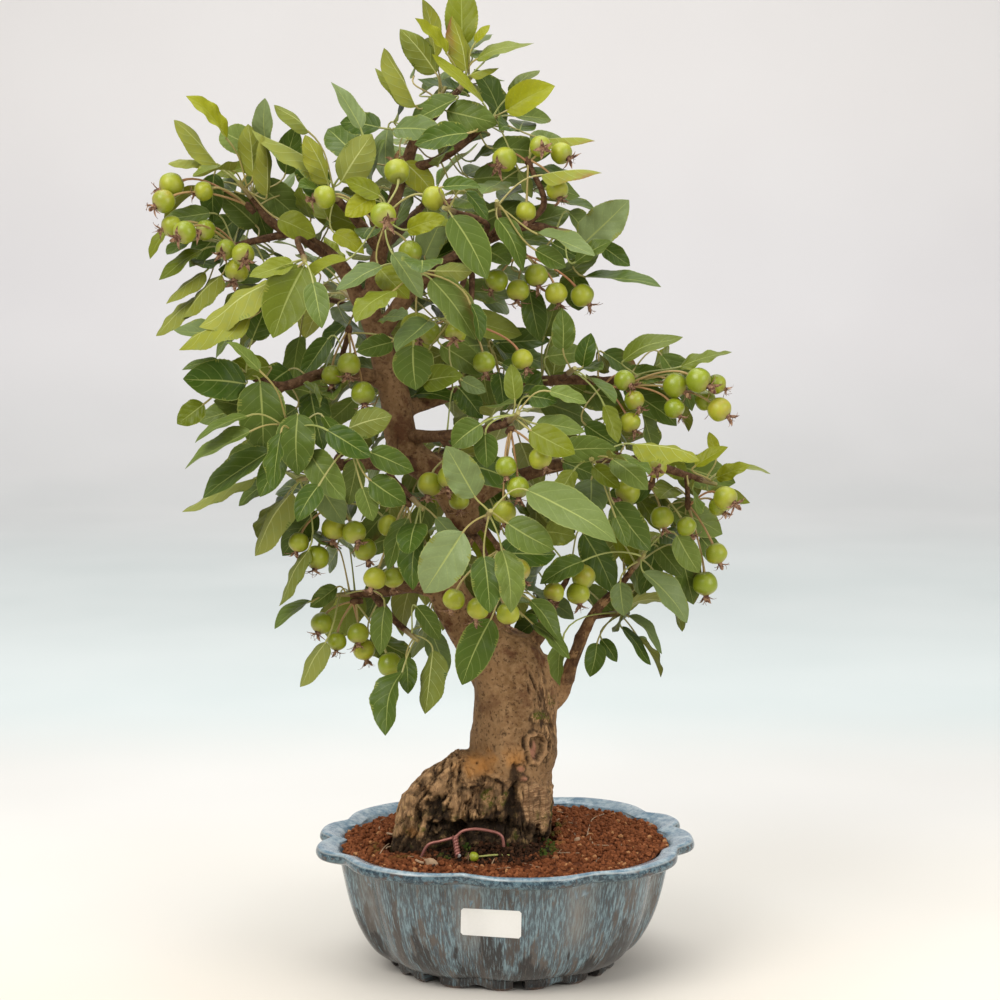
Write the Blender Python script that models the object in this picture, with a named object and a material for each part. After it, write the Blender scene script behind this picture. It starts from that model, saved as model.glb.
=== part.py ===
"""Hall crabapple grown as a bonsai in a lobed oval pot with a glazed finish.

Millimetres are used for every size. Placements on the front of the tree come from positions in
the photo (a 1000 x 1000 frame) taken back to a chosen depth; depth grows away from the viewer.
"""
import math
import random

import bmesh
import bpy
from mathutils import Vector
from mathutils.bvhtree import BVHTree

MM = 0.001
GOLDEN = 0.618
WELD = 0.001 * MM
SEED = 4
SHARP_ANGLE = math.radians(40)

# The photo's camera: where the eye stands, how it looks and its focal length in pixels.
EYE = Vector((-2.8, -1500.0, 506.0))
PITCH = math.radians(6.8)
FOCAL_PX = 2231.0
CENTRE_PX = 500.0

# Pot sizes.
RIM_HALF_WIDTH = 129.0
RIM_HALF_DEPTH = 110.0
PLAIN_HALF_WIDTH = 126.0
PLAIN_HALF_DEPTH = 106.0
POT_TURN = math.radians(5.5)
POT_MIDDLE = Vector((0.0, 18.0, 0.0))
RIM_NOTCHES = [
    (52, -106), (120, -47), (126, 10), (114, 51), (48, 102),
    (-46, 103), (-113, 51), (-125, 5), (-118, -46), (-39, -100),
]
LOBE_BULGE = [12.5, 8.0, 8.0, 12.5, 10.5, 12.5, 8.0, 9.5, 13.5, 10.5]
STEPS_PER_LOBE = 4
# (share of the rim outline, height, share of a plain ellipse mixed in)
POT_OUTER = [
    (0.630, 7.0, 0.7), (0.712, 16.0, 0.45), (0.780, 31.5, 0.25), (0.828, 50.5, 0.1),
    (0.873, 79.5, 0.0), (0.966, 82.4, 0.0), (0.998, 85.0, 0.0), (0.990, 89.6, 0.0),
]
POT_INNER = [
    (0.962, 90.8, 0.0), (0.892, 88.4, 0.0), (0.872, 85.8, 0.03), (0.828, 76.0, 0.05),
    (0.772, 51.0, 0.15), (0.690, 25.5, 0.45), (0.590, 13.0, 0.7),
]
FLOOR_TOP = 13.0
DRAIN_RADIUS = 9.0
DRAIN_SPREAD = 42.0
ROUND_SIDES = 12
FOOT_SHARES = (0.545, 0.622)
FOOT_TOP = 10.0
FOOT_BOTTOMS = [0.0, 0.0, 3.4, 3.4, 0.0, 0.0]
# (first and last step along the rim outline) of each scrolled foot
FOOT_SPANS = [(38.3, 41.7), (2.6, 4.6), (6.6, 9.4), (11.4, 13.4), (14.3, 17.7), (18.3, 21.7),
              (22.6, 24.6), (26.6, 29.4), (31.4, 33.4), (34.3, 37.7)]

# Soil and what lies on it.
SOIL_GAP_SHARE = 0.006
SOIL_EDGE_GAP_SHARE = 0.012
SOIL_EDGE_TOP = 86.0
SOIL_MOUND = 8.5
SOIL_PEAK = (-8.0, 14.0)
SOIL_REACH = (108.0, 92.0)
SOIL_TOP_SHARES = (0.64, 0.34)
SOIL_TOP_PLAIN = 0.3
RAY_START = -110.0
RAY_STOP = 100.0
RAY_STEP = 0.25
ROOT_GAP = 0.4
FLOOR_GAP = 0.4
MESH_GAP = 0.3
MESH_RADIUS = 16.0
MESH_THICK = 1.2
MESH_PITCH = 4.6
MESH_HOLE = 3.4
SEAT_BOTTOM = 5.0
WIRE_RADIUS = 1.1
WIRE_DEPTH = -38
# The wire's bends in the photo, from the left leg over the arch to the right leg.
WIRE_BENDS = [(421, 858), (428, 845), (441, 841), (455, 837), (463, 831), (476, 829), (490, 831),
              (499, 834), (503, 840), (504, 858)]
TAIL_BEND = 3
TAIL_END = (458, 860)
TAIL_LIFT = 2.6
TAIL_STEPS = 12
FALLEN_FRUIT = (474, 862)
FALLEN_STEM_END = (514, 858)
FALLEN_RADIUS = 3.3
FALLEN_LIFT = 3.6
FALLEN_END_LIFT = 1.6

# Foliage and fruit sizes.
BLADE_MID = 1.3
PETIOLE_RADIUS = 0.75
STEM_RADIUS = 0.75
FRUIT_RADIUS = 7.8
CLEARANCE = 0.45
ROOT_SINK = 1.1
CANOPY_HEART = (430, 330, 0)
SPUR_REACH = 7.0
BENT_REACH = 26.0
BEND_SHARE = 0.3
TWIG_ROOT_SHARE = 0.75
TWIG_ROOT = 2.6
TWIG_MIDDLE = 2.1
TWIG_END = 1.7
# A twig is dearer where it turns back against its branch.
PLAIN_COST = 1.35
TURN_SAVING = 0.5
SHOOT_RADIUS = 2.5
KNOB_RADIUS = 2.5
SHOOT_GAP = 0.4
KNOB_OFFSET = 5.2
KNOB_LENGTH = 6.0
KNOB_BACK = 5.5
SHOOT_LENGTH = 6.0
SHOOT_GROWTH = 0.9
SHORT_STALK_PX = 14
LONG_STALK_PX = 45
BEND_COST_PX = 40
ELBOW_BEND = 1.2
# Depths tried in turn, in front of the spur and behind it, until a leaf or a fruit is clear.
LEAF_PUSHES = (0, -7, 7, -14, 14, -21, 21, -28, 28, -36, 36, -46, 46)
FRUIT_PUSHES = (0, -8, 8, -16, 16, -24, 24, -32, 32, -40, 40)
TRIES_PER_LEAF = 14
# (least, most) of a seen leaf's tilt away from the viewer, fold on its midrib and arch.
SEEN_TILT = (-0.45, 0.1)
SEEN_FOLD = (0.18, 0.5)
SEEN_ARCH = (0.02, 0.09)
# (share of the blade's length, share of its full width)
BROAD_STATIONS = [(0.2, 0.74), (0.47, 1.0), (0.76, 0.66)]
NARROW_STATIONS = [(0.27, 0.94), (0.67, 0.87)]
NARROW_WIDTH = 30.0
# A blade this broad for its length, but at most this much broader than it looks, is seen turned.
FULL_WIDTH = 0.46
WIDTH_GAIN = 1.9
TURN_SHARE = 0.85
SEEN_FACE = Vector((0, -1, 0.35))
# (least, most) of the sizes of a leaf grown by rule.
RULED_STALK = (14, 27)
RULED_LENGTH = (30, 48)
RULED_WIDTH = (0.44, 0.56)
RULED_FOLD = (0.2, 0.5)
RULED_ARCH = (0.03, 0.1)
RULED_DROOP = (0.1, 0.7)

COLUMN_SIDES = 12
TRUNK_SIDES = 10
ROOT_SIDES = 8
THICK_BRANCH = 5.6

# Rings of a fruit: (height along its axis, width), in shares of its radius
FRUIT_ROWS = [(-0.62, 0.80), (0.30, 1.02), (1.12, 0.36)]
FRUIT_SIDES = 6

# Ridges round a lofted piece: (height, how many, turn for each ring, start).
COLUMN_RIDGES = [(0.05, 3, 0.4, 0), (0.03, 5, -0.7, 1)]
TRUNK_RIDGES = [(0.04, 2, 0.5, 0), (0.03, 3, -0.8, 0)]
ROOT_RIDGES = [(0.07, 3, 1.0, 0), (0.04, 4, -0.6, 0)]
# Ripples of the soil: (height, waves along x, waves along y).
SOIL_RIPPLES = [(0.5, 0.11, 0.13), (0.35, 0.23, -0.19)]

# Trunk and branches: (px, py, depth, radius).
COLUMN = [
    (500, 862, 2, 33), (502, 842, 2, 33), (506, 820, 2, 30.5), (508, 795, 2, 28.5), (510, 765, 2, 28),
    (512, 735, 3, 29), (514, 705, 4, 28.5), (512, 680, 5, 28), (508, 658, 6, 27), (510, 641, 6, 20),
    (513, 631, 6, 12),
]
TRUNK = [
    (508, 690, 4, 20), (497, 660, 6, 21), (477, 632, 6, 18), (455, 606, 4, 14.2), (444, 580, 2, 13),
    (452, 550, 0, 12.2), (463, 525, -4, 11.6), (456, 500, -8, 11), (436, 475, -10, 10.4),
    (412, 455, -8, 10.6), (400, 430, -4, 10.8), (396, 400, 0, 10.2), (388, 370, 2, 9),
    (378, 340, 0, 8), (369, 312, -3, 7.2), (364, 290, -6, 6.4),
]
ROOTS = [
    [(478, 770, -4, 15), (448, 782, -10, 20), (430, 806, -10, 23), (420, 836, -6, 25), (416, 862, -4, 26)],
    [(520, 760, 2, 14), (537, 790, 0, 13), (541, 820, -4, 12.5), (543, 862, -6, 13)],
    [(486, 790, -10, 12), (478, 822, -15, 13), (474, 862, -17, 14)],
    [(520, 770, 16, 16), (534, 815, 24, 16), (538, 862, 30, 17)],
    [(470, 770, 14, 15), (452, 815, 24, 16), (446, 862, 30, 17)],
]
BRANCHES = {
    "apex": [(369, 316, -2, 6.2), (378, 262, -10, 5.6), (392, 208, -12, 4.8), (406, 165, -12, 4.2),
             (420, 128, -14, 3.6), (437, 101, -15, 2.4)],
    "apex_tip": [(418, 134, -14, 2.8), (438, 112, -20, 2.4), (459, 90, -20, 2.0)],
    "crown_left": [(368, 318, -2, 5.4), (342, 268, -12, 4.8), (308, 240, -20, 4.0), (274, 224, -24, 3.2),
                   (252, 198, -25, 2.2)],
    "left_tip": [(292, 233, -22, 2.8), (258, 240, -22, 2.4), (234, 246, -20, 2.0)],
    "crown_mid": [(381, 252, -10, 3.8), (358, 222, -24, 3.2), (338, 200, -34, 2.4)],
    "crown_right": [(376, 338, 0, 6.0), (408, 296, -8, 5.2), (444, 264, -20, 4.4), (486, 240, -36, 3.6),
                    (526, 226, -38, 3.0), (556, 230, -28, 2.2)],
    "crown_top": [(404, 172, -12, 3.4), (446, 156, -24, 2.8), (484, 126, -30, 2.1)],
    "left_mid": [(390, 384, 2, 6.0), (358, 374, -20, 4.8), (320, 374, -40, 3.8), (284, 386, -55, 3.0),
                 (254, 378, -60, 2.2)],
    "left_low": [(424, 464, -8, 6.0), (385, 464, -32, 4.6), (350, 464, -52, 3.4), (312, 476, -50, 2.4)],
    "right_mid": [(458, 506, -8, 6.6), (500, 484, 8, 5.2), (555, 466, 2, 4.4), (606, 458, -22, 3.6),
                  (656, 466, -30, 2.8), (702, 480, -22, 2.1)],
    "shoulder": [(398, 412, 0, 6.2), (444, 396, 20, 5.0), (502, 386, 8, 4.2), (560, 380, -20, 3.4),
                 (604, 381, -30, 2.8), (628, 378, -28, 2.1)],
    "low_left": [(446, 592, 3, 6.4), (415, 586, -10, 4.8), (380, 592, -18, 3.6), (350, 594, -20, 2.4)],
    "front_low": [(455, 544, -2, 5.4), (470, 532, -50, 3.6), (486, 520, -108, 2.2)],
    "front_mid": [(404, 436, -6, 5.0), (440, 436, -30, 3.8), (480, 430, -70, 2.8), (507, 424, -92, 2.1)],
    "low_right": [(540, 712, 10, 7.4), (560, 696, 8, 6.6), (571, 666, 4, 5.8), (584, 632, 0, 5.0),
                  (598, 608, -4, 4.2), (618, 588, -12, 3.2), (636, 565, -22, 2.2)],
    "second": [(522, 652, 14, 6.0), (540, 634, 10, 4.8), (548, 614, 4, 4.0), (556, 600, -10, 2.8)],
    "back_high": [(388, 378, 4, 6.0), (394, 358, 40, 4.6), (380, 326, 76, 3.2), (352, 300, 92, 2.2)],
    "back_right": [(424, 464, -4, 6.0), (444, 456, 36, 4.6), (474, 436, 70, 3.4), (506, 420, 92, 2.2)],
    "back_low": [(448, 584, 6, 6.0), (442, 566, 42, 4.4), (428, 548, 78, 2.4)],
    "back_crown": [(384, 244, -8, 4.0), (402, 228, 32, 3.4), (424, 204, 74, 2.2)],
    "left_down": [(372, 592, -18, 2.8), (392, 618, -34, 2.4), (408, 632, -42, 2.0)],
}

# Spurs that a spray of leaves grows from: (px, py, depth), then how many leaves grow there by rule.
SPURS = {
    "apex_left": ((436, 95, -15), 1),
    "apex_top": ((462, 84, -20), 1),
    "apex_right": ((488, 119, -30), 1),
    "crown_left": ((252, 198, -25), 2),
    "crown_mid": ((336, 196, -37), 0),
    "left_tips": ((228, 248, -20), 1),
    "left_front": ((304, 258, -82), 1),
    "left_mid": ((247, 372, -62), 0),
    "left_low": ((285, 420, -72), 0),
    "left_bottom": ((305, 480, -48), 1),
    "mid_left": ((346, 450, -84), 0),
    "low_left": ((345, 595, -22), 1),
    "low_under": ((411, 636, -44), 1),
    "low_inner": ((414, 500, -52), 2),
    "front_low": ((488, 516, -116), 0),
    "front_bottom": ((500, 592, -66), 2),
    "front_mid": ((511, 420, -98), 0),
    "trunk_front": ((452, 314, -64), 1),
    "crown_front": ((380, 218, -78), 0),
    "crown_fore": ((452, 211, -84), 0),
    "crown_right": ((498, 212, -56), 0),
    "right_tips": ((556, 238, -28), 0),
    "heart": ((427, 270, -84), 2),
    "shoulder": ((570, 372, -38), 1),
    "right_upper": ((628, 378, -28), 1),
    "right_mid": ((600, 458, -62), 1),
    "right_tip": ((708, 478, -20), 1),
    "right_low": ((640, 560, -26), 1),
    "low_right": ((612, 614, 2), 1),
    "back_crown": ((424, 202, 80), 8),
    "back_high": ((350, 298, 96), 8),
    "back_right": ((508, 418, 96), 8),
    "back_low": ((426, 546, 84), 7),
    "back_left": ((300, 300, 40), 6),
}

# Leaves seen in the photo: blade base px, py, tip px, py, and width in px.
SEEN_LEAVES = [
    # around the spur apex_left
    (436, 73, 400, 29, 26), (447, 54, 415, 18, 14), (416, 107, 384, 48, 18), (410, 104, 375, 68, 12),
    # around the spur apex_top
    (466, 71, 452, 16, 20), (477, 59, 534, 43, 17), (475, 43, 490, 25, 9), (470, 75, 499, 68, 10),
    # around the spur apex_right
    (484, 104, 432, 54, 12), (506, 111, 555, 86, 30), (547, 139, 595, 141, 14),
    # around the spur crown_left
    (227, 139, 186, 96, 16), (220, 168, 174, 120, 18), (206, 162, 168, 164, 12),
    (266, 143, 265, 98, 18), (253, 177, 248, 124, 28), (267, 196, 262, 135, 13),
    # around the spur crown_mid
    (309, 132, 274, 105, 15), (361, 129, 331, 82, 16), (331, 182, 252, 130, 17),
    (341, 182, 372, 134, 34), (328, 184, 305, 135, 22), (278, 219, 316, 236, 25),
    # around the spur left_tips
    (170, 228, 150, 259, 12), (202, 250, 159, 280, 16), (205, 272, 166, 304, 16),
    (198, 297, 156, 336, 18), (222, 275, 182, 318, 20),
    # around the spur left_front
    (274, 280, 199, 327, 30), (304, 266, 273, 338, 45), (347, 260, 286, 292, 17),
    (293, 262, 249, 277, 20), (250, 318, 179, 350, 22),
    # around the spur left_mid
    (220, 362, 182, 370, 12), (246, 384, 183, 379, 38), (260, 381, 263, 453, 47),
    (260, 371, 226, 342, 11), (204, 404, 177, 424, 22), (252, 340, 268, 300, 28),
    # around the spur left_low
    (298, 414, 298, 475, 36), (251, 431, 185, 469, 17), (247, 416, 195, 443, 11),
    (271, 451, 203, 498, 28), (281, 454, 260, 497, 25), (281, 432, 274, 490, 16),
    # around the spur left_bottom
    (255, 478, 182, 512, 12), (292, 492, 255, 556, 26), (319, 485, 297, 522, 22),
    (316, 481, 344, 524, 28),
    # around the spur mid_left
    (309, 452, 345, 500, 30), (323, 416, 341, 457, 12), (327, 430, 371, 457, 25),
    (349, 428, 392, 416, 28), (370, 452, 414, 471, 24), (370, 480, 406, 504, 27),
    (362, 487, 373, 521, 20),
    # around the spur low_left
    (337, 587, 310, 607, 18), (326, 642, 300, 687, 20), (309, 550, 279, 606, 13),
    # around the spur low_under
    (433, 650, 425, 714, 22), (406, 657, 408, 694, 20), (385, 606, 380, 655, 20),
    (416, 606, 440, 640, 18),
    # around the spur low_inner
    (408, 518, 388, 570, 19), (420, 530, 413, 590, 25),
    # around the spur front_low
    (463, 532, 424, 593, 47), (475, 497, 446, 446, 33), (527, 490, 617, 543, 39),
    (507, 523, 554, 550, 32), (484, 556, 490, 613, 30), (502, 550, 511, 613, 27),
    # around the spur front_bottom
    (491, 619, 462, 685, 34), (530, 600, 560, 640, 18),
    # around the spur front_mid
    (515, 400, 511, 364, 18), (528, 396, 557, 402, 22), (536, 424, 585, 432, 20),
    (485, 433, 487, 468, 22), (481, 424, 452, 447, 28), (530, 430, 575, 454, 28),
    # around the spur trunk_front
    (413, 345, 416, 390, 38), (422, 382, 463, 376, 25), (461, 380, 486, 392, 15),
    (416, 312, 417, 358, 30),
    # around the spur crown_front
    (334, 233, 364, 254, 18), (382, 266, 336, 290, 19), (380, 269, 409, 299, 26),
    (392, 253, 422, 299, 22), (374, 197, 345, 216, 22), (380, 196, 345, 180, 18),
    (404, 162, 434, 193, 25),
    # around the spur crown_fore
    (442, 187, 481, 188, 16), (452, 216, 487, 279, 33), (465, 191, 488, 220, 14),
    (460, 226, 408, 236, 12), (434, 271, 472, 272, 22), (407, 230, 445, 217, 20),
    # around the spur crown_right
    (497, 218, 523, 272, 20), (519, 171, 532, 198, 11), (537, 234, 595, 256, 19),
    (535, 250, 566, 267, 20),
    # around the spur right_tips
    (581, 246, 629, 200, 36), (602, 246, 630, 266, 18), (584, 277, 661, 287, 15),
    (541, 175, 602, 173, 15), (552, 243, 580, 258, 18), (575, 263, 612, 241, 17),
    # around the spur heart
    (431, 279, 476, 340, 32), (470, 303, 480, 342, 12), (481, 323, 524, 340, 27),
    (529, 289, 540, 341, 24),
    # around the spur shoulder
    (563, 350, 562, 308, 22), (583, 367, 591, 333, 20), (585, 392, 552, 375, 22),
    (549, 391, 587, 403, 16),
    # around the spur right_upper
    (623, 361, 683, 337, 19), (680, 367, 732, 352, 13), (604, 405, 618, 443, 17),
    # around the spur right_mid
    (633, 444, 700, 461, 22), (593, 466, 620, 489, 18), (612, 459, 648, 490, 25),
    (615, 516, 627, 547, 15), (574, 470, 556, 508, 18),
    # around the spur right_tip
    (716, 455, 709, 432, 11), (716, 478, 751, 465, 15), (709, 492, 750, 503, 13),
    (695, 466, 728, 447, 14),
    # around the spur right_low
    (677, 535, 699, 573, 24), (643, 572, 687, 623, 24), (620, 582, 624, 616, 22),
    (583, 561, 540, 584, 22),
    # around the spur low_right
    (628, 616, 662, 654, 10), (621, 627, 651, 665, 10), (597, 643, 590, 677, 20),
    (601, 639, 617, 662, 13), (562, 642, 560, 686, 14),
]

# Fruit bunches: spur (px, py, depth) or the spray whose twig they share, then where each fruit is
# in the photo.
BUNCHES = {
    "left_high": ("crown_left", [(172, 185), (164, 201), (204, 191)]),
    "left_under": ("left_tips", [(172, 226), (185, 232), (206, 230), (226, 249), (243, 254), (237, 270)]),
    "crown": ("crown_front", [(325, 197), (397, 172), (383, 215), (410, 252), (433, 198)]),
    "right_high": ((530, 166, -40), [(505, 159), (540, 146), (561, 153), (557, 189), (526, 211)]),
    "right_cluster": ((520, 252, -34), [(497, 280), (518, 290), (536, 275), (556, 293), (582, 295)]),
    "heart": ((470, 318, -56), [(429, 332), (456, 332), (484, 362), (522, 359)]),
    "left_inner": ((348, 334, -44), [(349, 364), (332, 375), (363, 393)]),
    "shoulder": ((604, 384, -34), [(624, 380), (634, 400), (630, 422)]),
    "right_far": ("right_upper", [(675, 385), (674, 408), (698, 380), (716, 384), (705, 400), (719, 409)]),
    "front_mid": ("front_mid", [(506, 466), (540, 458), (518, 487), (504, 511)]),
    "front_low": ((497, 545, -88), [(518, 570), (454, 599), (478, 608), (508, 613)]),
    "trunk_side": ((452, 452, -34), [(430, 484), (450, 477), (459, 500)]),
    "right_mid": ((652, 482, -24), [(628, 492), (662, 517), (686, 526), (656, 467)]),
    "right_tip": ((688, 502, -14), [(718, 506), (725, 498), (716, 553), (705, 583)]),
    "low_mid": ((570, 572, -30), [(554, 592), (578, 593), (584, 577), (553, 644)]),
    "left_low": ((336, 500, -40), [(334, 528), (354, 532), (388, 525), (365, 549), (299, 542), (317, 557)]),
    "inner_low": ("low_inner", [(375, 578), (393, 577), (417, 568)]),
    "bottom_left": ("low_left", [(322, 623), (337, 641), (358, 633), (364, 649), (390, 664)]),
}


def from_photo(px, py, depth):
    """The point at this depth that the photo shows at (px, py)."""
    ahead = Vector((0, math.cos(PITCH), -math.sin(PITCH)))
    above = Vector((0, math.sin(PITCH), math.cos(PITCH)))
    ray = ahead + Vector((1, 0, 0)) * ((px - CENTRE_PX) / FOCAL_PX) + above * ((CENTRE_PX - py) / FOCAL_PX)
    return EYE + ray * ((depth - EYE.y) / ray.y)


def new_object(name, verts, faces):
    """A mesh object lofted from points in millimetres."""
    mesh = bpy.data.meshes.new(name)
    mesh.from_pydata([tuple(v * MM for v in p) for p in verts], [], faces)
    return finish_mesh(name, mesh)


def finish_mesh(name, mesh):
    """Weld and face outward, then put the mesh in an object of its own."""
    work = bmesh.new()
    work.from_mesh(mesh)
    bmesh.ops.remove_doubles(work, verts=work.verts, dist=WELD)
    bmesh.ops.recalc_face_normals(work, faces=work.faces)
    work.to_mesh(mesh)
    work.free()
    thing = bpy.data.objects.new(name, mesh)
    bpy.context.scene.collection.objects.link(thing)
    return thing


def in_triangles(thing):
    """Split the faces, so that a solid and its grown twin bend along the same lines."""
    work = bmesh.new()
    work.from_mesh(thing.data)
    bmesh.ops.triangulate(work, faces=work.faces, quad_method="FIXED")
    work.to_mesh(thing.data)
    work.free()
    return thing


def tube(name, path, radii, resolution=0):
    """A round rod along a path, with 4 sides and 2 more for each step of resolution."""
    curve = bpy.data.curves.new(name, "CURVE")
    curve.dimensions = "3D"
    curve.bevel_depth = MM
    curve.bevel_resolution = resolution
    curve.use_fill_caps = True
    spline = curve.splines.new("POLY")
    spline.points.add(len(path) - 1)
    for node, point, radius in zip(spline.points, path, radii):
        node.co = (*(point * MM), 1)
        node.radius = radius
    guide = bpy.data.objects.new(name, curve)
    bpy.context.scene.collection.objects.link(guide)
    bpy.context.view_layer.update()
    mesh = bpy.data.meshes.new_from_object(guide.evaluated_get(bpy.context.evaluated_depsgraph_get()))
    bpy.data.objects.remove(guide)
    bpy.data.curves.remove(curve)
    return finish_mesh(name, mesh)


def points_of(thing):
    """An object's vertices and faces in millimetres."""
    return [v.co / MM for v in thing.data.vertices], [tuple(p.vertices) for p in thing.data.polygons]


def combine(target, others, operation="UNION", solver="EXACT"):
    """Apply one Boolean of the target with all the others, then remove the others."""
    helpers = bpy.data.collections.new("helpers")
    for other in others:
        helpers.objects.link(other)
    change = target.modifiers.new("combine", "BOOLEAN")
    change.operation = operation
    change.operand_type = "COLLECTION"
    change.collection = helpers
    change.solver = solver
    bpy.context.view_layer.update()
    seen = target.evaluated_get(bpy.context.evaluated_depsgraph_get())
    result = bpy.data.meshes.new_from_object(seen)
    before = target.data
    target.modifiers.clear()
    target.data = result
    bpy.data.meshes.remove(before)
    for other in list(others):
        mesh = other.data
        bpy.data.objects.remove(other)
        bpy.data.meshes.remove(mesh)
    bpy.data.collections.remove(helpers)
    return target


def loft(path, radii, sides, shape):
    """A closed solid through the path whose rings have a shape: shape(step, angle) scales the radius."""
    verts = []
    faces = []
    side = (path[1] - path[0]).orthogonal()
    for step, point in enumerate(path):
        before = path[max(step - 1, 0)]
        after = path[min(step + 1, len(path) - 1)]
        along = (after - before).normalized()
        side = (side - along * side.dot(along)).normalized()
        across = along.cross(side)
        for k in range(sides):
            angle = 2 * math.pi * k / sides
            reach = radii[step] * shape(step, angle)
            verts.append(point + (side * math.cos(angle) + across * math.sin(angle)) * reach)
    for step in range(len(path) - 1):
        for k in range(sides):
            low = step * sides
            nxt = (k + 1) % sides
            faces.append((low + k, low + nxt, low + sides + nxt, low + sides + k))
    last = (len(path) - 1) * sides
    faces.append(tuple(reversed(range(sides))))
    faces.append(tuple(last + k for k in range(sides)))
    return verts, faces


def rim_point(step):
    """A point on the rim outline; whole steps are the outline's corners."""
    lobe = int(step // STEPS_PER_LOBE) % len(RIM_NOTCHES)
    part = step / STEPS_PER_LOBE - step // STEPS_PER_LOBE
    first = Vector(RIM_NOTCHES[lobe])
    second = Vector(RIM_NOTCHES[(lobe + 1) % len(RIM_NOTCHES)])
    outward = Vector((second.y - first.y, first.x - second.x)).normalized()
    bulge = LOBE_BULGE[lobe] * (1 - abs(2 * part - 1) ** 2.2)
    return first.lerp(second, part) + outward * bulge


def pot_point(step, share, height, plain):
    """A point of a pot loop: the rim outline made smaller and partly rounded to an ellipse."""
    rim = rim_point(step)
    angle = math.atan2(rim.y / RIM_HALF_DEPTH, rim.x / RIM_HALF_WIDTH)
    oval = Vector((math.cos(angle) * PLAIN_HALF_WIDTH, math.sin(angle) * PLAIN_HALF_DEPTH))
    flat = rim.lerp(oval, plain) * share
    return turned(flat.x, flat.y) + Vector((0, 0, height))


def loops_to_solid(loops):
    """Join closed loops of equal count, capping the first and the last."""
    count = len(loops[0])
    verts = [p for loop in loops for p in loop]
    faces = []
    for row in range(len(loops) - 1):
        for k in range(count):
            nxt = (k + 1) % count
            low = row * count
            faces.append((low + k, low + nxt, low + count + nxt, low + count + k))
    faces.append(tuple(reversed(range(count))))
    faces.append(tuple((len(loops) - 1) * count + k for k in range(count)))
    return verts, faces


def make_foot(span):
    """A small scrolled foot under the wall, arched in its middle."""
    first, last = span
    count = len(FOOT_BOTTOMS)
    loops = []
    for k, bottom in enumerate(FOOT_BOTTOMS):
        step = (first + (last - first) * k / (count - 1)) % (STEPS_PER_LOBE * len(RIM_NOTCHES))
        inner, outer = FOOT_SHARES
        corners = [(inner, bottom), (outer, bottom), (outer, FOOT_TOP), (inner, FOOT_TOP)]
        loops.append([pot_point(step, share, height, POT_OUTER[0][2]) for share, height in corners])
    return new_object("foot", *loops_to_solid(loops))


def make_pot():
    """The lobed bowl with its lip, feet and two drainage holes."""
    steps = range(STEPS_PER_LOBE * len(RIM_NOTCHES))
    loops = [[pot_point(s, *row) for s in steps] for row in POT_OUTER + POT_INNER]
    pot = new_object("pot", *loops_to_solid(loops))
    combine(pot, [make_foot(span) for span in FOOT_SPANS])
    drains = [make_disc("drain", x, 0, DRAIN_RADIUS, 0, 2 * FLOOR_TOP, ROUND_SIDES)
              for x in (-DRAIN_SPREAD, DRAIN_SPREAD)]
    return combine(pot, drains, "DIFFERENCE")


def turned(x, y):
    """A place on the pot's own axes, turned with the pot."""
    cos, sin = math.cos(POT_TURN), math.sin(POT_TURN)
    return POT_MIDDLE + Vector((x * cos - y * sin, x * sin + y * cos, 0))


def make_disc(name, x, y, radius, bottom, top, sides):
    """An upright cylinder standing at a place on the pot's own axes."""
    work = bmesh.new()
    bmesh.ops.create_cone(work, cap_ends=True, segments=sides, radius1=radius * MM, radius2=radius * MM,
                          depth=(top - bottom) * MM)
    middle = turned(x, y) + Vector((0, 0, (top + bottom) / 2))
    bmesh.ops.translate(work, verts=work.verts, vec=middle * MM)
    mesh = bpy.data.meshes.new(name)
    work.to_mesh(mesh)
    work.free()
    return finish_mesh(name, mesh)


def make_drain_mesh(name, x):
    """A plastic mesh disc lying over one drainage hole, with four openings."""
    bottom = FLOOR_TOP + MESH_GAP
    disc = make_disc(name, x, 0, MESH_RADIUS, bottom, bottom + MESH_THICK, ROUND_SIDES)
    holes = [make_disc("hole", x + dx, dy, MESH_HOLE, bottom - MESH_THICK, bottom + 2 * MESH_THICK, 4)
             for dx in (-MESH_PITCH, MESH_PITCH) for dy in (-MESH_PITCH, MESH_PITCH)]
    return combine(disc, holes, "DIFFERENCE")


def soil_height(x, y):
    """The mounded top of the soil, with a few low ripples."""
    away = math.hypot((x - SOIL_PEAK[0]) / SOIL_REACH[0], (y - SOIL_PEAK[1]) / SOIL_REACH[1])
    away = min(1.0, away)
    ripple = sum(high * math.sin(x * across + y * along) for high, across, along in SOIL_RIPPLES)
    return SOIL_EDGE_TOP + SOIL_MOUND * (1 - away ** 1.7) + ripple * (1 - away)


def on_soil(px, py, lift=0.0):
    """Where the photo's ray meets the soil, raised a little."""
    depth = RAY_START
    point = from_photo(px, py, depth)
    while depth < RAY_STOP and point.z > soil_height(point.x, point.y):
        depth += RAY_STEP
        point = from_photo(px, py, depth)
    return point + Vector((0, 0, lift))


def make_soil():
    """The filling of the pot, just clear of its inner wall."""
    steps = range(STEPS_PER_LOBE * len(RIM_NOTCHES))
    rows = [(share - SOIL_GAP_SHARE, height, plain) for share, height, plain in reversed(POT_INNER[3:])]
    rows[0] = (rows[0][0], FLOOR_TOP + FLOOR_GAP, rows[0][2])
    edge = (POT_INNER[2][0] - SOIL_EDGE_GAP_SHARE, SOIL_EDGE_TOP, POT_INNER[2][2])
    loops = [[pot_point(s, *row) for s in steps] for row in rows + [edge]]
    for share in SOIL_TOP_SHARES:
        loop = []
        for s in steps:
            point = pot_point(s, share, 0, SOIL_TOP_PLAIN)
            point.z = soil_height(point.x, point.y)
            loop.append(point)
        loops.append(loop)
    return new_object("soil", *loops_to_solid(loops))


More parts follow.
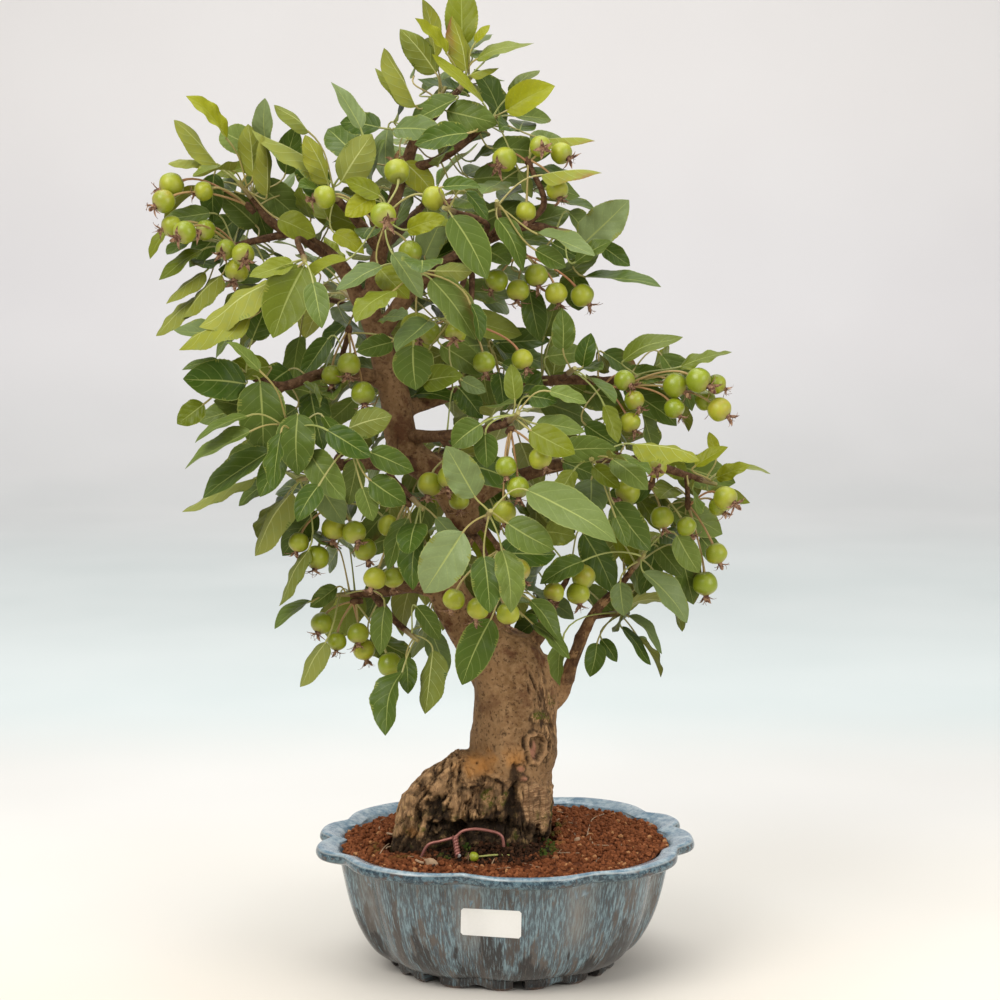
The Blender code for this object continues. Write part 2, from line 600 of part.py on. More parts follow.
def lengthened(path, grow):
    """The path with both of its ends moved outward."""
    first = path[0] + (path[0] - path[1]).normalized() * grow
    last = path[-1] + (path[-1] - path[-2]).normalized() * grow
    return [first] + path[1:-1] + [last]


def wood_path(nodes, grow=0.0):
    """Photo nodes as points and radii."""
    points = lengthened([from_photo(*node[:3]) for node in nodes], grow)
    return points, [node[3] + grow for node in nodes]


def ridged(ridges):
    """A ring shape with soft ridges that wind along the piece."""
    def shape(step, angle):
        return 1 + sum(high * math.sin(count * angle + turn * step + start)
                       for high, count, turn, start in ridges)
    return shape


def base_solids(grow=0.0):
    """The thick base and its roots; grown a little they cut their own pit in the soil."""
    parts = [loft(*wood_path(COLUMN, grow), COLUMN_SIDES, ridged(COLUMN_RIDGES))]
    parts += [loft(*wood_path(nodes, grow), ROOT_SIDES, ridged(ROOT_RIDGES)) for nodes in ROOTS]
    return [in_triangles(new_object("base", *part)) for part in parts]


def nearest_branch(tip):
    """The place on a branch that a twig to this tip would grow from, the way it runs and its radius."""
    best = None
    for nodes in BRANCHES.values():
        points, radii = wood_path(nodes)
        for k in range(len(points) - 1):
            along = (points[k + 1] - points[k]).normalized()
            for part in (0.0, 1 / 3, 2 / 3, 1.0):
                start = points[k].lerp(points[k + 1], part)
                reach = tip - start
                turn = reach.normalized().dot(along)
                cost = reach.length * (PLAIN_COST - TURN_SAVING * turn)
                radius = radii[k] * (1 - part) + radii[k + 1] * part
                if best is None or cost < best[0]:
                    best = (cost, start, along, radius)
    return best[1:]


def make_twig(spur):
    """A twig to this spur, where no branch already ends there, and the spur's place and direction."""
    tip = from_photo(*spur)
    for nodes in BRANCHES.values():
        points = wood_path(nodes)[0]
        if (points[-1] - tip).length < SPUR_REACH:
            return [], points[-1], (points[-1] - points[-2]).normalized()
    start, along, radius = nearest_branch(tip)
    reach = (tip - start).length
    root_radius = min(radius * TWIG_ROOT_SHARE, TWIG_ROOT)
    if reach < BENT_REACH:
        return [tube("twig", [start, tip], [root_radius, TWIG_END])], tip, (tip - start).normalized()
    bend = start + (along * reach + tip - start) * BEND_SHARE
    out = (tip - bend).normalized()
    return [tube("twig", [start, bend, tip], [root_radius, TWIG_MIDDLE, TWIG_END])], tip, out


def spur_cost(spur, spot):
    """How poorly a seen leaf would hang from this spur, by the stalk's length and bend in the photo."""
    stalk = Vector((spot[0] - spur[0], spot[1] - spur[1]))
    blade = Vector((spot[2] - spot[0], spot[3] - spot[1]))
    bend = 1 - stalk.normalized().dot(blade.normalized())
    return max(stalk.length, SHORT_STALK_PX) + BEND_COST_PX * bend + max(0.0, stalk.length - LONG_STALK_PX)


def sort_leaves():
    """The seen leaves by the spur that each hangs from best."""
    sprays = {name: [] for name in SPURS}
    front = [name for name in SPURS if not name.startswith("back_")]
    for spot in SEEN_LEAVES:
        best = min(front, key=lambda name: spur_cost(SPURS[name][0], spot))
        sprays[best].append(spot)
    return sprays


def make_wood():
    """Trunk, roots, branches and twigs as one grown piece; also gives each spur's place and direction."""
    trunk = new_object("trunk", *loft(*wood_path(TRUNK), TRUNK_SIDES, ridged(TRUNK_RIDGES)))
    parts = base_solids()
    for name, nodes in BRANCHES.items():
        parts.append(tube(name, *wood_path(nodes), 1 if nodes[0][3] > THICK_BRANCH else 0))
    ends = {}
    for name, (spur, _) in SPURS.items():
        twigs, tip, out = make_twig(spur)
        parts += twigs
        ends[name] = (tip, out)
    for name, entry in BUNCHES.items():
        if entry[0] in SPURS:
            ends["fruit_" + name] = ends[entry[0]]
        else:
            twigs, tip, out = make_twig(entry[0])
            parts += twigs
            ends["fruit_" + name] = (tip, out)
    return combine(trunk, parts, solver="MANIFOLD"), ends


def tree_of(verts, faces):
    """A search tree of some faces, to find what meets them."""
    return BVHTree.FromPolygons([tuple(v) for v in verts], faces)


class Crowd:
    """Everything placed so far, to keep new leaves and fruits clear of it."""

    def __init__(self):
        self.items = []

    def add(self, verts, faces, owner, soft=False):
        centre = sum(verts, Vector()) / len(verts)
        reach = max((v - centre).length for v in verts)
        self.items.append((tree_of(verts, faces), centre, reach, owner, soft))

    def hits(self, verts, faces, owner, soft=False):
        """Soft pieces (stems) of one owner may meet each other."""
        centre = sum(verts, Vector()) / len(verts)
        reach = max((v - centre).length for v in verts)
        mine = None
        for tree, other, other_reach, other_owner, other_soft in self.items:
            if owner == other_owner and (soft or other_soft):
                continue
            if (centre - other).length > reach + other_reach:
                continue
            if mine is None:
                mine = tree_of(verts, faces)
            if mine.overlap(tree):
                return True
        return False


def leaf_frame(leaf):
    """The way a blade points, the way its top faces and its side."""
    along = (leaf["tip"] - leaf["base"]).normalized()
    up = leaf["up"] - along * leaf["up"].dot(along)
    up.normalize()
    return along, up, along.cross(up)


def blade_row(leaf, t, wide, spare):
    """The middle of a blade at one station, its half width, its rise there and its up."""
    along, up, side = leaf_frame(leaf)
    length = (leaf["tip"] - leaf["base"]).length
    mid = leaf["base"].lerp(leaf["tip"], t) + up * leaf["arch"] * length * 4 * t * (1 - t)
    half = leaf["width"] * 0.5 * wide + spare
    lift = up * half * math.sin(leaf["fold"])
    out = side * half * math.cos(leaf["fold"])
    return mid, out, lift, up


def stalk_path(leaf):
    """From the root in the shoot, round the elbow if there is one, to the blade."""
    elbow = [leaf["elbow"]] if leaf["elbow"] else []
    return [leaf["root"]] + elbow + [leaf["base"]]


def leaf_solid(leaf, spare=0.0):
    """One leaf with its stalk as a closed solid; spare makes it thicker for clearance tests."""
    along, up, side = leaf_frame(leaf)
    path = stalk_path(leaf)
    thick = PETIOLE_RADIUS + spare
    verts = []
    faces = [(0, 1, 2)]
    for step, point in enumerate(path):
        before = (point - path[step - 1]).normalized() if step else Vector()
        after = (path[step + 1] - point).normalized() if step < len(path) - 1 else along
        axis = (before + after).normalized()
        top = up - axis * up.dot(axis)
        top = top.normalized() if top.length > 0.05 else axis.orthogonal().normalized()
        beside = axis.cross(top)
        verts += [point + beside * thick + top * thick * 0.5, point - beside * thick + top * thick * 0.5,
                  point - top * thick]
        if step:
            a = 3 * step
            faces += [(a - 3, a - 2, a + 1, a), (a - 2, a - 1, a + 2, a + 1), (a - 1, a - 3, a, a + 2)]
    a = 3 * (len(path) - 1)
    faces += [(a, a + 1, a + 4), (a, a + 4, a + 3), (a + 1, a + 5, a + 4), (a + 1, a + 2, a + 6),
              (a + 1, a + 6, a + 5), (a + 2, a, a + 3), (a + 2, a + 3, a + 6)]
    stations = NARROW_STATIONS if leaf["width"] < NARROW_WIDTH else BROAD_STATIONS
    for number, (t, wide) in enumerate(stations):
        mid, out, lift, rise = blade_row(leaf, t, wide, spare)
        verts += [mid + out + lift, mid + rise * spare, mid - out + lift, mid - rise * (BLADE_MID + spare)]
        if number:
            b = len(verts) - 4
            for k in range(4):
                n = (k + 1) % 4
                faces += [(b - 4 + k, b - 4 + n, b + n), (b - 4 + k, b + n, b + k)]
    verts.append(leaf["tip"] + along * spare)
    last = len(verts) - 1
    faces += [(last - 4 + k, last - 4 + (k + 1) % 4, last) for k in range(4)]
    return verts, faces


def split_leaf(leaf, verts, faces):
    """The blade and the stalk apart."""
    joint = 3 * len(stalk_path(leaf))
    blade = trimmed(verts, [f for f in faces if max(f) >= joint])
    stalk = trimmed(verts, [f for f in faces if max(f) < joint])
    return blade, stalk


def leaf_fits(crowd, leaf, owner):
    """Whether the leaf, made thicker all over, meets nothing placed so far."""
    blade, stalk = split_leaf(leaf, *leaf_solid(leaf, CLEARANCE))
    return not crowd.hits(*blade, owner) and not crowd.hits(*stalk, owner, True)


def trimmed(verts, faces):
    """Some faces with only their own vertices."""
    used = sorted({i for f in faces for i in f})
    place = {old: new for new, old in enumerate(used)}
    return [verts[i] for i in used], [tuple(place[i] for i in f) for f in faces]


def keep_leaf(crowd, leaf, owner):
    """Take the leaf into the crowd."""
    blade, stalk = split_leaf(leaf, *leaf_solid(leaf))
    crowd.add(*blade, owner)
    crowd.add(*stalk, owner, True)


def root_in(rod, path, part, toward):
    """A root just under the flat side of a four-sided rod that best faces this way."""
    axis = (path[1] - path[0]).normalized()
    start = path[0].lerp(path[1], part)
    best = None
    for face in rod.data.polygons:
        normal = Vector(face.normal)
        if abs(normal.dot(axis)) < 0.5:
            turn = normal.dot((toward - start).normalized())
            if best is None or turn > best[0]:
                best = (turn, normal, (face.center / MM - start).dot(normal))
    return start + best[1] * (best[2] - ROOT_SINK)


def hang_leaf(leaf, shoot, path, part):
    """Give the leaf its root in the shoot, and an elbow where its stalk turns far."""
    leaf["root"] = root_in(shoot, path, part, leaf["base"])
    stalk = leaf["base"] - leaf["root"]
    along = (leaf["tip"] - leaf["base"]).normalized()
    leaf["elbow"] = None
    if stalk.angle(along) > ELBOW_BEND:
        leaf["elbow"] = leaf["root"] + stalk * 0.62 - along * stalk.length * 0.3


def seen_leaf(draw, spot, depth):
    """A leaf known from the photo, at this depth."""
    bx, by, tx, ty, wide_px = spot
    base = from_photo(bx, by, depth)
    flat = from_photo(tx, ty, depth)
    run = (flat - base).length
    tilt = draw.uniform(*SEEN_TILT)
    tip = from_photo(tx, ty, depth + run * tilt)
    length = (tip - base).length
    seen = wide_px * (base - EYE).length / FOCAL_PX
    width = max(seen, min(length * FULL_WIDTH, seen * WIDTH_GAIN))
    along = (tip - base).normalized()
    turn = math.acos(min(1.0, seen / width)) * TURN_SHARE
    face = SEEN_FACE - along * SEEN_FACE.dot(along)
    face.normalize()
    side = along.cross(face)
    sign = 1 if side.z > 0 else -1
    up = face * math.cos(turn) + side * math.sin(turn) * sign
    return {"base": base, "tip": tip, "up": up, "width": width,
            "fold": draw.uniform(*SEEN_FOLD), "arch": draw.uniform(*SEEN_ARCH)}


def ruled_leaf(draw, start, out, heart):
    """A leaf grown by rule from a spur: outward, a little down, blade turned to the light."""
    away = start - heart
    away.z *= 0.6
    away.normalize()
    spread = Vector((draw.gauss(0, 1), draw.gauss(0, 1), draw.gauss(-0.15, 0.8))).normalized()
    way = (out * 0.5 + away * 0.8 + spread * 0.95).normalized()
    base = start + way * draw.uniform(*RULED_STALK)
    droop = Vector((0, 0, -draw.uniform(*RULED_DROOP)))
    blade_way = (way + droop).normalized()
    length = draw.uniform(*RULED_LENGTH)
    up = (Vector((0, 0, 1)) + away * 0.7 + spread * 0.35).normalized()
    return {"base": base, "tip": base + blade_way * length, "up": up,
            "width": length * draw.uniform(*RULED_WIDTH),
            "fold": draw.uniform(*RULED_FOLD), "arch": draw.uniform(*RULED_ARCH)}


def make_shoot(name, tip, out, length):
    """The green shoot of a spray starts clear of its twig's end."""
    path = [tip + out * SHOOT_GAP, tip + out * (SHOOT_GAP + length)]
    return path, tube(name, path, [SHOOT_RADIUS, SHOOT_RADIUS * 0.8])


def start_spray(name, spots, end, crowd):
    """The shoot of a spray, longer where more leaves hang from it."""
    owner = "leaves_" + name
    path, shoot = make_shoot(owner, *end, SHOOT_LENGTH + SHOOT_GROWTH * (len(spots) + SPURS[name][1]))
    crowd.add(*points_of(shoot), owner)
    return path, shoot


def plan_spray(name, spots, path, shoot, crowd):
    """The leaves of a spray: those seen in the photo first, then a few more grown by rule."""
    draw = random.Random(SEED * 1000 + sum(ord(c) * (i + 1) for i, c in enumerate(name)))
    owner = "leaves_" + name
    spur, more = SPURS[name]
    out = (path[1] - path[0]).normalized()
    leaves = []
    heart = from_photo(*CANOPY_HEART)
    for number, spot in enumerate(spots):
        part = 0.2 + 0.65 * (number * GOLDEN % 1.0)
        for push in LEAF_PUSHES:
            leaf = seen_leaf(draw, spot, spur[2] - 6 + push)
            hang_leaf(leaf, shoot, path, part)
            if leaf_fits(crowd, leaf, owner):
                leaves.append(leaf)
                keep_leaf(crowd, leaf, owner)
                break
    wanted = len(leaves) + more
    for attempt in range(more * TRIES_PER_LEAF):
        if len(leaves) == wanted:
            break
        part = draw.uniform(0.2, 0.85)
        leaf = ruled_leaf(draw, path[0].lerp(path[1], part), out, heart)
        hang_leaf(leaf, shoot, path, part)
        if leaf_fits(crowd, leaf, owner):
            leaves.append(leaf)
            keep_leaf(crowd, leaf, owner)
    return leaves


def fruit_solid(fruit, spare=0.0):
    """A small pome on its stem, with the dried calyx as a short neck at its far end."""
    centre, radius, axis, root = fruit["centre"], fruit["radius"], fruit["axis"], fruit["root"]
    head = centre - axis * radius * 0.92
    way = (head - root).normalized()
    side = axis.orthogonal().normalized()
    across = axis.cross(side)
    lean = side - way * side.dot(way)
    lean = lean.normalized() if lean.length > 0.05 else way.orthogonal().normalized()
    thick = STEM_RADIUS + spare
    verts = []
    for point, first, normal in ((root, lean, way), (head, side, axis)):
        second = normal.cross(first)
        for k in range(3):
            angle = 2 * math.pi * k / 3
            verts.append(point + (first * math.cos(angle) + second * math.sin(angle)) * thick)
    faces = [(0, 1, 2), (0, 1, 4, 3), (1, 2, 5, 4), (2, 0, 3, 5)]
    for height, wide in FRUIT_ROWS:
        for k in range(FRUIT_SIDES):
            angle = 2 * math.pi * k / FRUIT_SIDES
            out = side * math.cos(angle) + across * math.sin(angle)
            verts.append(centre + axis * (radius * height) + out * (radius * wide + spare))
    for k in range(3):
        ring = 6 + 2 * k
        after = 6 + (2 * k + 2) % FRUIT_SIDES
        turn = 3 + (k + 1) % 3
        faces += [(3 + k, ring, ring + 1), (3 + k, ring + 1, turn), (turn, ring + 1, after)]
    for row in range(len(FRUIT_ROWS) - 1):
        low = 6 + row * FRUIT_SIDES
        for k in range(FRUIT_SIDES):
            nxt = (k + 1) % FRUIT_SIDES
            faces.append((low + k, low + nxt, low + FRUIT_SIDES + nxt, low + FRUIT_SIDES + k))
    last = 6 + (len(FRUIT_ROWS) - 1) * FRUIT_SIDES
    faces.append(tuple(last + k for k in range(FRUIT_SIDES)))
    return verts, faces


def split_fruit(verts, faces):
    """The fruit's own faces and its stem's faces apart."""
    stem = [f for f in faces if max(f) < 6]
    ball = [f for f in faces if min(f) >= 6]
    return ball + [tuple(range(6, 6 + FRUIT_SIDES))], stem


def make_knob(name, tip, out, beside):
    """The bud base of a bunch: beside its twig's end where a spray has the end, else on the end."""
    start = tip + out * SHOOT_GAP
    if beside:
        down = Vector((0, 0, -1)) + out * out.z
        start = tip - out * KNOB_BACK + down.normalized() * KNOB_OFFSET
    path = [start, start + out * KNOB_LENGTH]
    return path, tube(name, path, [KNOB_RADIUS, KNOB_RADIUS * 0.9])


def start_bunch(name, end, crowd):
    """The bud base that the stems of a bunch grow from."""
    owner = "fruit_" + name
    path, knob = make_knob(owner, *end, BUNCHES[name][0] in SPURS)
    crowd.add(*points_of(knob), owner)
    return path, knob


def plan_bunch(name, spots, path, knob, crowd):
    """The fruits of a bunch, each at its place in the photo and at a depth where it is clear."""
    draw = random.Random(SEED * 77 + sum(ord(c) * (i + 3) for i, c in enumerate(name)))
    owner = "fruit_" + name
    fruits = []
    for number, (px, py) in enumerate(spots):
        radius = FRUIT_RADIUS * draw.uniform(0.84, 1.1)
        part = 0.2 + 0.6 * (number * GOLDEN % 1.0)
        for push in FRUIT_PUSHES:
            centre = from_photo(px, py, path[0].y - 8 + push + draw.uniform(-2, 2))
            root = root_in(knob, path, part, centre)
            hang = (centre - root).normalized()
            axis = (hang + Vector((draw.uniform(-0.3, 0.3), draw.uniform(-0.5, 0.1), -0.75))).normalized()
            fruit = {"centre": centre, "radius": radius, "axis": axis, "root": root}
            verts, faces = fruit_solid(fruit, CLEARANCE)
            ball, stem = split_fruit(verts, faces)
            if (centre - root).length < 2 * radius:
                continue
            if crowd.hits(*trimmed(verts, ball), owner) or crowd.hits(*trimmed(verts, stem), owner, True):
                continue
            fruits.append(fruit)
            verts, faces = fruit_solid(fruit)
            crowd.add(*trimmed(verts, ball), owner)
            crowd.add(*trimmed(verts, stem), owner, True)
            break
    return fruits


def without_voids(thing):
    """Fill the small voids that crossing stems close in, by keeping the outer shell alone."""
    work = bmesh.new()
    work.from_mesh(thing.data)
    loose = set(work.faces)
    shells = []
    while loose:
        edge_faces = [loose.pop()]
        shell = []
        while edge_faces:
            face = edge_faces.pop()
            shell.append(face)
            near = {other for edge in face.edges for other in edge.link_faces} & loose
            loose -= near
            edge_faces += near
        shells.append(shell)
    shells.sort(key=len)
    for shell in shells[:-1]:
        bmesh.ops.delete(work, geom=shell, context="FACES")
    work.to_mesh(thing.data)
    work.free()
    return thing


def build_bunch(knob, fruits):
    """One solid of a bud base and its fruits; MANIFOLD is much quicker here than EXACT."""
    stems = [in_triangles(new_object("fruit", *fruit_solid(fruit))) for fruit in fruits]
    return without_voids(combine(knob, stems, solver="MANIFOLD"))


def build_spray(shoot, leaves):
    """One solid of a shoot and its leaves."""
    blades = [in_triangles(new_object("leaf", *leaf_solid(leaf))) for leaf in leaves]
    return without_voids(combine(shoot, blades, solver="MANIFOLD"))


def wire_shape(step, angle):
    """Two strands side by side, turning as they go."""
    return 0.72 + 0.38 * abs(math.cos(angle - step * math.pi / 4))


def make_wire(grow=0.0):
    """The tie wire arched in front of the roots: two legs into the soil and the twisted tail."""
    bends = lengthened([from_photo(px, py, WIRE_DEPTH) for px, py in WIRE_BENDS], grow)
    legs = tube("anchor_wire", bends, [WIRE_RADIUS + grow] * len(bends), 1)
    start = bends[TAIL_BEND]
    end = on_soil(*TAIL_END, TAIL_LIFT)
    path = [start.lerp(end, k / TAIL_STEPS) for k in range(TAIL_STEPS + 1)]
    tail = new_object("tail", *loft(path, [2 * WIRE_RADIUS + grow] * len(path), 8, wire_shape))
    return combine(legs, [tail], solver="MANIFOLD")


def make_fallen_fruit():
    """A dropped fruitlet with its dry stem."""
    centre = on_soil(*FALLEN_FRUIT, FALLEN_LIFT)
    end = on_soil(*FALLEN_STEM_END, FALLEN_END_LIFT)
    axis = (centre - end).normalized()
    fruit = {"centre": centre, "radius": FALLEN_RADIUS, "axis": axis, "root": end}
    return new_object("fallen_crabapple", *fruit_solid(fruit))


# (base colour, roughness, metallic) by the first word of the piece's name
MATERIALS = {
    "pot": ((0.05, 0.09, 0.11), 0.2, 0.0),
    "soil": ((0.12, 0.04, 0.02), 0.95, 0.0),
    "drainage": ((0.02, 0.02, 0.02), 0.6, 0.0),
    "trunk": ((0.20, 0.12, 0.07), 0.8, 0.0),
    "anchor": ((0.22, 0.09, 0.06), 0.35, 1.0),
    "leaves": ((0.07, 0.16, 0.03), 0.5, 0.0),
    "fruit": ((0.28, 0.42, 0.05), 0.35, 0.0),
    "fallen": ((0.22, 0.38, 0.05), 0.4, 0.0),
}


def make_materials():
    """A material for each kind of piece."""
    made = {}
    for name, (colour, roughness, metallic) in MATERIALS.items():
        material = bpy.data.materials.new(name)
        material.use_nodes = True
        shader = material.node_tree.nodes["Principled BSDF"]
        shader.inputs["Base Color"].default_value = (*colour, 1)
        shader.inputs["Roughness"].default_value = roughness
        shader.inputs["Metallic"].default_value = metallic
        made[name] = material
    return made


def settle(things):
    """Collect the parts under one empty that puts the whole part's bottom centre at the origin."""
    corners = [v.co for thing in things for v in thing.data.vertices]
    low = Vector(min(c[i] for c in corners) for i in range(3))
    high = Vector(max(c[i] for c in corners) for i in range(3))
    bonsai = bpy.data.objects.new("bonsai", None)
    bonsai.location = (-(low.x + high.x) / 2, -(low.y + high.y) / 2, -low.z)
    group = bpy.data.collections.new("hall_crabapple_bonsai")
    bpy.context.scene.collection.children.link(group)
    group.objects.link(bonsai)
    materials = make_materials()
    for thing in things:
        bpy.context.scene.collection.objects.unlink(thing)
        group.objects.link(thing)
        thing.parent = bonsai
        thing.data.materials.clear()
        thing.data.materials.append(materials[thing.name.split("_")[0]])
        thing.data.shade_smooth()
        thing.data.set_sharp_from_angle(angle=SHARP_ANGLE)


def main():
    """Make everything; leaves and fruits go in last, each clear of what is there."""
    for thing in list(bpy.data.objects):
        bpy.data.objects.remove(thing)
    pot = make_pot()
    meshes = [make_drain_mesh("drainage_mesh_left", -DRAIN_SPREAD),
              make_drain_mesh("drainage_mesh_right", DRAIN_SPREAD)]
    wood, ends = make_wood()
    wire = make_wire()
    soil = make_soil()
    seat_top = FLOOR_TOP + MESH_GAP + MESH_THICK + ROOT_GAP
    seats = [make_disc("seat", x, 0, MESH_RADIUS + ROOT_GAP, SEAT_BOTTOM, seat_top, ROUND_SIDES)
             for x in (-DRAIN_SPREAD, DRAIN_SPREAD)]
    combine(soil, base_solids(ROOT_GAP) + [make_wire(ROOT_GAP)] + seats, "DIFFERENCE", "MANIFOLD")
    fallen = make_fallen_fruit()

    crowd = Crowd()
    for thing in (wood, pot, soil, wire, fallen):
        crowd.add(*points_of(thing), thing.name)
    seen = sort_leaves()
    knobs = {name: start_bunch(name, ends["fruit_" + name], crowd) for name in BUNCHES}
    shoots = {name: start_spray(name, seen[name], ends[name], crowd) for name in SPURS}
    things = [pot, soil, wood, wire, fallen] + meshes
    for name, (path, knob) in knobs.items():
        things.append(build_bunch(knob, plan_bunch(name, BUNCHES[name][1], path, knob, crowd)))
    for name, (path, shoot) in shoots.items():
        things.append(build_spray(shoot, plan_spray(name, seen[name], path, shoot, crowd)))
    settle(things)


main()
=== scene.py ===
"""Looks of the hall crabapple bonsai in its glazed pot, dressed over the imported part.

Sizes are millimetres on the tree's own axes, as in the part's source. Placements on the front come
from positions in the photo (a 1000 x 1000 frame) taken back to a depth; depth grows away from the viewer.
"""
import math
import random

import bmesh
import bpy
import numpy as np
from mathutils import Matrix, Vector, noise
from mathutils.bvhtree import BVHTree


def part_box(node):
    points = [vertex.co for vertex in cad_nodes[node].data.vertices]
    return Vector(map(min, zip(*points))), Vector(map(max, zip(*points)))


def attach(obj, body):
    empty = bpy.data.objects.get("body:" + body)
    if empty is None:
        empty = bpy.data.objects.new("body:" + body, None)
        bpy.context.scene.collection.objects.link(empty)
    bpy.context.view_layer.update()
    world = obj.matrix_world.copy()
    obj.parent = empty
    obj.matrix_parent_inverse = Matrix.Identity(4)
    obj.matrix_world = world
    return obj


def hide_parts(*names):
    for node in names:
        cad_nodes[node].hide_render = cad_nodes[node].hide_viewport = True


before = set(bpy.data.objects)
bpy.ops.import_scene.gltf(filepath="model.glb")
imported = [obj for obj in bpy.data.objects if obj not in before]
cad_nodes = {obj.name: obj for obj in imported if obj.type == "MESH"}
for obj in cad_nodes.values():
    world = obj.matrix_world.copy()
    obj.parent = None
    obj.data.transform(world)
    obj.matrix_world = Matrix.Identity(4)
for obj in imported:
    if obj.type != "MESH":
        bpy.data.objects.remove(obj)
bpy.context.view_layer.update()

MM = 0.001
GOLDEN = 0.618
SEED = 4

# The photo's camera: where the eye stands, how it looks and its focal length in pixels.
EYE = Vector((-2.8, -1500.0, 506.0))
PITCH = math.radians(6.8)
FOCAL_PX = 2231.0
CENTRE_PX = 500.0
FRAME_PX = 1000.0
SENSOR = 36.0

# Pot sizes, as in the part's source.
RIM_HALF_WIDTH = 129.0
RIM_HALF_DEPTH = 110.0
PLAIN_HALF_WIDTH = 126.0
PLAIN_HALF_DEPTH = 106.0
POT_TURN = math.radians(5.5)
POT_MIDDLE = Vector((0.0, 18.0, 0.0))
RIM_NOTCHES = [
    (52, -106), (120, -47), (126, 10), (114, 51), (48, 102),
    (-46, 103), (-113, 51), (-125, 5), (-118, -46), (-39, -100),
]
LOBE_BULGE = [12.5, 8.0, 8.0, 12.5, 10.5, 12.5, 8.0, 9.5, 13.5, 10.5]
LOBE_POWER = 2.2
STEPS_PER_LOBE = 4
FINE_STEP = 1 / 6
# (share of the rim outline, height, share of a plain ellipse mixed in)
POT_OUTER = [
    (0.630, 7.0, 0.7), (0.712, 16.0, 0.45), (0.780, 31.5, 0.25), (0.828, 50.5, 0.1),
    (0.873, 79.5, 0.0), (0.966, 82.4, 0.0), (0.998, 85.0, 0.0), (0.990, 89.6, 0.0),
]
POT_WIDEST = 6
POT_INNER = [
    (0.962, 90.8, 0.0), (0.892, 88.4, 0.0), (0.872, 85.8, 0.03), (0.828, 76.0, 0.05),
    (0.772, 51.0, 0.15), (0.690, 25.5, 0.45), (0.590, 13.0, 0.7),
]
FLOOR_TOP = 13.0
DRAIN_RADIUS = 9.0
DRAIN_SPREAD = 42.0
FOOT_SHARES = (0.545, 0.622)
FOOT_TOP = 10.0
FOOT_SPANS = [(38.3, 41.7), (2.6, 4.6), (6.6, 9.4), (11.4, 13.4), (14.3, 17.7), (18.3, 21.7),
              (22.6, 24.6), (26.6, 29.4), (31.4, 33.4), (34.3, 37.7)]

# Soil and what lies on it.
SOIL_EDGE_TOP = 86.0
SOIL_MOUND = 8.5
SOIL_PEAK = (-8.0, 14.0)
SOIL_REACH = (108.0, 92.0)
SOIL_FALL = 1.7
RAY_START = -110.0
RAY_STOP = 100.0
RAY_STEP = 0.25
SOIL_RIPPLES = [(0.5, 0.11, 0.13), (0.35, 0.23, -0.19)]
WIRE_RADIUS = 1.1
WIRE_DEPTH = -38
WIRE_BENDS = [(421, 858), (428, 845), (441, 841), (455, 837), (463, 831), (476, 829), (490, 831),
              (499, 834), (503, 840), (504, 858)]
TAIL_BEND = 3
TAIL_END = (458, 860)
TAIL_LIFT = 2.6
FALLEN_FRUIT = (474, 862)
FALLEN_STEM_END = (514, 858)
FALLEN_RADIUS = 3.3
FALLEN_LIFT = 3.6
FALLEN_END_LIFT = 1.6

# Foliage and fruit sizes, as in the part's source.
FRUIT_RADIUS = 7.8
CANOPY_HEART = (430, 330, 0)
SPUR_REACH = 7.0
BENT_REACH = 26.0
BEND_SHARE = 0.3
TWIG_ROOT_SHARE = 0.75
TWIG_ROOT = 2.6
TWIG_MIDDLE = 2.1
TWIG_END = 1.7
PLAIN_COST = 1.35
TURN_SAVING = 0.5
SHOOT_GAP = 0.4
KNOB_OFFSET = 5.2
KNOB_LENGTH = 6.0
KNOB_BACK = 5.5
SHOOT_LENGTH = 6.0
SHOOT_GROWTH = 0.9
SHORT_STALK_PX = 14
LONG_STALK_PX = 45
BEND_COST_PX = 40
LEAF_PUSHES = (0, -7, 7, -14, 14, -21, 21, -28, 28, -36, 36, -46, 46)
FRUIT_PUSHES = (0, -8, 8, -16, 16, -24, 24, -32, 32, -40, 40)
TRIES_PER_LEAF = 14
# Where on its shoot a leaf or a fruit roots: the start and the reach of the share, or its two ends.
SEEN_PARTS = (0.2, 0.65)
RULED_PARTS = (0.2, 0.85)
FRUIT_PARTS = (0.2, 0.6)
LEAF_AHEAD = 6
FRUIT_AHEAD = 8
FRUIT_STRAY = (-2, 2)
FRUIT_SIZES = (0.84, 1.1)
SEEN_TILT = (-0.45, 0.1)
SEEN_FOLD = (0.18, 0.5)
SEEN_ARCH = (0.02, 0.09)
FULL_WIDTH = 0.46
WIDTH_GAIN = 1.9
TURN_SHARE = 0.85
SEEN_FACE = Vector((0, -1, 0.35))
RULED_STALK = (14, 27)
RULED_LENGTH = (30, 48)
RULED_WIDTH = (0.44, 0.56)
RULED_FOLD = (0.2, 0.5)
RULED_ARCH = (0.03, 0.1)
RULED_DROOP = (0.1, 0.7)
COLUMN_RIDGES = [(0.05, 3, 0.4, 0), (0.03, 5, -0.7, 1)]
TRUNK_RIDGES = [(0.04, 2, 0.5, 0), (0.03, 3, -0.8, 0)]
ROOT_RIDGES = [(0.07, 3, 1.0, 0), (0.04, 4, -0.6, 0)]

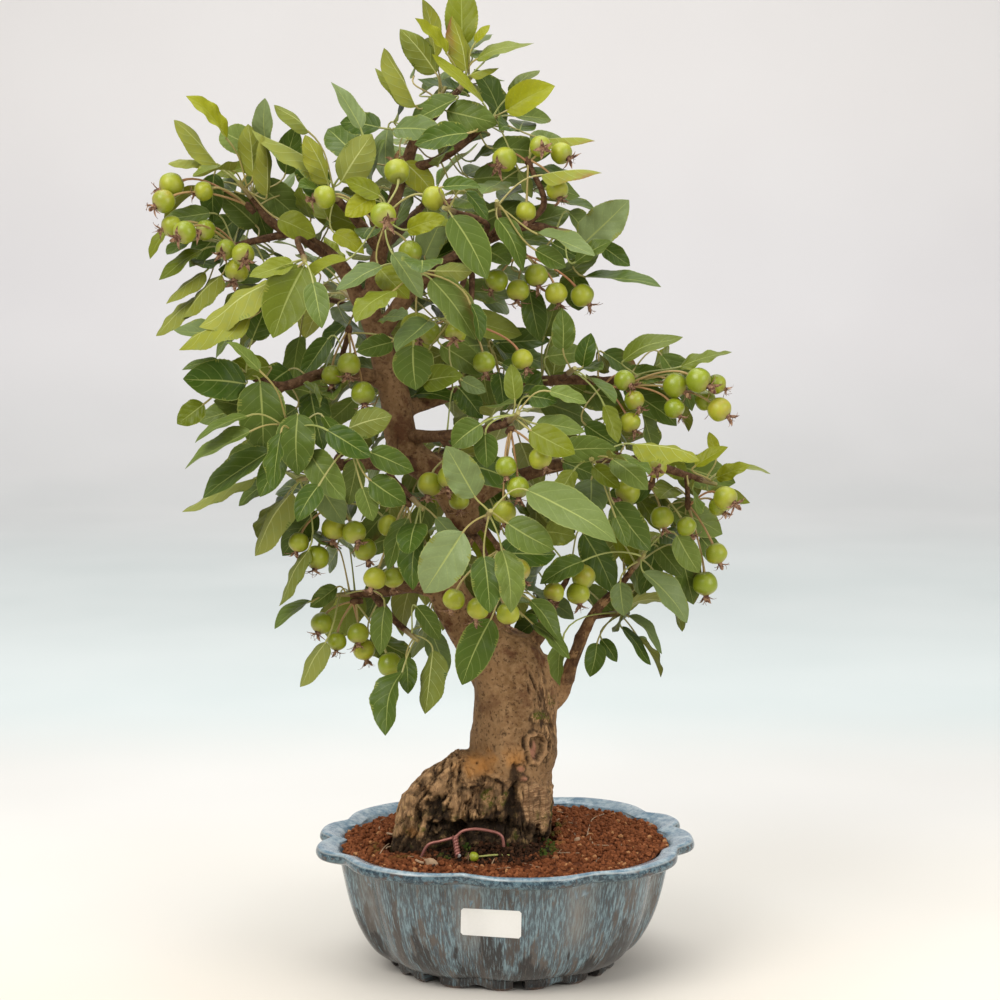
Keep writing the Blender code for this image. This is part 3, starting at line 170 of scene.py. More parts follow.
# Trunk and branches: (px, py, depth, radius).
COLUMN = [
    (500, 862, 2, 33), (502, 842, 2, 33), (506, 820, 2, 30.5), (508, 795, 2, 28.5), (510, 765, 2, 28),
    (512, 735, 3, 29), (514, 705, 4, 28.5), (512, 680, 5, 28), (508, 658, 6, 27), (510, 641, 6, 20),
    (513, 631, 6, 12),
]
TRUNK = [
    (508, 690, 4, 20), (497, 660, 6, 21), (477, 632, 6, 18), (455, 606, 4, 14.2), (444, 580, 2, 13),
    (452, 550, 0, 12.2), (463, 525, -4, 11.6), (456, 500, -8, 11), (436, 475, -10, 10.4),
    (412, 455, -8, 10.6), (400, 430, -4, 10.8), (396, 400, 0, 10.2), (388, 370, 2, 9),
    (378, 340, 0, 8), (369, 312, -3, 7.2), (364, 290, -6, 6.4),
]
ROOTS = [
    [(478, 770, -4, 15), (448, 782, -10, 20), (430, 806, -10, 23), (420, 836, -6, 25), (416, 862, -4, 26)],
    [(520, 760, 2, 14), (537, 790, 0, 13), (541, 820, -4, 12.5), (543, 862, -6, 13)],
    [(486, 790, -10, 12), (478, 822, -15, 13), (474, 862, -17, 14)],
    [(520, 770, 16, 16), (534, 815, 24, 16), (538, 862, 30, 17)],
    [(470, 770, 14, 15), (452, 815, 24, 16), (446, 862, 30, 17)],
]
BRANCHES = {
    "apex": [(369, 316, -2, 6.2), (378, 262, -10, 5.6), (392, 208, -12, 4.8), (406, 165, -12, 4.2),
             (420, 128, -14, 3.6), (437, 101, -15, 2.4)],
    "apex_tip": [(418, 134, -14, 2.8), (438, 112, -20, 2.4), (459, 90, -20, 2.0)],
    "crown_left": [(368, 318, -2, 5.4), (342, 268, -12, 4.8), (308, 240, -20, 4.0), (274, 224, -24, 3.2),
                   (252, 198, -25, 2.2)],
    "left_tip": [(292, 233, -22, 2.8), (258, 240, -22, 2.4), (234, 246, -20, 2.0)],
    "crown_mid": [(381, 252, -10, 3.8), (358, 222, -24, 3.2), (338, 200, -34, 2.4)],
    "crown_right": [(376, 338, 0, 6.0), (408, 296, -8, 5.2), (444, 264, -20, 4.4), (486, 240, -36, 3.6),
                    (526, 226, -38, 3.0), (556, 230, -28, 2.2)],
    "crown_top": [(404, 172, -12, 3.4), (446, 156, -24, 2.8), (484, 126, -30, 2.1)],
    "left_mid": [(390, 384, 2, 6.0), (358, 374, -20, 4.8), (320, 374, -40, 3.8), (284, 386, -55, 3.0),
                 (254, 378, -60, 2.2)],
    "left_low": [(424, 464, -8, 6.0), (385, 464, -32, 4.6), (350, 464, -52, 3.4), (312, 476, -50, 2.4)],
    "right_mid": [(458, 506, -8, 6.6), (500, 484, 8, 5.2), (555, 466, 2, 4.4), (606, 458, -22, 3.6),
                  (656, 466, -30, 2.8), (702, 480, -22, 2.1)],
    "shoulder": [(398, 412, 0, 6.2), (444, 396, 20, 5.0), (502, 386, 8, 4.2), (560, 380, -20, 3.4),
                 (604, 381, -30, 2.8), (628, 378, -28, 2.1)],
    "low_left": [(446, 592, 3, 6.4), (415, 586, -10, 4.8), (380, 592, -18, 3.6), (350, 594, -20, 2.4)],
    "front_low": [(455, 544, -2, 5.4), (470, 532, -50, 3.6), (486, 520, -108, 2.2)],
    "front_mid": [(404, 436, -6, 5.0), (440, 436, -30, 3.8), (480, 430, -70, 2.8), (507, 424, -92, 2.1)],
    "low_right": [(540, 712, 10, 7.4), (560, 696, 8, 6.6), (571, 666, 4, 5.8), (584, 632, 0, 5.0),
                  (598, 608, -4, 4.2), (618, 588, -12, 3.2), (636, 565, -22, 2.2)],
    "second": [(522, 652, 14, 6.0), (540, 634, 10, 4.8), (548, 614, 4, 4.0), (556, 600, -10, 2.8)],
    "back_high": [(388, 378, 4, 6.0), (394, 358, 40, 4.6), (380, 326, 76, 3.2), (352, 300, 92, 2.2)],
    "back_right": [(424, 464, -4, 6.0), (444, 456, 36, 4.6), (474, 436, 70, 3.4), (506, 420, 92, 2.2)],
    "back_low": [(448, 584, 6, 6.0), (442, 566, 42, 4.4), (428, 548, 78, 2.4)],
    "back_crown": [(384, 244, -8, 4.0), (402, 228, 32, 3.4), (424, 204, 74, 2.2)],
    "left_down": [(372, 592, -18, 2.8), (392, 618, -34, 2.4), (408, 632, -42, 2.0)],
}

# Spurs that a spray of leaves grows from: (px, py, depth), then how many leaves grow there by rule.
SPURS = {
    "apex_left": ((436, 95, -15), 1),
    "apex_top": ((462, 84, -20), 1),
    "apex_right": ((488, 119, -30), 1),
    "crown_left": ((252, 198, -25), 2),
    "crown_mid": ((336, 196, -37), 0),
    "left_tips": ((228, 248, -20), 1),
    "left_front": ((304, 258, -82), 1),
    "left_mid": ((247, 372, -62), 0),
    "left_low": ((285, 420, -72), 0),
    "left_bottom": ((305, 480, -48), 1),
    "mid_left": ((346, 450, -84), 0),
    "low_left": ((345, 595, -22), 1),
    "low_under": ((411, 636, -44), 1),
    "low_inner": ((414, 500, -52), 2),
    "front_low": ((488, 516, -116), 0),
    "front_bottom": ((500, 592, -66), 2),
    "front_mid": ((511, 420, -98), 0),
    "trunk_front": ((452, 314, -64), 1),
    "crown_front": ((380, 218, -78), 0),
    "crown_fore": ((452, 211, -84), 0),
    "crown_right": ((498, 212, -56), 0),
    "right_tips": ((556, 238, -28), 0),
    "heart": ((427, 270, -84), 2),
    "shoulder": ((570, 372, -38), 1),
    "right_upper": ((628, 378, -28), 1),
    "right_mid": ((600, 458, -62), 1),
    "right_tip": ((708, 478, -20), 1),
    "right_low": ((640, 560, -26), 1),
    "low_right": ((612, 614, 2), 1),
    "back_crown": ((424, 202, 80), 8),
    "back_high": ((350, 298, 96), 8),
    "back_right": ((508, 418, 96), 8),
    "back_low": ((426, 546, 84), 7),
    "back_left": ((300, 300, 40), 6),
}

# Leaves seen in the photo: blade base px, py, tip px, py, and width in px.
SEEN_LEAVES = [
    # around the spur apex_left
    (436, 73, 400, 29, 26), (447, 54, 415, 18, 14), (416, 107, 384, 48, 18), (410, 104, 375, 68, 12),
    # around the spur apex_top
    (466, 71, 452, 16, 20), (477, 59, 534, 43, 17), (475, 43, 490, 25, 9), (470, 75, 499, 68, 10),
    # around the spur apex_right
    (484, 104, 432, 54, 12), (506, 111, 555, 86, 30), (547, 139, 595, 141, 14),
    # around the spur crown_left
    (227, 139, 186, 96, 16), (220, 168, 174, 120, 18), (206, 162, 168, 164, 12),
    (266, 143, 265, 98, 18), (253, 177, 248, 124, 28), (267, 196, 262, 135, 13),
    # around the spur crown_mid
    (309, 132, 274, 105, 15), (361, 129, 331, 82, 16), (331, 182, 252, 130, 17),
    (341, 182, 372, 134, 34), (328, 184, 305, 135, 22), (278, 219, 316, 236, 25),
    # around the spur left_tips
    (170, 228, 150, 259, 12), (202, 250, 159, 280, 16), (205, 272, 166, 304, 16),
    (198, 297, 156, 336, 18), (222, 275, 182, 318, 20),
    # around the spur left_front
    (274, 280, 199, 327, 30), (304, 266, 273, 338, 45), (347, 260, 286, 292, 17),
    (293, 262, 249, 277, 20), (250, 318, 179, 350, 22),
    # around the spur left_mid
    (220, 362, 182, 370, 12), (246, 384, 183, 379, 38), (260, 381, 263, 453, 47),
    (260, 371, 226, 342, 11), (204, 404, 177, 424, 22), (252, 340, 268, 300, 28),
    # around the spur left_low
    (298, 414, 298, 475, 36), (251, 431, 185, 469, 17), (247, 416, 195, 443, 11),
    (271, 451, 203, 498, 28), (281, 454, 260, 497, 25), (281, 432, 274, 490, 16),
    # around the spur left_bottom
    (255, 478, 182, 512, 12), (292, 492, 255, 556, 26), (319, 485, 297, 522, 22),
    (316, 481, 344, 524, 28),
    # around the spur mid_left
    (309, 452, 345, 500, 30), (323, 416, 341, 457, 12), (327, 430, 371, 457, 25),
    (349, 428, 392, 416, 28), (370, 452, 414, 471, 24), (370, 480, 406, 504, 27),
    (362, 487, 373, 521, 20),
    # around the spur low_left
    (337, 587, 310, 607, 18), (326, 642, 300, 687, 20), (309, 550, 279, 606, 13),
    # around the spur low_under
    (433, 650, 425, 714, 22), (406, 657, 408, 694, 20), (385, 606, 380, 655, 20),
    (416, 606, 440, 640, 18),
    # around the spur low_inner
    (408, 518, 388, 570, 19), (420, 530, 413, 590, 25),
    # around the spur front_low
    (463, 532, 424, 593, 47), (475, 497, 446, 446, 33), (527, 490, 617, 543, 39),
    (507, 523, 554, 550, 32), (484, 556, 490, 613, 30), (502, 550, 511, 613, 27),
    # around the spur front_bottom
    (491, 619, 462, 685, 34), (530, 600, 560, 640, 18),
    # around the spur front_mid
    (515, 400, 511, 364, 18), (528, 396, 557, 402, 22), (536, 424, 585, 432, 20),
    (485, 433, 487, 468, 22), (481, 424, 452, 447, 28), (530, 430, 575, 454, 28),
    # around the spur trunk_front
    (413, 345, 416, 390, 38), (422, 382, 463, 376, 25), (461, 380, 486, 392, 15),
    (416, 312, 417, 358, 30),
    # around the spur crown_front
    (334, 233, 364, 254, 18), (382, 266, 336, 290, 19), (380, 269, 409, 299, 26),
    (392, 253, 422, 299, 22), (374, 197, 345, 216, 22), (380, 196, 345, 180, 18),
    (404, 162, 434, 193, 25),
    # around the spur crown_fore
    (442, 187, 481, 188, 16), (452, 216, 487, 279, 33), (465, 191, 488, 220, 14),
    (460, 226, 408, 236, 12), (434, 271, 472, 272, 22), (407, 230, 445, 217, 20),
    # around the spur crown_right
    (497, 218, 523, 272, 20), (519, 171, 532, 198, 11), (537, 234, 595, 256, 19),
    (535, 250, 566, 267, 20),
    # around the spur right_tips
    (581, 246, 629, 200, 36), (602, 246, 630, 266, 18), (584, 277, 661, 287, 15),
    (541, 175, 602, 173, 15), (552, 243, 580, 258, 18), (575, 263, 612, 241, 17),
    # around the spur heart
    (431, 279, 476, 340, 32), (470, 303, 480, 342, 12), (481, 323, 524, 340, 27),
    (529, 289, 540, 341, 24),
    # around the spur shoulder
    (563, 350, 562, 308, 22), (583, 367, 591, 333, 20), (585, 392, 552, 375, 22),
    (549, 391, 587, 403, 16),
    # around the spur right_upper
    (623, 361, 683, 337, 19), (680, 367, 732, 352, 13), (604, 405, 618, 443, 17),
    # around the spur right_mid
    (633, 444, 700, 461, 22), (593, 466, 620, 489, 18), (612, 459, 648, 490, 25),
    (615, 516, 627, 547, 15), (574, 470, 556, 508, 18),
    # around the spur right_tip
    (716, 455, 709, 432, 11), (716, 478, 751, 465, 15), (709, 492, 750, 503, 13),
    (695, 466, 728, 447, 14),
    # around the spur right_low
    (677, 535, 699, 573, 24), (643, 572, 687, 623, 24), (620, 582, 624, 616, 22),
    (583, 561, 540, 584, 22),
    # around the spur low_right
    (628, 616, 662, 654, 10), (621, 627, 651, 665, 10), (597, 643, 590, 677, 20),
    (601, 639, 617, 662, 13), (562, 642, 560, 686, 14),
]

# Fruit bunches: spur (px, py, depth) or the spray whose twig they share, then where each fruit is
# in the photo.
BUNCHES = {
    "left_high": ("crown_left", [(172, 185), (164, 201), (204, 191)]),
    "left_under": ("left_tips", [(172, 226), (185, 232), (206, 230), (226, 249), (243, 254), (237, 270)]),
    "crown": ("crown_front", [(325, 197), (397, 172), (383, 215), (410, 252), (433, 198)]),
    "right_high": ((530, 166, -40), [(505, 159), (540, 146), (561, 153), (557, 189), (526, 211)]),
    "right_cluster": ((520, 252, -34), [(497, 280), (518, 290), (536, 275), (556, 293), (582, 295)]),
    "heart": ((470, 318, -56), [(429, 332), (456, 332), (484, 362), (522, 359)]),
    "left_inner": ((348, 334, -44), [(349, 364), (332, 375), (363, 393)]),
    "shoulder": ((604, 384, -34), [(624, 380), (634, 400), (630, 422)]),
    "right_far": ("right_upper", [(675, 385), (674, 408), (698, 380), (716, 384), (705, 400), (719, 409)]),
    "front_mid": ("front_mid", [(506, 466), (540, 458), (518, 487), (504, 511)]),
    "front_low": ((497, 545, -88), [(518, 570), (454, 599), (478, 608), (508, 613)]),
    "trunk_side": ((452, 452, -34), [(430, 484), (450, 477), (459, 500)]),
    "right_mid": ((652, 482, -24), [(628, 492), (662, 517), (686, 526), (656, 467)]),
    "right_tip": ((688, 502, -14), [(718, 506), (725, 498), (716, 553), (705, 583)]),
    "low_mid": ((570, 572, -30), [(554, 592), (578, 593), (584, 577), (553, 644)]),
    "left_low": ((336, 500, -40), [(334, 528), (354, 532), (388, 525), (365, 549), (299, 542), (317, 557)]),
    "inner_low": ("low_inner", [(375, 578), (393, 577), (417, 568)]),
    "bottom_left": ("low_left", [(322, 623), (337, 641), (358, 633), (364, 649), (390, 664)]),
}

# Finer forms that only the looks have.
# (share of a blade's length, share of its full width)
LEAF_OUTLINE = [(0, 0.05), (0.03, 0.34), (0.09, 0.66), (0.19, 0.9), (0.33, 1.0), (0.5, 0.99), (0.66, 0.87),
                (0.79, 0.66), (0.89, 0.41), (0.955, 0.19), (1, 0.015)]
LEAF_STATIONS = 30
FILL_STATIONS = 20
LEAF_ACROSS = np.array([-1, -0.7, -0.35, 0, 0.35, 0.7, 1])
TOOTH = 0.012
BLADE_THICK = 0.34
SEEN_GAIN = 1.13
STALK_RADII = (0.85, 0.62, 0.55, 0.55, 0.6, 0.7)
STALK_STATIONS = 9
SHOOT_RADII = (2.2, 1.35)
SHOOT_SUNK = 2.5
# The side veins of a blade: how many, how far they lean forward, how that grows outward, how deep.
VEIN_COUNT = 5.4
VEIN_LEAN = 0.3
VEIN_CURVE = 1.25
VEIN_DEPTH = 0.006
# (height along a fruit's axis, width) in shares of its radius, from the stem to the calyx
FRUIT_PROFILE = [(-0.8, 0.02), (-0.85, 0.14), (-0.9, 0.28), (-0.86, 0.48), (-0.68, 0.72), (-0.38, 0.93),
                 (-0.02, 1.02), (0.32, 1.01), (0.6, 0.88), (0.8, 0.66), (0.92, 0.45), (0.98, 0.33)]
FRUIT_ROUND = 18
FRUIT_TRIM = 0.96
FRUIT_LOBES = 5
# How far the middle and end rings of a packed fruit stand from its centre, in shares of its radius.
FRUIT_RINGS = (1.063, 1.176)
RING_SLACK = 0.03
RING_POINTS = 4
TIP_SLACK = 0.05
# A direction that no path runs along, to start the rings of a rod from.
ODD_WAY = (0.31, 0.53, 0.79)


def from_photo(px, py, depth):
    """The point at this depth that the photo shows at (px, py)."""
    ahead = Vector((0, math.cos(PITCH), -math.sin(PITCH)))
    above = Vector((0, math.sin(PITCH), math.cos(PITCH)))
    ray = ahead + Vector((1, 0, 0)) * ((px - CENTRE_PX) / FOCAL_PX) + above * ((CENTRE_PX - py) / FOCAL_PX)
    return EYE + ray * ((depth - EYE.y) / ray.y)


def to_photo(points):
    """Where the photo shows some points (rows of an array), as two arrays of pixels."""
    away = np.asarray(points, float) - np.array(EYE)
    ahead = away @ np.array([0, math.cos(PITCH), -math.sin(PITCH)])
    above = away @ np.array([0, math.sin(PITCH), math.cos(PITCH)])
    return CENTRE_PX + FOCAL_PX * away[:, 0] / ahead, CENTRE_PX - FOCAL_PX * above / ahead


def turned(x, y):
    """A place on the pot's own axes, turned with the pot."""
    cos, sin = math.cos(POT_TURN), math.sin(POT_TURN)
    return POT_MIDDLE + Vector((x * cos - y * sin, x * sin + y * cos, 0))


def rim_point(step):
    """A point on the rim outline; whole steps are the outline's corners."""
    lobe = int(step // STEPS_PER_LOBE) % len(RIM_NOTCHES)
    part = step / STEPS_PER_LOBE - step // STEPS_PER_LOBE
    first = Vector(RIM_NOTCHES[lobe])
    second = Vector(RIM_NOTCHES[(lobe + 1) % len(RIM_NOTCHES)])
    outward = Vector((second.y - first.y, first.x - second.x)).normalized()
    bulge = LOBE_BULGE[lobe] * (1 - abs(2 * part - 1) ** LOBE_POWER)
    return first.lerp(second, part) + outward * bulge


def pot_point(step, share, height, plain):
    """A point of a pot loop: the rim outline made smaller and partly rounded to an ellipse."""
    rim = rim_point(step)
    angle = math.atan2(rim.y / RIM_HALF_DEPTH, rim.x / RIM_HALF_WIDTH)
    oval = Vector((math.cos(angle) * PLAIN_HALF_WIDTH, math.sin(angle) * PLAIN_HALF_DEPTH))
    flat = rim.lerp(oval, plain) * share
    return turned(flat.x, flat.y) + Vector((0, 0, height))


def soil_height(x, y):
    """The mounded top of the soil, with a few low ripples."""
    away = math.hypot((x - SOIL_PEAK[0]) / SOIL_REACH[0], (y - SOIL_PEAK[1]) / SOIL_REACH[1])
    away = min(1.0, away)
    ripple = sum(high * math.sin(x * across + y * along) for high, across, along in SOIL_RIPPLES)
    return SOIL_EDGE_TOP + SOIL_MOUND * (1 - away ** SOIL_FALL) + ripple * (1 - away)


def on_soil(px, py, lift=0.0):
    """Where the photo's ray meets the soil, raised a little."""
    depth = RAY_START
    point = from_photo(px, py, depth)
    while depth < RAY_STOP and point.z > soil_height(point.x, point.y):
        depth += RAY_STEP
        point = from_photo(px, py, depth)
    return point + Vector((0, 0, lift))


def packed_shift():
    """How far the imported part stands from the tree's own axes, told by the pot's widest outline."""
    outline = [pot_point(s, *POT_OUTER[POT_WIDEST]) for s in range(STEPS_PER_LOBE * len(RIM_NOTCHES))]
    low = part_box("pot")[0] / MM
    return np.array([low.x - min(p.x for p in outline), low.y - min(p.y for p in outline), 0.0])


SHIFT = packed_shift()


def vertex_rows(mesh, kind="co"):
    """The places of a mesh's vertices, or their normals, as rows of an array."""
    rows = np.zeros(len(mesh.vertices) * 3)
    mesh.vertices.foreach_get(kind, rows)
    return rows.reshape(-1, 3)


def search_tree(points, faces):
    """A search tree of some faces."""
    return BVHTree.FromPolygons([tuple(p) for p in points], [tuple(map(int, f)) for f in faces])


def packed_points(name):
    """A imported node's vertices on the tree's own axes."""
    return vertex_rows(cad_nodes[name].data) / MM - SHIFT


def packed_tree(name):
    """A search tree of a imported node's faces, on the tree's own axes."""
    return search_tree(packed_points(name), [p.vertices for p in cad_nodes[name].data.polygons])


def unit(v):
    """The vector at length one."""
    return v / max(np.linalg.norm(v), 1e-9)


def name_draw(name, times, first):
    """Random draws of its own for each name."""
    return random.Random(SEED * times + sum(ord(c) * (i + first) for i, c in enumerate(name)))


def smooth(low, high, value):
    """0 below low, 1 above high, and a soft step in between."""
    t = np.clip((value - low) / (high - low), 0, 1)
    return t * t * (3 - 2 * t)


def band(value, low, full, fade, end):
    """1 between full and fade, 0 below low and above end, with soft steps in between."""
    return smooth(low, full, value) * (1 - smooth(fade, end, value))


def catmull(rows, steps):
    """Rows on the smooth curve through some rows, with this many steps between each two."""
    rows = np.asarray(rows, float)
    full = np.vstack([2 * rows[0] - rows[1], rows, 2 * rows[-1] - rows[-2]])
    out = []
    for k in range(1, len(full) - 2):
        a, b, c, d = full[k - 1:k + 3]
        for t in np.arange(steps) / steps:
            out.append(0.5 * (2 * b + (c - a) * t + (2 * a - 5 * b + 4 * c - d) * t * t
                              + (3 * b - a - 3 * c + d) * t ** 3))
    out.append(rows[-1])
    return np.array(out)


def bezier(a, b, c, d, count):
    """Points on a curve from a to d that leaves towards b and arrives from c."""
    t = np.linspace(0, 1, count)[:, None]
    a, b, c, d = (np.asarray(p, float) for p in (a, b, c, d))
    return (1 - t) ** 3 * a + 3 * (1 - t) ** 2 * t * b + 3 * (1 - t) * t * t * c + t ** 3 * d


def rings(path, radii, sides, bulge=None):
    """Rings of points round a path, as an array of ring, side and place."""
    path = np.asarray(path, float)
    ahead = np.gradient(path, axis=0)
    ahead /= np.linalg.norm(ahead, axis=1)[:, None]
    side = unit(np.cross(ahead[0], ODD_WAY))
    angles = np.arange(sides) * 2 * math.pi / sides
    loops = []
    for step, point in enumerate(path):
        side = unit(side - ahead[step] * side.dot(ahead[step]))
        across = np.cross(ahead[step], side)
        reach = radii[step] * (np.ones(sides) if bulge is None else bulge(step, angles))
        sideways = np.outer(np.cos(angles) * reach, side)
        loops.append(point + sideways + np.outer(np.sin(angles) * reach, across))
    return np.array(loops)


def grid_quads(rows, columns, closed):
    """Faces of a grid of vertices numbered row by row; closed joins the last column to the first."""
    r, c = np.meshgrid(np.arange(rows - 1), np.arange(columns if closed else columns - 1), indexing="ij")
    r, c = r.ravel(), c.ravel()
    n = (c + 1) % columns
    return np.stack([r * columns + c, r * columns + n, (r + 1) * columns + n, (r + 1) * columns + c], axis=1)


class Shape:
    """The vertices, faces and painted values of one piece, gathered before its mesh is made."""

    def __init__(self):
        self.verts = []
        self.faces = []
        self.slots = []
        self.paints = []
        self.count = 0

    def add(self, verts, faces, slot=0, **paints):
        """Take vertices and blocks of faces in one material slot; paints hold a value for each vertex."""
        verts = np.asarray(verts, float).reshape(-1, 3)
        for block in faces:
            self.faces += (np.asarray(block) + self.count).tolist()
            self.slots += [slot] * len(block)
        self.verts.append(verts)
        self.paints.append((self.count, len(verts), paints))
        self.count += len(verts)

    def paint_last(self, slot, first, count):
        """Give some faces another material slot."""
        self.slots[first:first + count] = [slot] * count

    def make(self, name, materials, slot, replaces=(), sharp=52):
        """The piece itself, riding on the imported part."""
        mesh = bpy.data.meshes.new(name)
        mesh.from_pydata(((np.vstack(self.verts) + SHIFT) * MM).tolist(), [], self.faces)
        mesh.polygons.foreach_set("material_index", self.slots)
        for paint in sorted({key for entry in self.paints for key in entry[2]}):
            values = np.zeros(self.count, np.float32)
            for start, count, paints in self.paints:
                if paint in paints:
                    values[start:start + count] = paints[paint]
            mesh.attributes.new(paint, "FLOAT", "POINT").data.foreach_set("value", values)
        finish_piece(name, mesh, materials, replaces, sharp)


def face_outward(mesh):
    """Turn the faces of a closed mesh outward."""
    work = bmesh.new()
    work.from_mesh(mesh)
    bmesh.ops.recalc_face_normals(work, faces=work.faces)
    work.to_mesh(mesh)
    work.free()


def put(name, data):
    """A new object in the scene."""
    thing = bpy.data.objects.new(name, data)
    bpy.context.scene.collection.objects.link(thing)
    return thing


def worked_mesh(thing):
    """A new mesh of an object with its modifiers worked in."""
    bpy.context.view_layer.update()
    graph = bpy.context.evaluated_depsgraph_get()
    return bpy.data.meshes.new_from_object(thing.evaluated_get(graph))


def finish_piece(name, mesh, materials, replaces=(), sharp=52):
    """Face a mesh outward, smooth it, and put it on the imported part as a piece."""
    face_outward(mesh)
    mesh.shade_smooth()
    mesh.set_sharp_from_angle(angle=math.radians(sharp))
    for material in materials:
        mesh.materials.append(material)
    thing = put(name, mesh)
    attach(thing, "root")
    if replaces:
        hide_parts(*replaces)


def rod(shape, path, radii, sides=8, slot=0, bulge=None, **paints):
    """A closed round rod along a path; a paint may be one value or one for each ring."""
    path = np.asarray(path, float)
    radii = np.broadcast_to(np.asarray(radii, float), (len(path),))
    loops = rings(path, radii, sides, bulge)
    count = loops.shape[0] * sides
    last = count - sides
    k = np.arange(sides)
    n = (k + 1) % sides
    caps = [np.stack([n, k, np.full(sides, count)], axis=1),
            np.stack([last + k, last + n, np.full(sides, count + 1)], axis=1)]
    verts = np.vstack([loops.reshape(-1, 3), path[:1], path[-1:]])
    full = {}
    for key, value in paints.items():
        if np.ndim(value):
            value = np.concatenate([np.repeat(value, sides), [value[0], value[-1]]])
        full[key] = value
    shape.add(verts, [grid_quads(len(path), sides, True)] + caps, slot, **full)


# Materials.

class Finish:
    """A material being made: short calls add nodes and give back their outputs."""

    def __init__(self, name, roughness, **sockets):
        self.material = bpy.data.materials.new(name)
        self.material.use_nodes = True
        self.tree = self.material.node_tree
        self.shader = self.tree.nodes["Principled BSDF"]
        self.shader.inputs["Roughness"].default_value = roughness
        for socket, value in sockets.items():
            self.shader.inputs[socket.replace("_", " ")].default_value = value

    def add(self, kind, inputs, **settings):
        node = self.tree.nodes.new("ShaderNode" + kind)
        for key, value in settings.items():
            setattr(node, key, value)
        for key, value in inputs.items():
            if isinstance(value, bpy.types.NodeSocket):
                self.tree.links.new(value, node.inputs[key])
            else:
                node.inputs[key].default_value = value
        return node

    def paint(self, name):
        return self.add("Attribute", {}, attribute_name=name).outputs["Fac"]

    def place(self, x=1.0, y=1.0, z=1.0):
        """The place on the part in metres, stretched."""
        spot = self.add("TexCoord", {}).outputs["Object"]
        return self.add("Mapping", {"Vector": spot, "Scale": (x, y, z)}).outputs["Vector"]

    def around(self, fall):
        """The place round the pot and down its wall: streaks of it run down, longer for a smaller fall."""
        drop = self.times(self.height(), fall)
        inputs = {"X": self.paint("east"), "Y": self.paint("north"), "Z": drop}
        return self.add("CombineXYZ", inputs).outputs["Vector"]

    def height(self):
        spot = self.add("TexCoord", {}).outputs["Object"]
        return self.add("SeparateXYZ", {"Vector": spot}).outputs["Z"]

    def maths(self, operation, a, b=0.0):
        return self.add("Math", {0: a, 1: b}, operation=operation).outputs[0]

    def times(self, first, *others):
        """The product of some values."""
        for other in others:
            first = self.maths("MULTIPLY", first, other)
        return first

    def plus(self, a, b):
        return self.maths("ADD", a, b)

    def minus(self, a, b):
        return self.maths("SUBTRACT", a, b)

    def step(self, value, low, high, start=0.0, end=1.0):
        """A soft step of a value between low and high."""
        node = self.add("MapRange", {"Value": value, "From Min": low, "From Max": high, "To Min": start,
                                     "To Max": end}, interpolation_type="SMOOTHSTEP")
        return node.outputs["Result"]

    def noise(self, place, scale, detail=3.0, roughness=0.55, distortion=0.0):
        node = self.add("TexNoise", {"Vector": place, "Scale": scale, "Detail": detail,
                                     "Roughness": roughness, "Distortion": distortion})
        return node.outputs["Fac"]

    def cells(self, place, scale):
        return self.add("TexVoronoi", {"Vector": place, "Scale": scale}).outputs["Distance"]

    def mix(self, share, first, second):
        """A share of the second colour laid over the first."""
        inputs = {0: share, 6: self.colour(first), 7: self.colour(second)}
        return self.add("Mix", inputs, data_type="RGBA").outputs[2]

    def colour(self, value):
        return value if isinstance(value, bpy.types.NodeSocket) else (*value, 1.0)

    def bump(self, height, distance, strength, normal=None):
        node = self.add("Bump", {"Height": height, "Distance": distance, "Strength": strength})
        if normal is not None:
            self.tree.links.new(normal, node.inputs["Normal"])
        return node.outputs["Normal"]

    def done(self, colour, normal=None, roughness=None):
        self.tree.links.new(colour, self.shader.inputs["Base Color"])
        if normal is not None:
            self.tree.links.new(normal, self.shader.inputs["Normal"])
        if roughness is not None:
            self.tree.links.new(roughness, self.shader.inputs["Roughness"])
        return self.material


def leaf_veins(finish):
    """How strongly midrib, side veins and edge line show at a place on a blade."""
    along = finish.paint("along")
    across = finish.paint("across")
    off = finish.maths("ABSOLUTE", across)
    rib_width = finish.step(along, 0.0, 1.0, 0.075, 0.03)
    rib = finish.step(finish.maths("DIVIDE", off, rib_width), 1.0, 0.35)
    slant = finish.times(finish.maths("POWER", off, VEIN_CURVE), VEIN_LEAN)
    other = finish.times(finish.maths("GREATER_THAN", across, 0.0), 0.45)
    phase = finish.times(finish.minus(along, slant), VEIN_COUNT)
    phase = finish.plus(finish.plus(phase, other), 10.0)
    line = finish.maths("ABSOLUTE", finish.minus(finish.maths("FRACT", phase), 0.5))
    side = finish.step(line, 0.06, 0.012)
    side = finish.times(side, finish.step(off, 1.0, 0.7))
    swell = finish.step(line, 0.0, 0.5)
    edge = finish.step(off, 0.93, 0.985)
    return rib, side, swell, edge


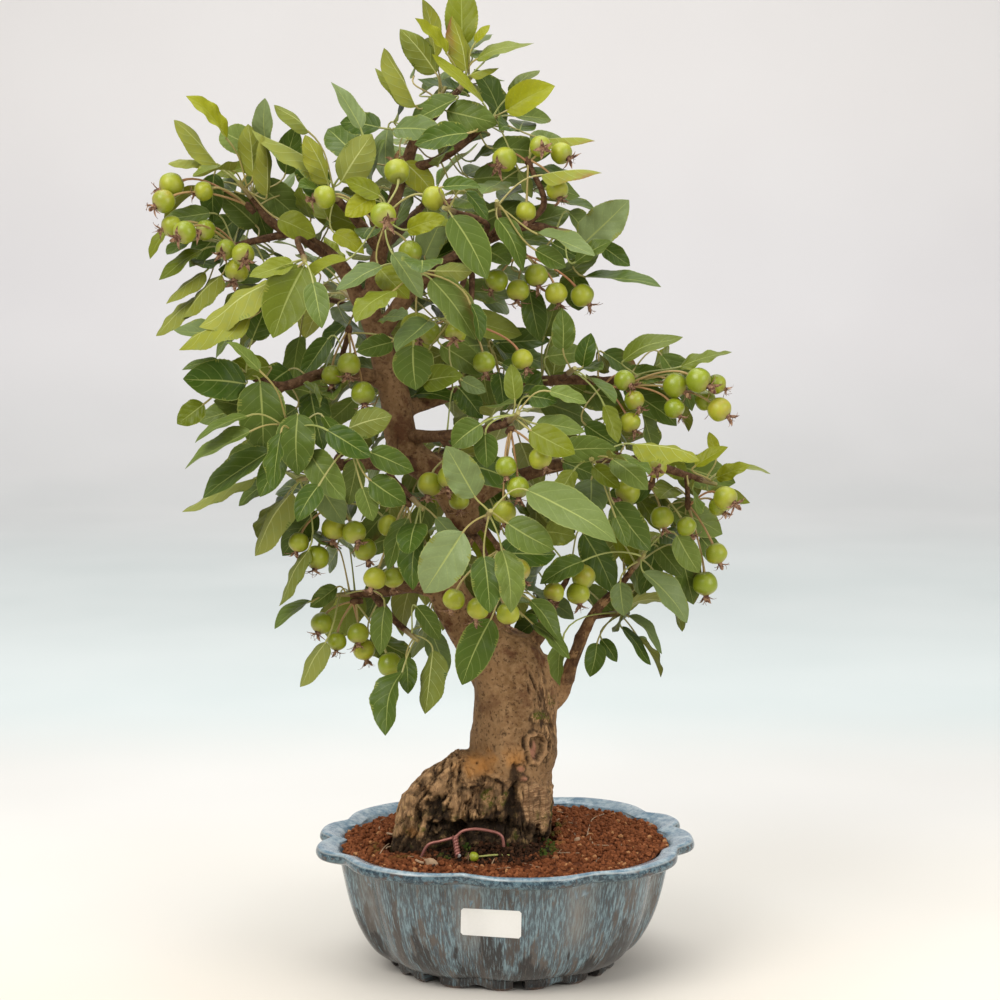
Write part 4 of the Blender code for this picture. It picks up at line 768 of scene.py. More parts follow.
def leaf_top_material():
    """The upper side: mid to grey-green with a satin sheen, paler veins, fresh where it is young."""
    f = Finish("leaf_top", 0.42, Specular_IOR_Level=0.18)
    rib, side, swell, edge = leaf_veins(f)
    tone, age, blush = f.paint("tone"), f.paint("age"), f.paint("blush")
    place = f.place()
    mottle = f.noise(place, 160.0, 3.0)
    net = f.step(f.cells(place, 520.0), 0.1, 0.5)
    green = f.mix(tone, (0.034, 0.073, 0.003), (0.155, 0.205, 0.040))
    green = f.mix(f.step(mottle, 0.35, 0.7, 0.0, 0.35), green, (0.082, 0.120, 0.010))
    green = f.mix(f.times(f.paint("cool"), 0.85), green, (0.225, 0.285, 0.120))
    green = f.mix(age, green, (0.265, 0.275, 0.004))
    green = f.mix(f.times(net, 0.10), green, (0.045, 0.060, 0.008))
    patch = f.step(f.noise(place, 70.0), 0.35, 0.6)
    green = f.mix(f.times(blush, patch), green, (0.20, 0.075, 0.03))
    grown = f.step(age, 0.0, 1.0, 1.0, 0.35)
    green = f.mix(f.times(side, 0.26, grown), green, (0.28, 0.34, 0.10))
    green = f.mix(f.times(rib, 0.6, grown), green, (0.38, 0.42, 0.12))
    green = f.mix(f.times(edge, 0.4, grown), green, (0.34, 0.37, 0.10))
    relief = f.minus(swell, f.times(rib, 1.4))
    relief = f.plus(relief, f.times(f.noise(place, 900.0, 2.0), 0.25))
    relief = f.plus(relief, f.times(net, 0.35))
    gloss = f.step(mottle, 0.3, 0.75, 0.36, 0.52)
    return f.done(green, f.bump(relief, 0.0005, 0.3), gloss)


def leaf_under_material():
    """The lower side: matt and paler, with raised pale veins."""
    f = Finish("leaf_underside", 0.62, Specular_IOR_Level=0.2)
    rib, side, swell, edge = leaf_veins(f)
    tone, age = f.paint("tone"), f.paint("age")
    place = f.place()
    green = f.mix(tone, (0.14, 0.165, 0.022), (0.235, 0.25, 0.050))
    green = f.mix(age, green, (0.32, 0.32, 0.012))
    patch = f.step(f.noise(place, 70.0), 0.35, 0.6)
    green = f.mix(f.times(f.paint("blush"), patch), green, (0.22, 0.080, 0.03))
    green = f.mix(f.step(f.noise(place, 220.0), 0.4, 0.7, 0.0, 0.3), green, (0.18, 0.23, 0.07))
    green = f.mix(f.times(side, 0.4), green, (0.37, 0.41, 0.15))
    green = f.mix(f.times(rib, 0.85), green, (0.45, 0.47, 0.17))
    raised = f.plus(rib, f.times(side, 0.7))
    relief = f.minus(raised, f.times(swell, 0.4))
    return f.done(green, f.bump(relief, 0.0006, 0.4))


def stalk_material():
    """Leaf stalks, shoots and fruit stems: pale green, salmon where they are blushed."""
    f = Finish("green_stalk", 0.45)
    place = f.place()
    green = f.mix(f.noise(place, 120.0), (0.24, 0.30, 0.07), (0.38, 0.40, 0.12))
    green = f.mix(f.paint("blush"), green, (0.42, 0.16, 0.08))
    green = f.mix(f.paint("dry"), green, (0.16, 0.09, 0.045))
    return f.done(green, f.bump(f.noise(f.place(1, 1, 0.3), 800.0), 0.0003, 0.4))


def fruit_material():
    """Crabapple skin: bright yellow-green and satin, with pale dots and a little blush."""
    f = Finish("crabapple_skin", 0.34, Specular_IOR_Level=0.5)
    place = f.place()
    tone, blush = f.paint("tone"), f.paint("blush")
    skin = f.mix(tone, (0.225, 0.285, 0.012), (0.38, 0.385, 0.022))
    skin = f.mix(f.step(f.noise(place, 90.0, 2.0), 0.4, 0.65, 0.0, 0.5), skin, (0.18, 0.245, 0.009))
    skin = f.mix(f.step(f.cells(place, 700.0), 0.16, 0.05, 0.0, 0.45), skin, (0.54, 0.57, 0.17))
    skin = f.mix(f.times(blush, f.step(f.noise(place, 150.0), 0.3, 0.7)), skin, (0.50, 0.20, 0.05))
    along = f.paint("along")
    skin = f.mix(f.step(along, 0.8, 1.0, 0.0, 0.6), skin, (0.40, 0.36, 0.12))
    skin = f.mix(f.step(along, 0.08, 0.0, 0.0, 0.7), skin, (0.22, 0.24, 0.05))
    gloss = f.step(tone, 0.0, 1.0, 0.30, 0.42)
    return f.done(skin, f.bump(f.noise(place, 600.0, 2.0), 0.0003, 0.25), gloss)


def calyx_material():
    """The dried calyx: brown and matt."""
    f = Finish("dry_calyx", 0.8)
    place = f.place()
    brown = f.mix(f.step(f.noise(place, 420.0), 0.35, 0.65), (0.090, 0.030, 0.016), (0.40, 0.235, 0.135))
    return f.done(brown, f.bump(f.noise(place, 900.0), 0.0005, 0.7))


# Heights in metres between which the bark turns from the foot's to the upper trunk's.
UPPER_BARK = (0.165, 0.235)


def bark_material():
    """Bark: tan-brown and specked on the trunk, rough and mossy at the base, red-brown on twigs."""
    f = Finish("crabapple_bark", 0.72, Specular_IOR_Level=0.15)
    place = f.place()
    tall = f.place(1.0, 1.0, 0.35)
    flat = f.place(0.5, 0.5, 3.0)
    thin, dark, pale = f.paint("thin"), f.paint("dark"), f.paint("pale")
    moss, ochre, rough, ringed = f.paint("moss"), f.paint("ochre"), f.paint("rough"), f.paint("ringed")
    pink = f.paint("pink")
    broad = f.noise(tall, 38.0, 4.0, 0.6)
    fine = f.noise(place, 260.0, 4.0, 0.65)
    strings = f.noise(tall, 230.0, 5.0, 0.72, 0.6)
    brown = f.mix(f.step(broad, 0.32, 0.68), (0.150, 0.078, 0.030), (0.30, 0.172, 0.078))
    brown = f.mix(f.step(fine, 0.35, 0.7, 0.0, 0.6), brown, (0.36, 0.225, 0.115))
    specks = f.step(f.noise(place, 420.0, 3.0, 0.6), 0.56, 0.66)
    brown = f.mix(f.times(specks, 0.7), brown, (0.065, 0.030, 0.013))
    patches = f.step(f.noise(place, 62.0, 4.0, 0.65), 0.5, 0.66)
    upper = f.step(f.height(), *UPPER_BARK, 0.4, 0.95)
    brown = f.mix(f.times(patches, upper), brown, (0.105, 0.042, 0.018))
    crackle = f.step(f.noise(tall, 120.0, 5.0, 0.75, 0.8), 0.60, 0.66, 0.0, 0.75)
    brown = f.mix(f.times(crackle, upper), brown, (0.060, 0.026, 0.012))
    # On rough bark: dark in the grooves of the relief is painted shade; tan on its ridges is partly the
    # bark's colour, partly a painted highlight.
    brown = f.mix(f.times(rough, f.step(strings, 0.49, 0.41, 0.0, 0.85)), brown, (0.050, 0.026, 0.012))
    brown = f.mix(f.times(rough, f.step(strings, 0.48, 0.60, 0.0, 0.85)), brown, (0.60, 0.36, 0.17))
    brown = f.mix(f.times(ochre, f.step(f.noise(place, 60.0), 0.3, 0.6, 0.25, 0.75)),
                  brown, (0.52, 0.235, 0.062))
    layers = f.noise(flat, 210.0, 4.0, 0.65, 0.5)
    lines = f.step(layers, 0.54, 0.46)
    brown = f.mix(f.times(ringed, 0.85), brown, (0.62, 0.37, 0.19))
    brown = f.mix(f.times(pale, 0.55), brown, (0.56, 0.33, 0.165))
    brown = f.mix(f.times(pink, f.step(fine, 0.3, 0.6, 0.6, 0.95)), brown, (0.42, 0.19, 0.125))
    # Dark lines in the valleys of the ringed bark's relief: painted shade.
    brown = f.mix(f.times(ringed, lines, 0.65), brown, (0.17, 0.082, 0.035))
    red = f.mix(f.step(fine, 0.35, 0.65), (0.062, 0.028, 0.013), (0.150, 0.080, 0.042))
    red = f.mix(f.step(f.cells(place, 380.0), 0.16, 0.06, 0.0, 0.6), red, (0.33, 0.25, 0.16))
    brown = f.mix(thin, brown, red)
    mossy = f.times(moss, f.step(f.noise(place, 150.0, 4.0, 0.75), 0.44, 0.58))
    brown = f.mix(mossy, brown, f.mix(fine, (0.030, 0.038, 0.006), (0.16, 0.155, 0.022)))
    # The dark paint: soil and damp earth at the foot, dark rims round knots, burrs, knobs and cuts, the eye's
    # rings, and painted shade in the bark's grooves, in sunken marks and under the ledge.
    brown = f.mix(f.times(dark, 0.95), brown,
                  f.mix(f.step(fine, 0.52, 0.68), (0.017, 0.010, 0.006), (0.090, 0.055, 0.026)))
    low = f.plus(f.times(broad, 0.5), f.times(fine, 0.8))
    low = f.minus(low, f.times(specks, 0.35))
    low = f.minus(low, f.times(crackle, 0.5))
    grooves = f.times(rough, strings)
    grooves = f.plus(grooves, f.times(ringed, layers))
    normal = f.bump(low, 0.0015, 0.8)
    normal = f.bump(grooves, 0.0032, 0.9, normal)
    return f.done(brown, normal, f.step(fine, 0.3, 0.7, 0.6, 0.85))


# Heights in metres where the glaze changes: over the feet, up the wall, on the lip's face and its crest,
# where a pale line is partly a painted highlight.
DRIP_TOP = 0.022
LOWER_WALL = (0.010, 0.060)
LIP_FACE = (0.0815, 0.0835)
LIP_CREST = (0.0885, 0.0900)


def glaze_material():
    """Dark grey-brown glaze with fine blue-grey streaks, a steel-blue lip top and dark, dripping feet; a pale
    line along the lip's crest is partly a painted highlight, and pale bands by the notches are painted
    highlights, partly thinner glaze.
    """
    f = Finish("pot_glaze", 0.16, Specular_IOR_Level=0.5, Coat_Weight=0.2, Coat_Roughness=0.06)
    place = f.place()
    tall = f.around(0.24)
    thread = f.around(0.15)
    drip = f.around(0.5)
    lip, roll, rib, bare = f.paint("lip"), f.paint("roll"), f.paint("rib"), f.paint("bare")
    height = f.height()
    streak = f.noise(tall, 150.0, 5.0, 0.75, 0.3)
    threads = f.noise(thread, 760.0, 4.0, 0.7)
    wide = f.noise(tall, 46.0, 3.0, 0.5)
    grain = f.noise(place, 1100.0, 3.0, 0.7)
    body = f.mix(f.step(wide, 0.35, 0.65), (0.050, 0.041, 0.036), (0.135, 0.110, 0.092))
    body = f.mix(f.step(threads, 0.5, 0.68, 0.0, 0.4), body, (0.20, 0.185, 0.165))
    lower = f.step(height, *LOWER_WALL)
    reach = f.plus(f.times(streak, 0.8), f.times(wide, 0.4))
    blue = f.step(f.plus(reach, f.times(lower, 0.05)), 0.55, 0.64)
    blue = f.times(blue, f.step(threads, 0.36, 0.54, 0.4, 1.0))
    teal = f.mix(f.step(threads, 0.42, 0.64), (0.036, 0.072, 0.098), (0.21, 0.31, 0.345))
    body = f.mix(f.times(blue, 0.9), body, teal)
    # Pale bands beside the notches: a painted highlight of the gloss's reflection on the curved lobe edges,
    # partly thinner glaze.
    body = f.mix(f.times(rib, f.step(streak, 0.35, 0.6, 0.25, 0.7)), body, (0.225, 0.205, 0.18))
    tongue = f.times(f.plus(f.noise(drip, 34.0, 3.0, 0.6), -0.5), 0.30)
    arch = f.step(f.minus(tongue, f.plus(height, -DRIP_TOP)), -0.002, 0.008)
    body = f.mix(f.times(arch, f.step(threads, 0.62, 0.52, 0.3, 0.92)), body, (0.020, 0.018, 0.018))
    face = f.step(height, *LIP_FACE)
    cloud = f.noise(place, 300.0, 4.0, 0.7)
    edge = f.mix(f.step(cloud, 0.4, 0.62), (0.120, 0.185, 0.205), (0.40, 0.44, 0.43))
    dim = f.mix(f.step(cloud, 0.42, 0.6), (0.014, 0.034, 0.050), (0.09, 0.155, 0.185))
    edge = f.mix(face, edge, dim)
    edge = f.mix(f.step(grain, 0.60, 0.70, 0.0, 0.6), edge, (0.50, 0.52, 0.48))
    edge = f.mix(f.step(f.noise(place, 110.0, 3.0), 0.56, 0.64, 0.0, 0.75), edge, (0.070, 0.042, 0.030))
    # A pale line along the lip's top edge: partly a painted highlight, partly the glaze's own pale crest.
    crest = f.step(height, *LIP_CREST)
    edge = f.mix(f.times(crest, 0.8), edge, (0.50, 0.53, 0.51))
    body = f.mix(roll, body, edge)
    top = f.mix(f.step(f.noise(place, 150.0, 5.0, 0.7), 0.35, 0.7), (0.095, 0.185, 0.260), (0.37, 0.46, 0.50))
    top = f.mix(f.step(grain, 0.62, 0.72, 0.0, 0.5), top, (0.52, 0.54, 0.52))
    body = f.mix(lip, body, top)
    clay = f.mix(grain, (0.10, 0.055, 0.035), (0.20, 0.12, 0.08))
    body = f.mix(bare, body, clay)
    relief = f.plus(f.times(streak, 0.5), f.times(f.noise(place, 55.0), 0.7))
    relief = f.plus(relief, f.times(threads, 0.15))
    return f.done(body, f.bump(relief, 0.0012, 0.5), f.step(grain, 0.35, 0.75, 0.12, 0.26))


def crumb_material():
    """Soil granules: red-brown with some ochre ones, darker where they are damp."""
    f = Finish("soil_granules", 0.92, Specular_IOR_Level=0.1)
    place = f.place()
    tone, damp = f.paint("tone"), f.paint("dark")
    brown = f.mix(tone, (0.145, 0.044, 0.015), (0.37, 0.128, 0.050))
    brown = f.mix(f.step(tone, 0.9, 1.0), brown, (0.55, 0.27, 0.115))
    brown = f.mix(f.step(f.noise(place, 700.0, 3.0), 0.3, 0.7, 0.0, 0.55), brown, (0.095, 0.030, 0.012))
    brown = f.mix(damp, brown, f.mix(tone, (0.010, 0.006, 0.004), (0.040, 0.023, 0.012)))
    brown = f.mix(f.times(f.paint("moss"), 0.9), brown, (0.045, 0.085, 0.012))
    return f.done(brown, f.bump(f.noise(place, 1300.0, 3.0), 0.0006, 0.7))


def soil_material():
    """What shows between the granules."""
    f = Finish("soil_bed", 0.95, Specular_IOR_Level=0.1)
    place = f.place()
    brown = f.mix(f.noise(place, 330.0, 4.0, 0.7), (0.060, 0.018, 0.008), (0.17, 0.055, 0.023))
    return f.done(brown, f.bump(f.cells(place, 380.0), 0.0022, 0.9))


def pebble_material():
    """Small tan pebbles, dry stems and bits of bark."""
    f = Finish("dry_bits", 0.8)
    place = f.place()
    tan = f.mix(f.noise(place, 260.0, 4.0, 0.6), (0.21, 0.12, 0.060), (0.55, 0.38, 0.235))
    # Dark paint: darker bits of bark, and the lump of painted shade by the big pebble.
    tan = f.mix(f.paint("dark"), tan, (0.055, 0.026, 0.013))
    return f.done(tan, f.bump(f.noise(place, 700.0, 3.0), 0.0006, 0.6))


def wire_material():
    """Copper-brown tie wire, mottled, with bright bare metal at its cut ends and uneven gloss."""
    f = Finish("tie_wire", 0.36, Metallic=0.55)
    place = f.place()
    skin = f.mix(f.noise(place, 240.0, 3.0), (0.20, 0.075, 0.062), (0.42, 0.17, 0.135))
    skin = f.mix(f.paint("cut"), skin, (0.72, 0.70, 0.66))
    worn = f.step(f.noise(place, 180.0), 0.3, 0.7, 0.28, 0.46)
    return f.done(skin, f.bump(f.noise(place, 500.0), 0.0003, 0.4), worn)


def paper_material():
    """The blank label: white paper, a little uneven."""
    f = Finish("blank_label", 0.42)
    fibres = f.noise(f.place(), 600.0, 3.0)
    paper = f.mix(fibres, (0.80, 0.795, 0.77), (0.86, 0.855, 0.835))
    return f.done(paper, f.bump(fibres, 0.0002, 0.3))


def plastic_material():
    """Black plastic mesh over the drainage holes."""
    f = Finish("drainage_plastic", 0.5)
    place = f.place()
    black = f.mix(f.noise(place, 300.0), (0.016, 0.016, 0.017), (0.045, 0.043, 0.041))
    return f.done(black, f.bump(f.noise(place, 900.0), 0.0003, 0.5))


# Leaves and fruits, placed as in the part's source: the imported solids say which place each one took.

class Packed:
    """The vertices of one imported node, to tell whether a leaf or a fruit is there."""

    def __init__(self, name):
        self.points = packed_points(name)

    def near(self, point):
        return np.min(np.linalg.norm(self.points - np.array(point), axis=1)) < TIP_SLACK

    def axis_of(self, centre, radius):
        """The axis of a fruit that stands exactly here, or nothing."""
        away = self.points - np.array(centre)
        reach = np.linalg.norm(away, axis=1)
        middle = np.abs(reach - radius * FRUIT_RINGS[0]) < RING_SLACK
        end = np.abs(reach - radius * FRUIT_RINGS[1]) < RING_SLACK
        found = np.unique(np.round(self.points[middle], 2), axis=0)
        if len(found) < RING_POINTS or not end.any():
            return None
        return Vector(unit(np.unique(np.round(away[end], 2), axis=0).mean(axis=0)))


def branch_nodes(nodes):
    """Photo nodes as points and radii."""
    return [from_photo(*node[:3]) for node in nodes], [node[3] for node in nodes]


def nearest_branch(tip):
    """The place on a branch that a twig to this tip would grow from, the way it runs and its radius."""
    best = None
    for nodes in BRANCHES.values():
        points, radii = branch_nodes(nodes)
        for k in range(len(points) - 1):
            along = (points[k + 1] - points[k]).normalized()
            for part in (0.0, 1 / 3, 2 / 3, 1.0):
                start = points[k].lerp(points[k + 1], part)
                reach = tip - start
                turn = reach.normalized().dot(along)
                cost = reach.length * (PLAIN_COST - TURN_SAVING * turn)
                radius = radii[k] * (1 - part) + radii[k + 1] * part
                if best is None or cost < best[0]:
                    best = (cost, start, along, radius)
    return best[1:]


def plan_twig(spur):
    """The twig's path and radii, or nothing where a branch ends there, then the spur's place and way."""
    tip = from_photo(*spur)
    for nodes in BRANCHES.values():
        points = branch_nodes(nodes)[0]
        if (points[-1] - tip).length < SPUR_REACH:
            return None, points[-1], (points[-1] - points[-2]).normalized()
    start, along, radius = nearest_branch(tip)
    reach = (tip - start).length
    root_radius = min(radius * TWIG_ROOT_SHARE, TWIG_ROOT)
    if reach < BENT_REACH:
        return ([start, tip], [root_radius, TWIG_END]), tip, (tip - start).normalized()
    bend = start + (along * reach + tip - start) * BEND_SHARE
    out = (tip - bend).normalized()
    return ([start, bend, tip], [root_radius, TWIG_MIDDLE, TWIG_END]), tip, out


def spur_cost(spur, spot):
    """How poorly a seen leaf would hang from this spur, by the stalk's length and bend in the photo."""
    stalk = Vector((spot[0] - spur[0], spot[1] - spur[1]))
    blade = Vector((spot[2] - spot[0], spot[3] - spot[1]))
    bend = 1 - stalk.normalized().dot(blade.normalized())
    return max(stalk.length, SHORT_STALK_PX) + BEND_COST_PX * bend + max(0.0, stalk.length - LONG_STALK_PX)


def twigs():
    """The path and radii of each twig to a spur that no branch reaches."""
    for entry, _ in list(SPURS.values()) + list(BUNCHES.values()):
        twig = None if isinstance(entry, str) else plan_twig(entry)[0]
        if twig:
            yield twig


def sort_leaves():
    """The seen leaves by the spur that each hangs from best."""
    sprays = {name: [] for name in SPURS}
    front = [name for name in SPURS if not name.startswith("back_")]
    for spot in SEEN_LEAVES:
        best = min(front, key=lambda name: spur_cost(SPURS[name][0], spot))
        sprays[best].append(spot)
    return sprays


def seen_leaf(draw, spot, depth):
    """A leaf known from the photo, at this depth."""
    bx, by, tx, ty, wide_px = spot
    base = from_photo(bx, by, depth)
    flat = from_photo(tx, ty, depth)
    run = (flat - base).length
    tilt = draw.uniform(*SEEN_TILT)
    tip = from_photo(tx, ty, depth + run * tilt)
    length = (tip - base).length
    seen = wide_px * (base - EYE).length / FOCAL_PX
    width = max(seen, min(length * FULL_WIDTH, seen * WIDTH_GAIN))
    along = (tip - base).normalized()
    turn = math.acos(min(1.0, seen / width)) * TURN_SHARE
    face = SEEN_FACE - along * SEEN_FACE.dot(along)
    face.normalize()
    side = along.cross(face)
    sign = 1 if side.z > 0 else -1
    up = face * math.cos(turn) + side * math.sin(turn) * sign
    return {"base": base, "tip": tip, "up": up, "width": width, "spot": spot,
            "fold": draw.uniform(*SEEN_FOLD), "arch": draw.uniform(*SEEN_ARCH)}


def ruled_leaf(draw, start, out, heart):
    """A leaf grown by rule from a spur: outward, a little down, blade turned to the light."""
    away = start - heart
    away.z *= 0.6
    away.normalize()
    spread = Vector((draw.gauss(0, 1), draw.gauss(0, 1), draw.gauss(-0.15, 0.8))).normalized()
    way = (out * 0.5 + away * 0.8 + spread * 0.95).normalized()
    base = start + way * draw.uniform(*RULED_STALK)
    droop = Vector((0, 0, -draw.uniform(*RULED_DROOP)))
    blade_way = (way + droop).normalized()
    length = draw.uniform(*RULED_LENGTH)
    up = (Vector((0, 0, 1)) + away * 0.7 + spread * 0.35).normalized()
    return {"base": base, "tip": base + blade_way * length, "up": up,
            "width": length * draw.uniform(*RULED_WIDTH),
            "fold": draw.uniform(*RULED_FOLD), "arch": draw.uniform(*RULED_ARCH)}


def plan_spray(name, spots, end):
    """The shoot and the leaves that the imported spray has."""
    draw = name_draw(name, 1000, 1)
    packed = Packed("leaves_" + name)
    spur, more = SPURS[name]
    tip, out = end
    length = SHOOT_LENGTH + SHOOT_GROWTH * (len(spots) + more)
    path = [tip + out * SHOOT_GAP, tip + out * (SHOOT_GAP + length)]
    out = (path[1] - path[0]).normalized()
    leaves = []
    heart = from_photo(*CANOPY_HEART)
    for number, spot in enumerate(spots):
        part = SEEN_PARTS[0] + SEEN_PARTS[1] * (number * GOLDEN % 1.0)
        for push in LEAF_PUSHES:
            leaf = seen_leaf(draw, spot, spur[2] - LEAF_AHEAD + push)
            if packed.near(leaf["tip"]):
                leaf["root"] = path[0].lerp(path[1], part)
                leaves.append(leaf)
                break
    wanted = len(leaves) + more
    for _ in range(more * TRIES_PER_LEAF):
        if len(leaves) == wanted:
            break
        part = draw.uniform(*RULED_PARTS)
        leaf = ruled_leaf(draw, path[0].lerp(path[1], part), out, heart)
        if packed.near(leaf["tip"]):
            leaf["root"] = path[0].lerp(path[1], part)
            leaves.append(leaf)
    return path, leaves


def plan_bunch(name, end):
    """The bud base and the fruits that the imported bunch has."""
    draw = name_draw(name, 77, 3)
    packed = Packed("fruit_" + name)
    tip, out = end
    start = tip + out * SHOOT_GAP
    if BUNCHES[name][0] in SPURS:
        down = Vector((0, 0, -1)) + out * out.z
        start = tip - out * KNOB_BACK + down.normalized() * KNOB_OFFSET
    path = [start, start + out * KNOB_LENGTH]
    fruits = []
    for number, (px, py) in enumerate(BUNCHES[name][1]):
        radius = FRUIT_RADIUS * draw.uniform(*FRUIT_SIZES)
        part = FRUIT_PARTS[0] + FRUIT_PARTS[1] * (number * GOLDEN % 1.0)
        for push in FRUIT_PUSHES:
            depth = path[0].y - FRUIT_AHEAD + push + draw.uniform(*FRUIT_STRAY)
            centre = from_photo(px, py, depth)
            # The part's source draws two numbers here for the lean, which is read from the solid instead.
            draw.random()
            draw.random()
            axis = packed.axis_of(centre, radius)
            if axis is not None:
                fruits.append({"centre": centre, "radius": radius, "axis": axis,
                               "root": path[0].lerp(path[1], part)})
                break
    return path, fruits


# Leaf forms.

def outline_widths(stations):
    """The blade's width at each of its stations."""
    fine = catmull(LEAF_OUTLINE, 8)
    return np.interp(np.linspace(0, 1, stations), fine[:, 0], fine[:, 1])


def leaf_faces(stations):
    """Faces of the top, of the underside, and the small ends, for every leaf with so many stations."""
    columns = len(LEAF_ACROSS)
    top = np.arange(stations * columns).reshape(stations, columns)
    low = top.copy()
    inner = np.arange(stations * (columns - 2)).reshape(stations, columns - 2)
    low[:, 1:-1] = inner + stations * columns

    def quads(grid):
        return np.stack([grid[:-1, :-1], grid[:-1, 1:], grid[1:, 1:], grid[1:, :-1]], axis=-1).reshape(-1, 4)

    ends = []
    for row in (0, stations - 1):
        ends += [(top[row, k], top[row, k + 1], low[row, k + 1], low[row, k]) for k in range(1, columns - 2)]
    return quads(top), quads(low)[:, ::-1], np.array(ends)


LEAF_FORMS = {stations: (outline_widths(stations), *leaf_faces(stations))
              for stations in (LEAF_STATIONS, FILL_STATIONS)}


def add_blade(shape, leaf, style, stations=LEAF_STATIONS):
    """One blade as a thin closed form: folded on its midrib, arched, a little twisted and wavy."""
    outline, top_faces, under_faces, end_faces = LEAF_FORMS[stations]
    base, tip = np.array(leaf["base"]), np.array(leaf["tip"])
    length = np.linalg.norm(tip - base)
    along = (tip - base) / length
    up = unit(np.array(leaf["up"]) - along * np.array(leaf["up"]).dot(along))
    side = np.cross(along, up)
    t = np.linspace(0, 1, stations)[:, None]
    a = LEAF_ACROSS[None, :]
    gain = SEEN_GAIN if stations == LEAF_STATIONS else 1.0
    half = leaf["width"] * 0.5 * gain * outline[:, None]
    tooth = np.where(np.arange(stations) % 2, TOOTH, -TOOTH)[:, None]
    half = half * (1 + tooth * (np.abs(a) == 1))
    turn = style["twist"] * (t - 0.45)
    ups = up * np.cos(turn)[..., None] + side * np.sin(turn)[..., None]
    sides = side * np.cos(turn)[..., None] - up * np.sin(turn)[..., None]
    mid = base + along * (t * length)[..., None]
    mid = mid + up * (leaf["arch"] * length * 4 * t * (1 - t))[..., None]
    mid = mid + up * (style["hook"] * length * np.sin(2 * math.pi * t) * t)[..., None]
    mid = mid + side * (style["sway"] * length * np.sin(math.pi * t))[..., None]
    fold = leaf["fold"] * (1.2 - 0.5 * t) * (-1 if style["flip"] else 1)
    wave = style["wave"] * np.sin(2 * math.pi * style["waves"] * t + style["phase"] + 1.7 * (a > 0)) * a * a
    rise = np.sin(fold) * np.abs(a) - style["cup"] * a * a + wave
    veins = np.sin(2 * math.pi * VEIN_COUNT * (t - VEIN_LEAN * np.abs(a) ** VEIN_CURVE))
    rise = rise - VEIN_DEPTH * veins * (1 - np.abs(a)) * np.abs(a) * 4
    top = mid + sides * (half * a * np.cos(fold))[..., None] + ups * (half * rise)[..., None]
    thick = BLADE_THICK * (1 - a * a) * np.clip(half / 2.0, 0.3, 1)
    low = top - ups * (np.broadcast_to(thick, half.shape))[..., None]
    verts = np.vstack([top.reshape(-1, 3), low[:, 1:-1].reshape(-1, 3)])
    places = (LEAF_ACROSS, LEAF_ACROSS[1:-1])
    t_all = np.concatenate([np.repeat(t.ravel(), len(row)) for row in places])
    a_all = np.concatenate([np.tile(row, stations) for row in places])
    blush = style["blush"] * smooth(0.2, 0.9, a_all * style["blush_side"]) * smooth(0.2, 0.6, t_all)
    start = len(shape.slots)
    shown = 1 if style["flip"] else 0
    shape.add(verts, [top_faces, under_faces, end_faces], shown, along=t_all, across=a_all,
              tone=style["tone"], age=style["age"], blush=blush, cool=style["cool"])
    shape.paint_last(1 - shown, start + len(top_faces), len(under_faces))


def add_stalk(shape, leaf, blush):
    """A leaf stalk that leaves its shoot outward and bends into the blade."""
    root, base, tip = np.array(leaf["root"]), np.array(leaf["base"]), np.array(leaf["tip"])
    reach = np.linalg.norm(base - root)
    into = unit(tip - base)
    bend = base - into * reach * 0.38
    lift = root + (base - root) * 0.3 + np.array([0, 0, 0.12 * reach])
    path = bezier(root, lift, bend, base + into * 1.2, STALK_STATIONS)
    stations = np.linspace(0, 1, STALK_STATIONS)
    radii = np.interp(stations, np.linspace(0, 1, len(STALK_RADII)), STALK_RADII)
    rod(shape, path, radii, 6, 2, blush=blush)


# How much leaves differ from each other: twist, side bends, waves and cup of the blade.
STYLE_RANGES = {"twist": (-0.5, 0.5), "hook": (-0.035, 0.05), "sway": (-0.03, 0.03), "wave": (0.03, 0.13),
                "waves": (1.6, 3.2), "phase": (0, 6.28), "cup": (0.0, 0.22)}
COOL_SHARE = 0.15
YELLOW_SHARE = 0.12
BLUSHED_SHARE = 0.06


def leaf_style(draw, youth):
    """The small differences from leaf to leaf."""
    style = {key: draw.uniform(*span) for key, span in STYLE_RANGES.items()}
    style["tone"] = draw.betavariate(1.0, 1.35)
    style["age"] = youth * draw.uniform(0.5, 1.1)
    style["blush"] = 0.0
    style["blush_side"] = draw.choice((-1, 1))
    style["flip"] = False
    style["cool"] = draw.uniform(0.3, 0.8) if draw.random() < COOL_SHARE else 0.0
    if draw.random() < YELLOW_SHARE:
        style["age"] = max(style["age"], draw.uniform(0.25, 0.55))
    if draw.random() < BLUSHED_SHARE:
        style["blush"] = draw.uniform(0.3, 0.8)
    return style


# How young the leaves of a spray are, from 0 to 1; the others are full grown.
YOUNG_SPRAYS = {"apex_top": 0.55, "apex_left": 0.5, "apex_right": 0.35, "crown_left": 0.45, "left_tips": 0.3,
                "right_upper": 0.35, "right_tip": 0.6, "crown_mid": 0.15}
# Seen leaves that show their undersides, by the base in px.
UNDERSIDES = {

    (220, 168), (206, 162), (253, 177), (309, 132), (331, 182), (328, 184), (341, 182), (436, 73),
    (416, 107), (410, 104), (466, 71), (274, 280), (205, 272), (198, 297), (222, 275), (404, 162),
    (255, 478), (292, 492), (349, 428), (326, 642), (433, 650), (633, 444), (541, 175), (547, 139),
    (309, 550), (250, 318), (267, 196), (434, 271), (470, 75),
}
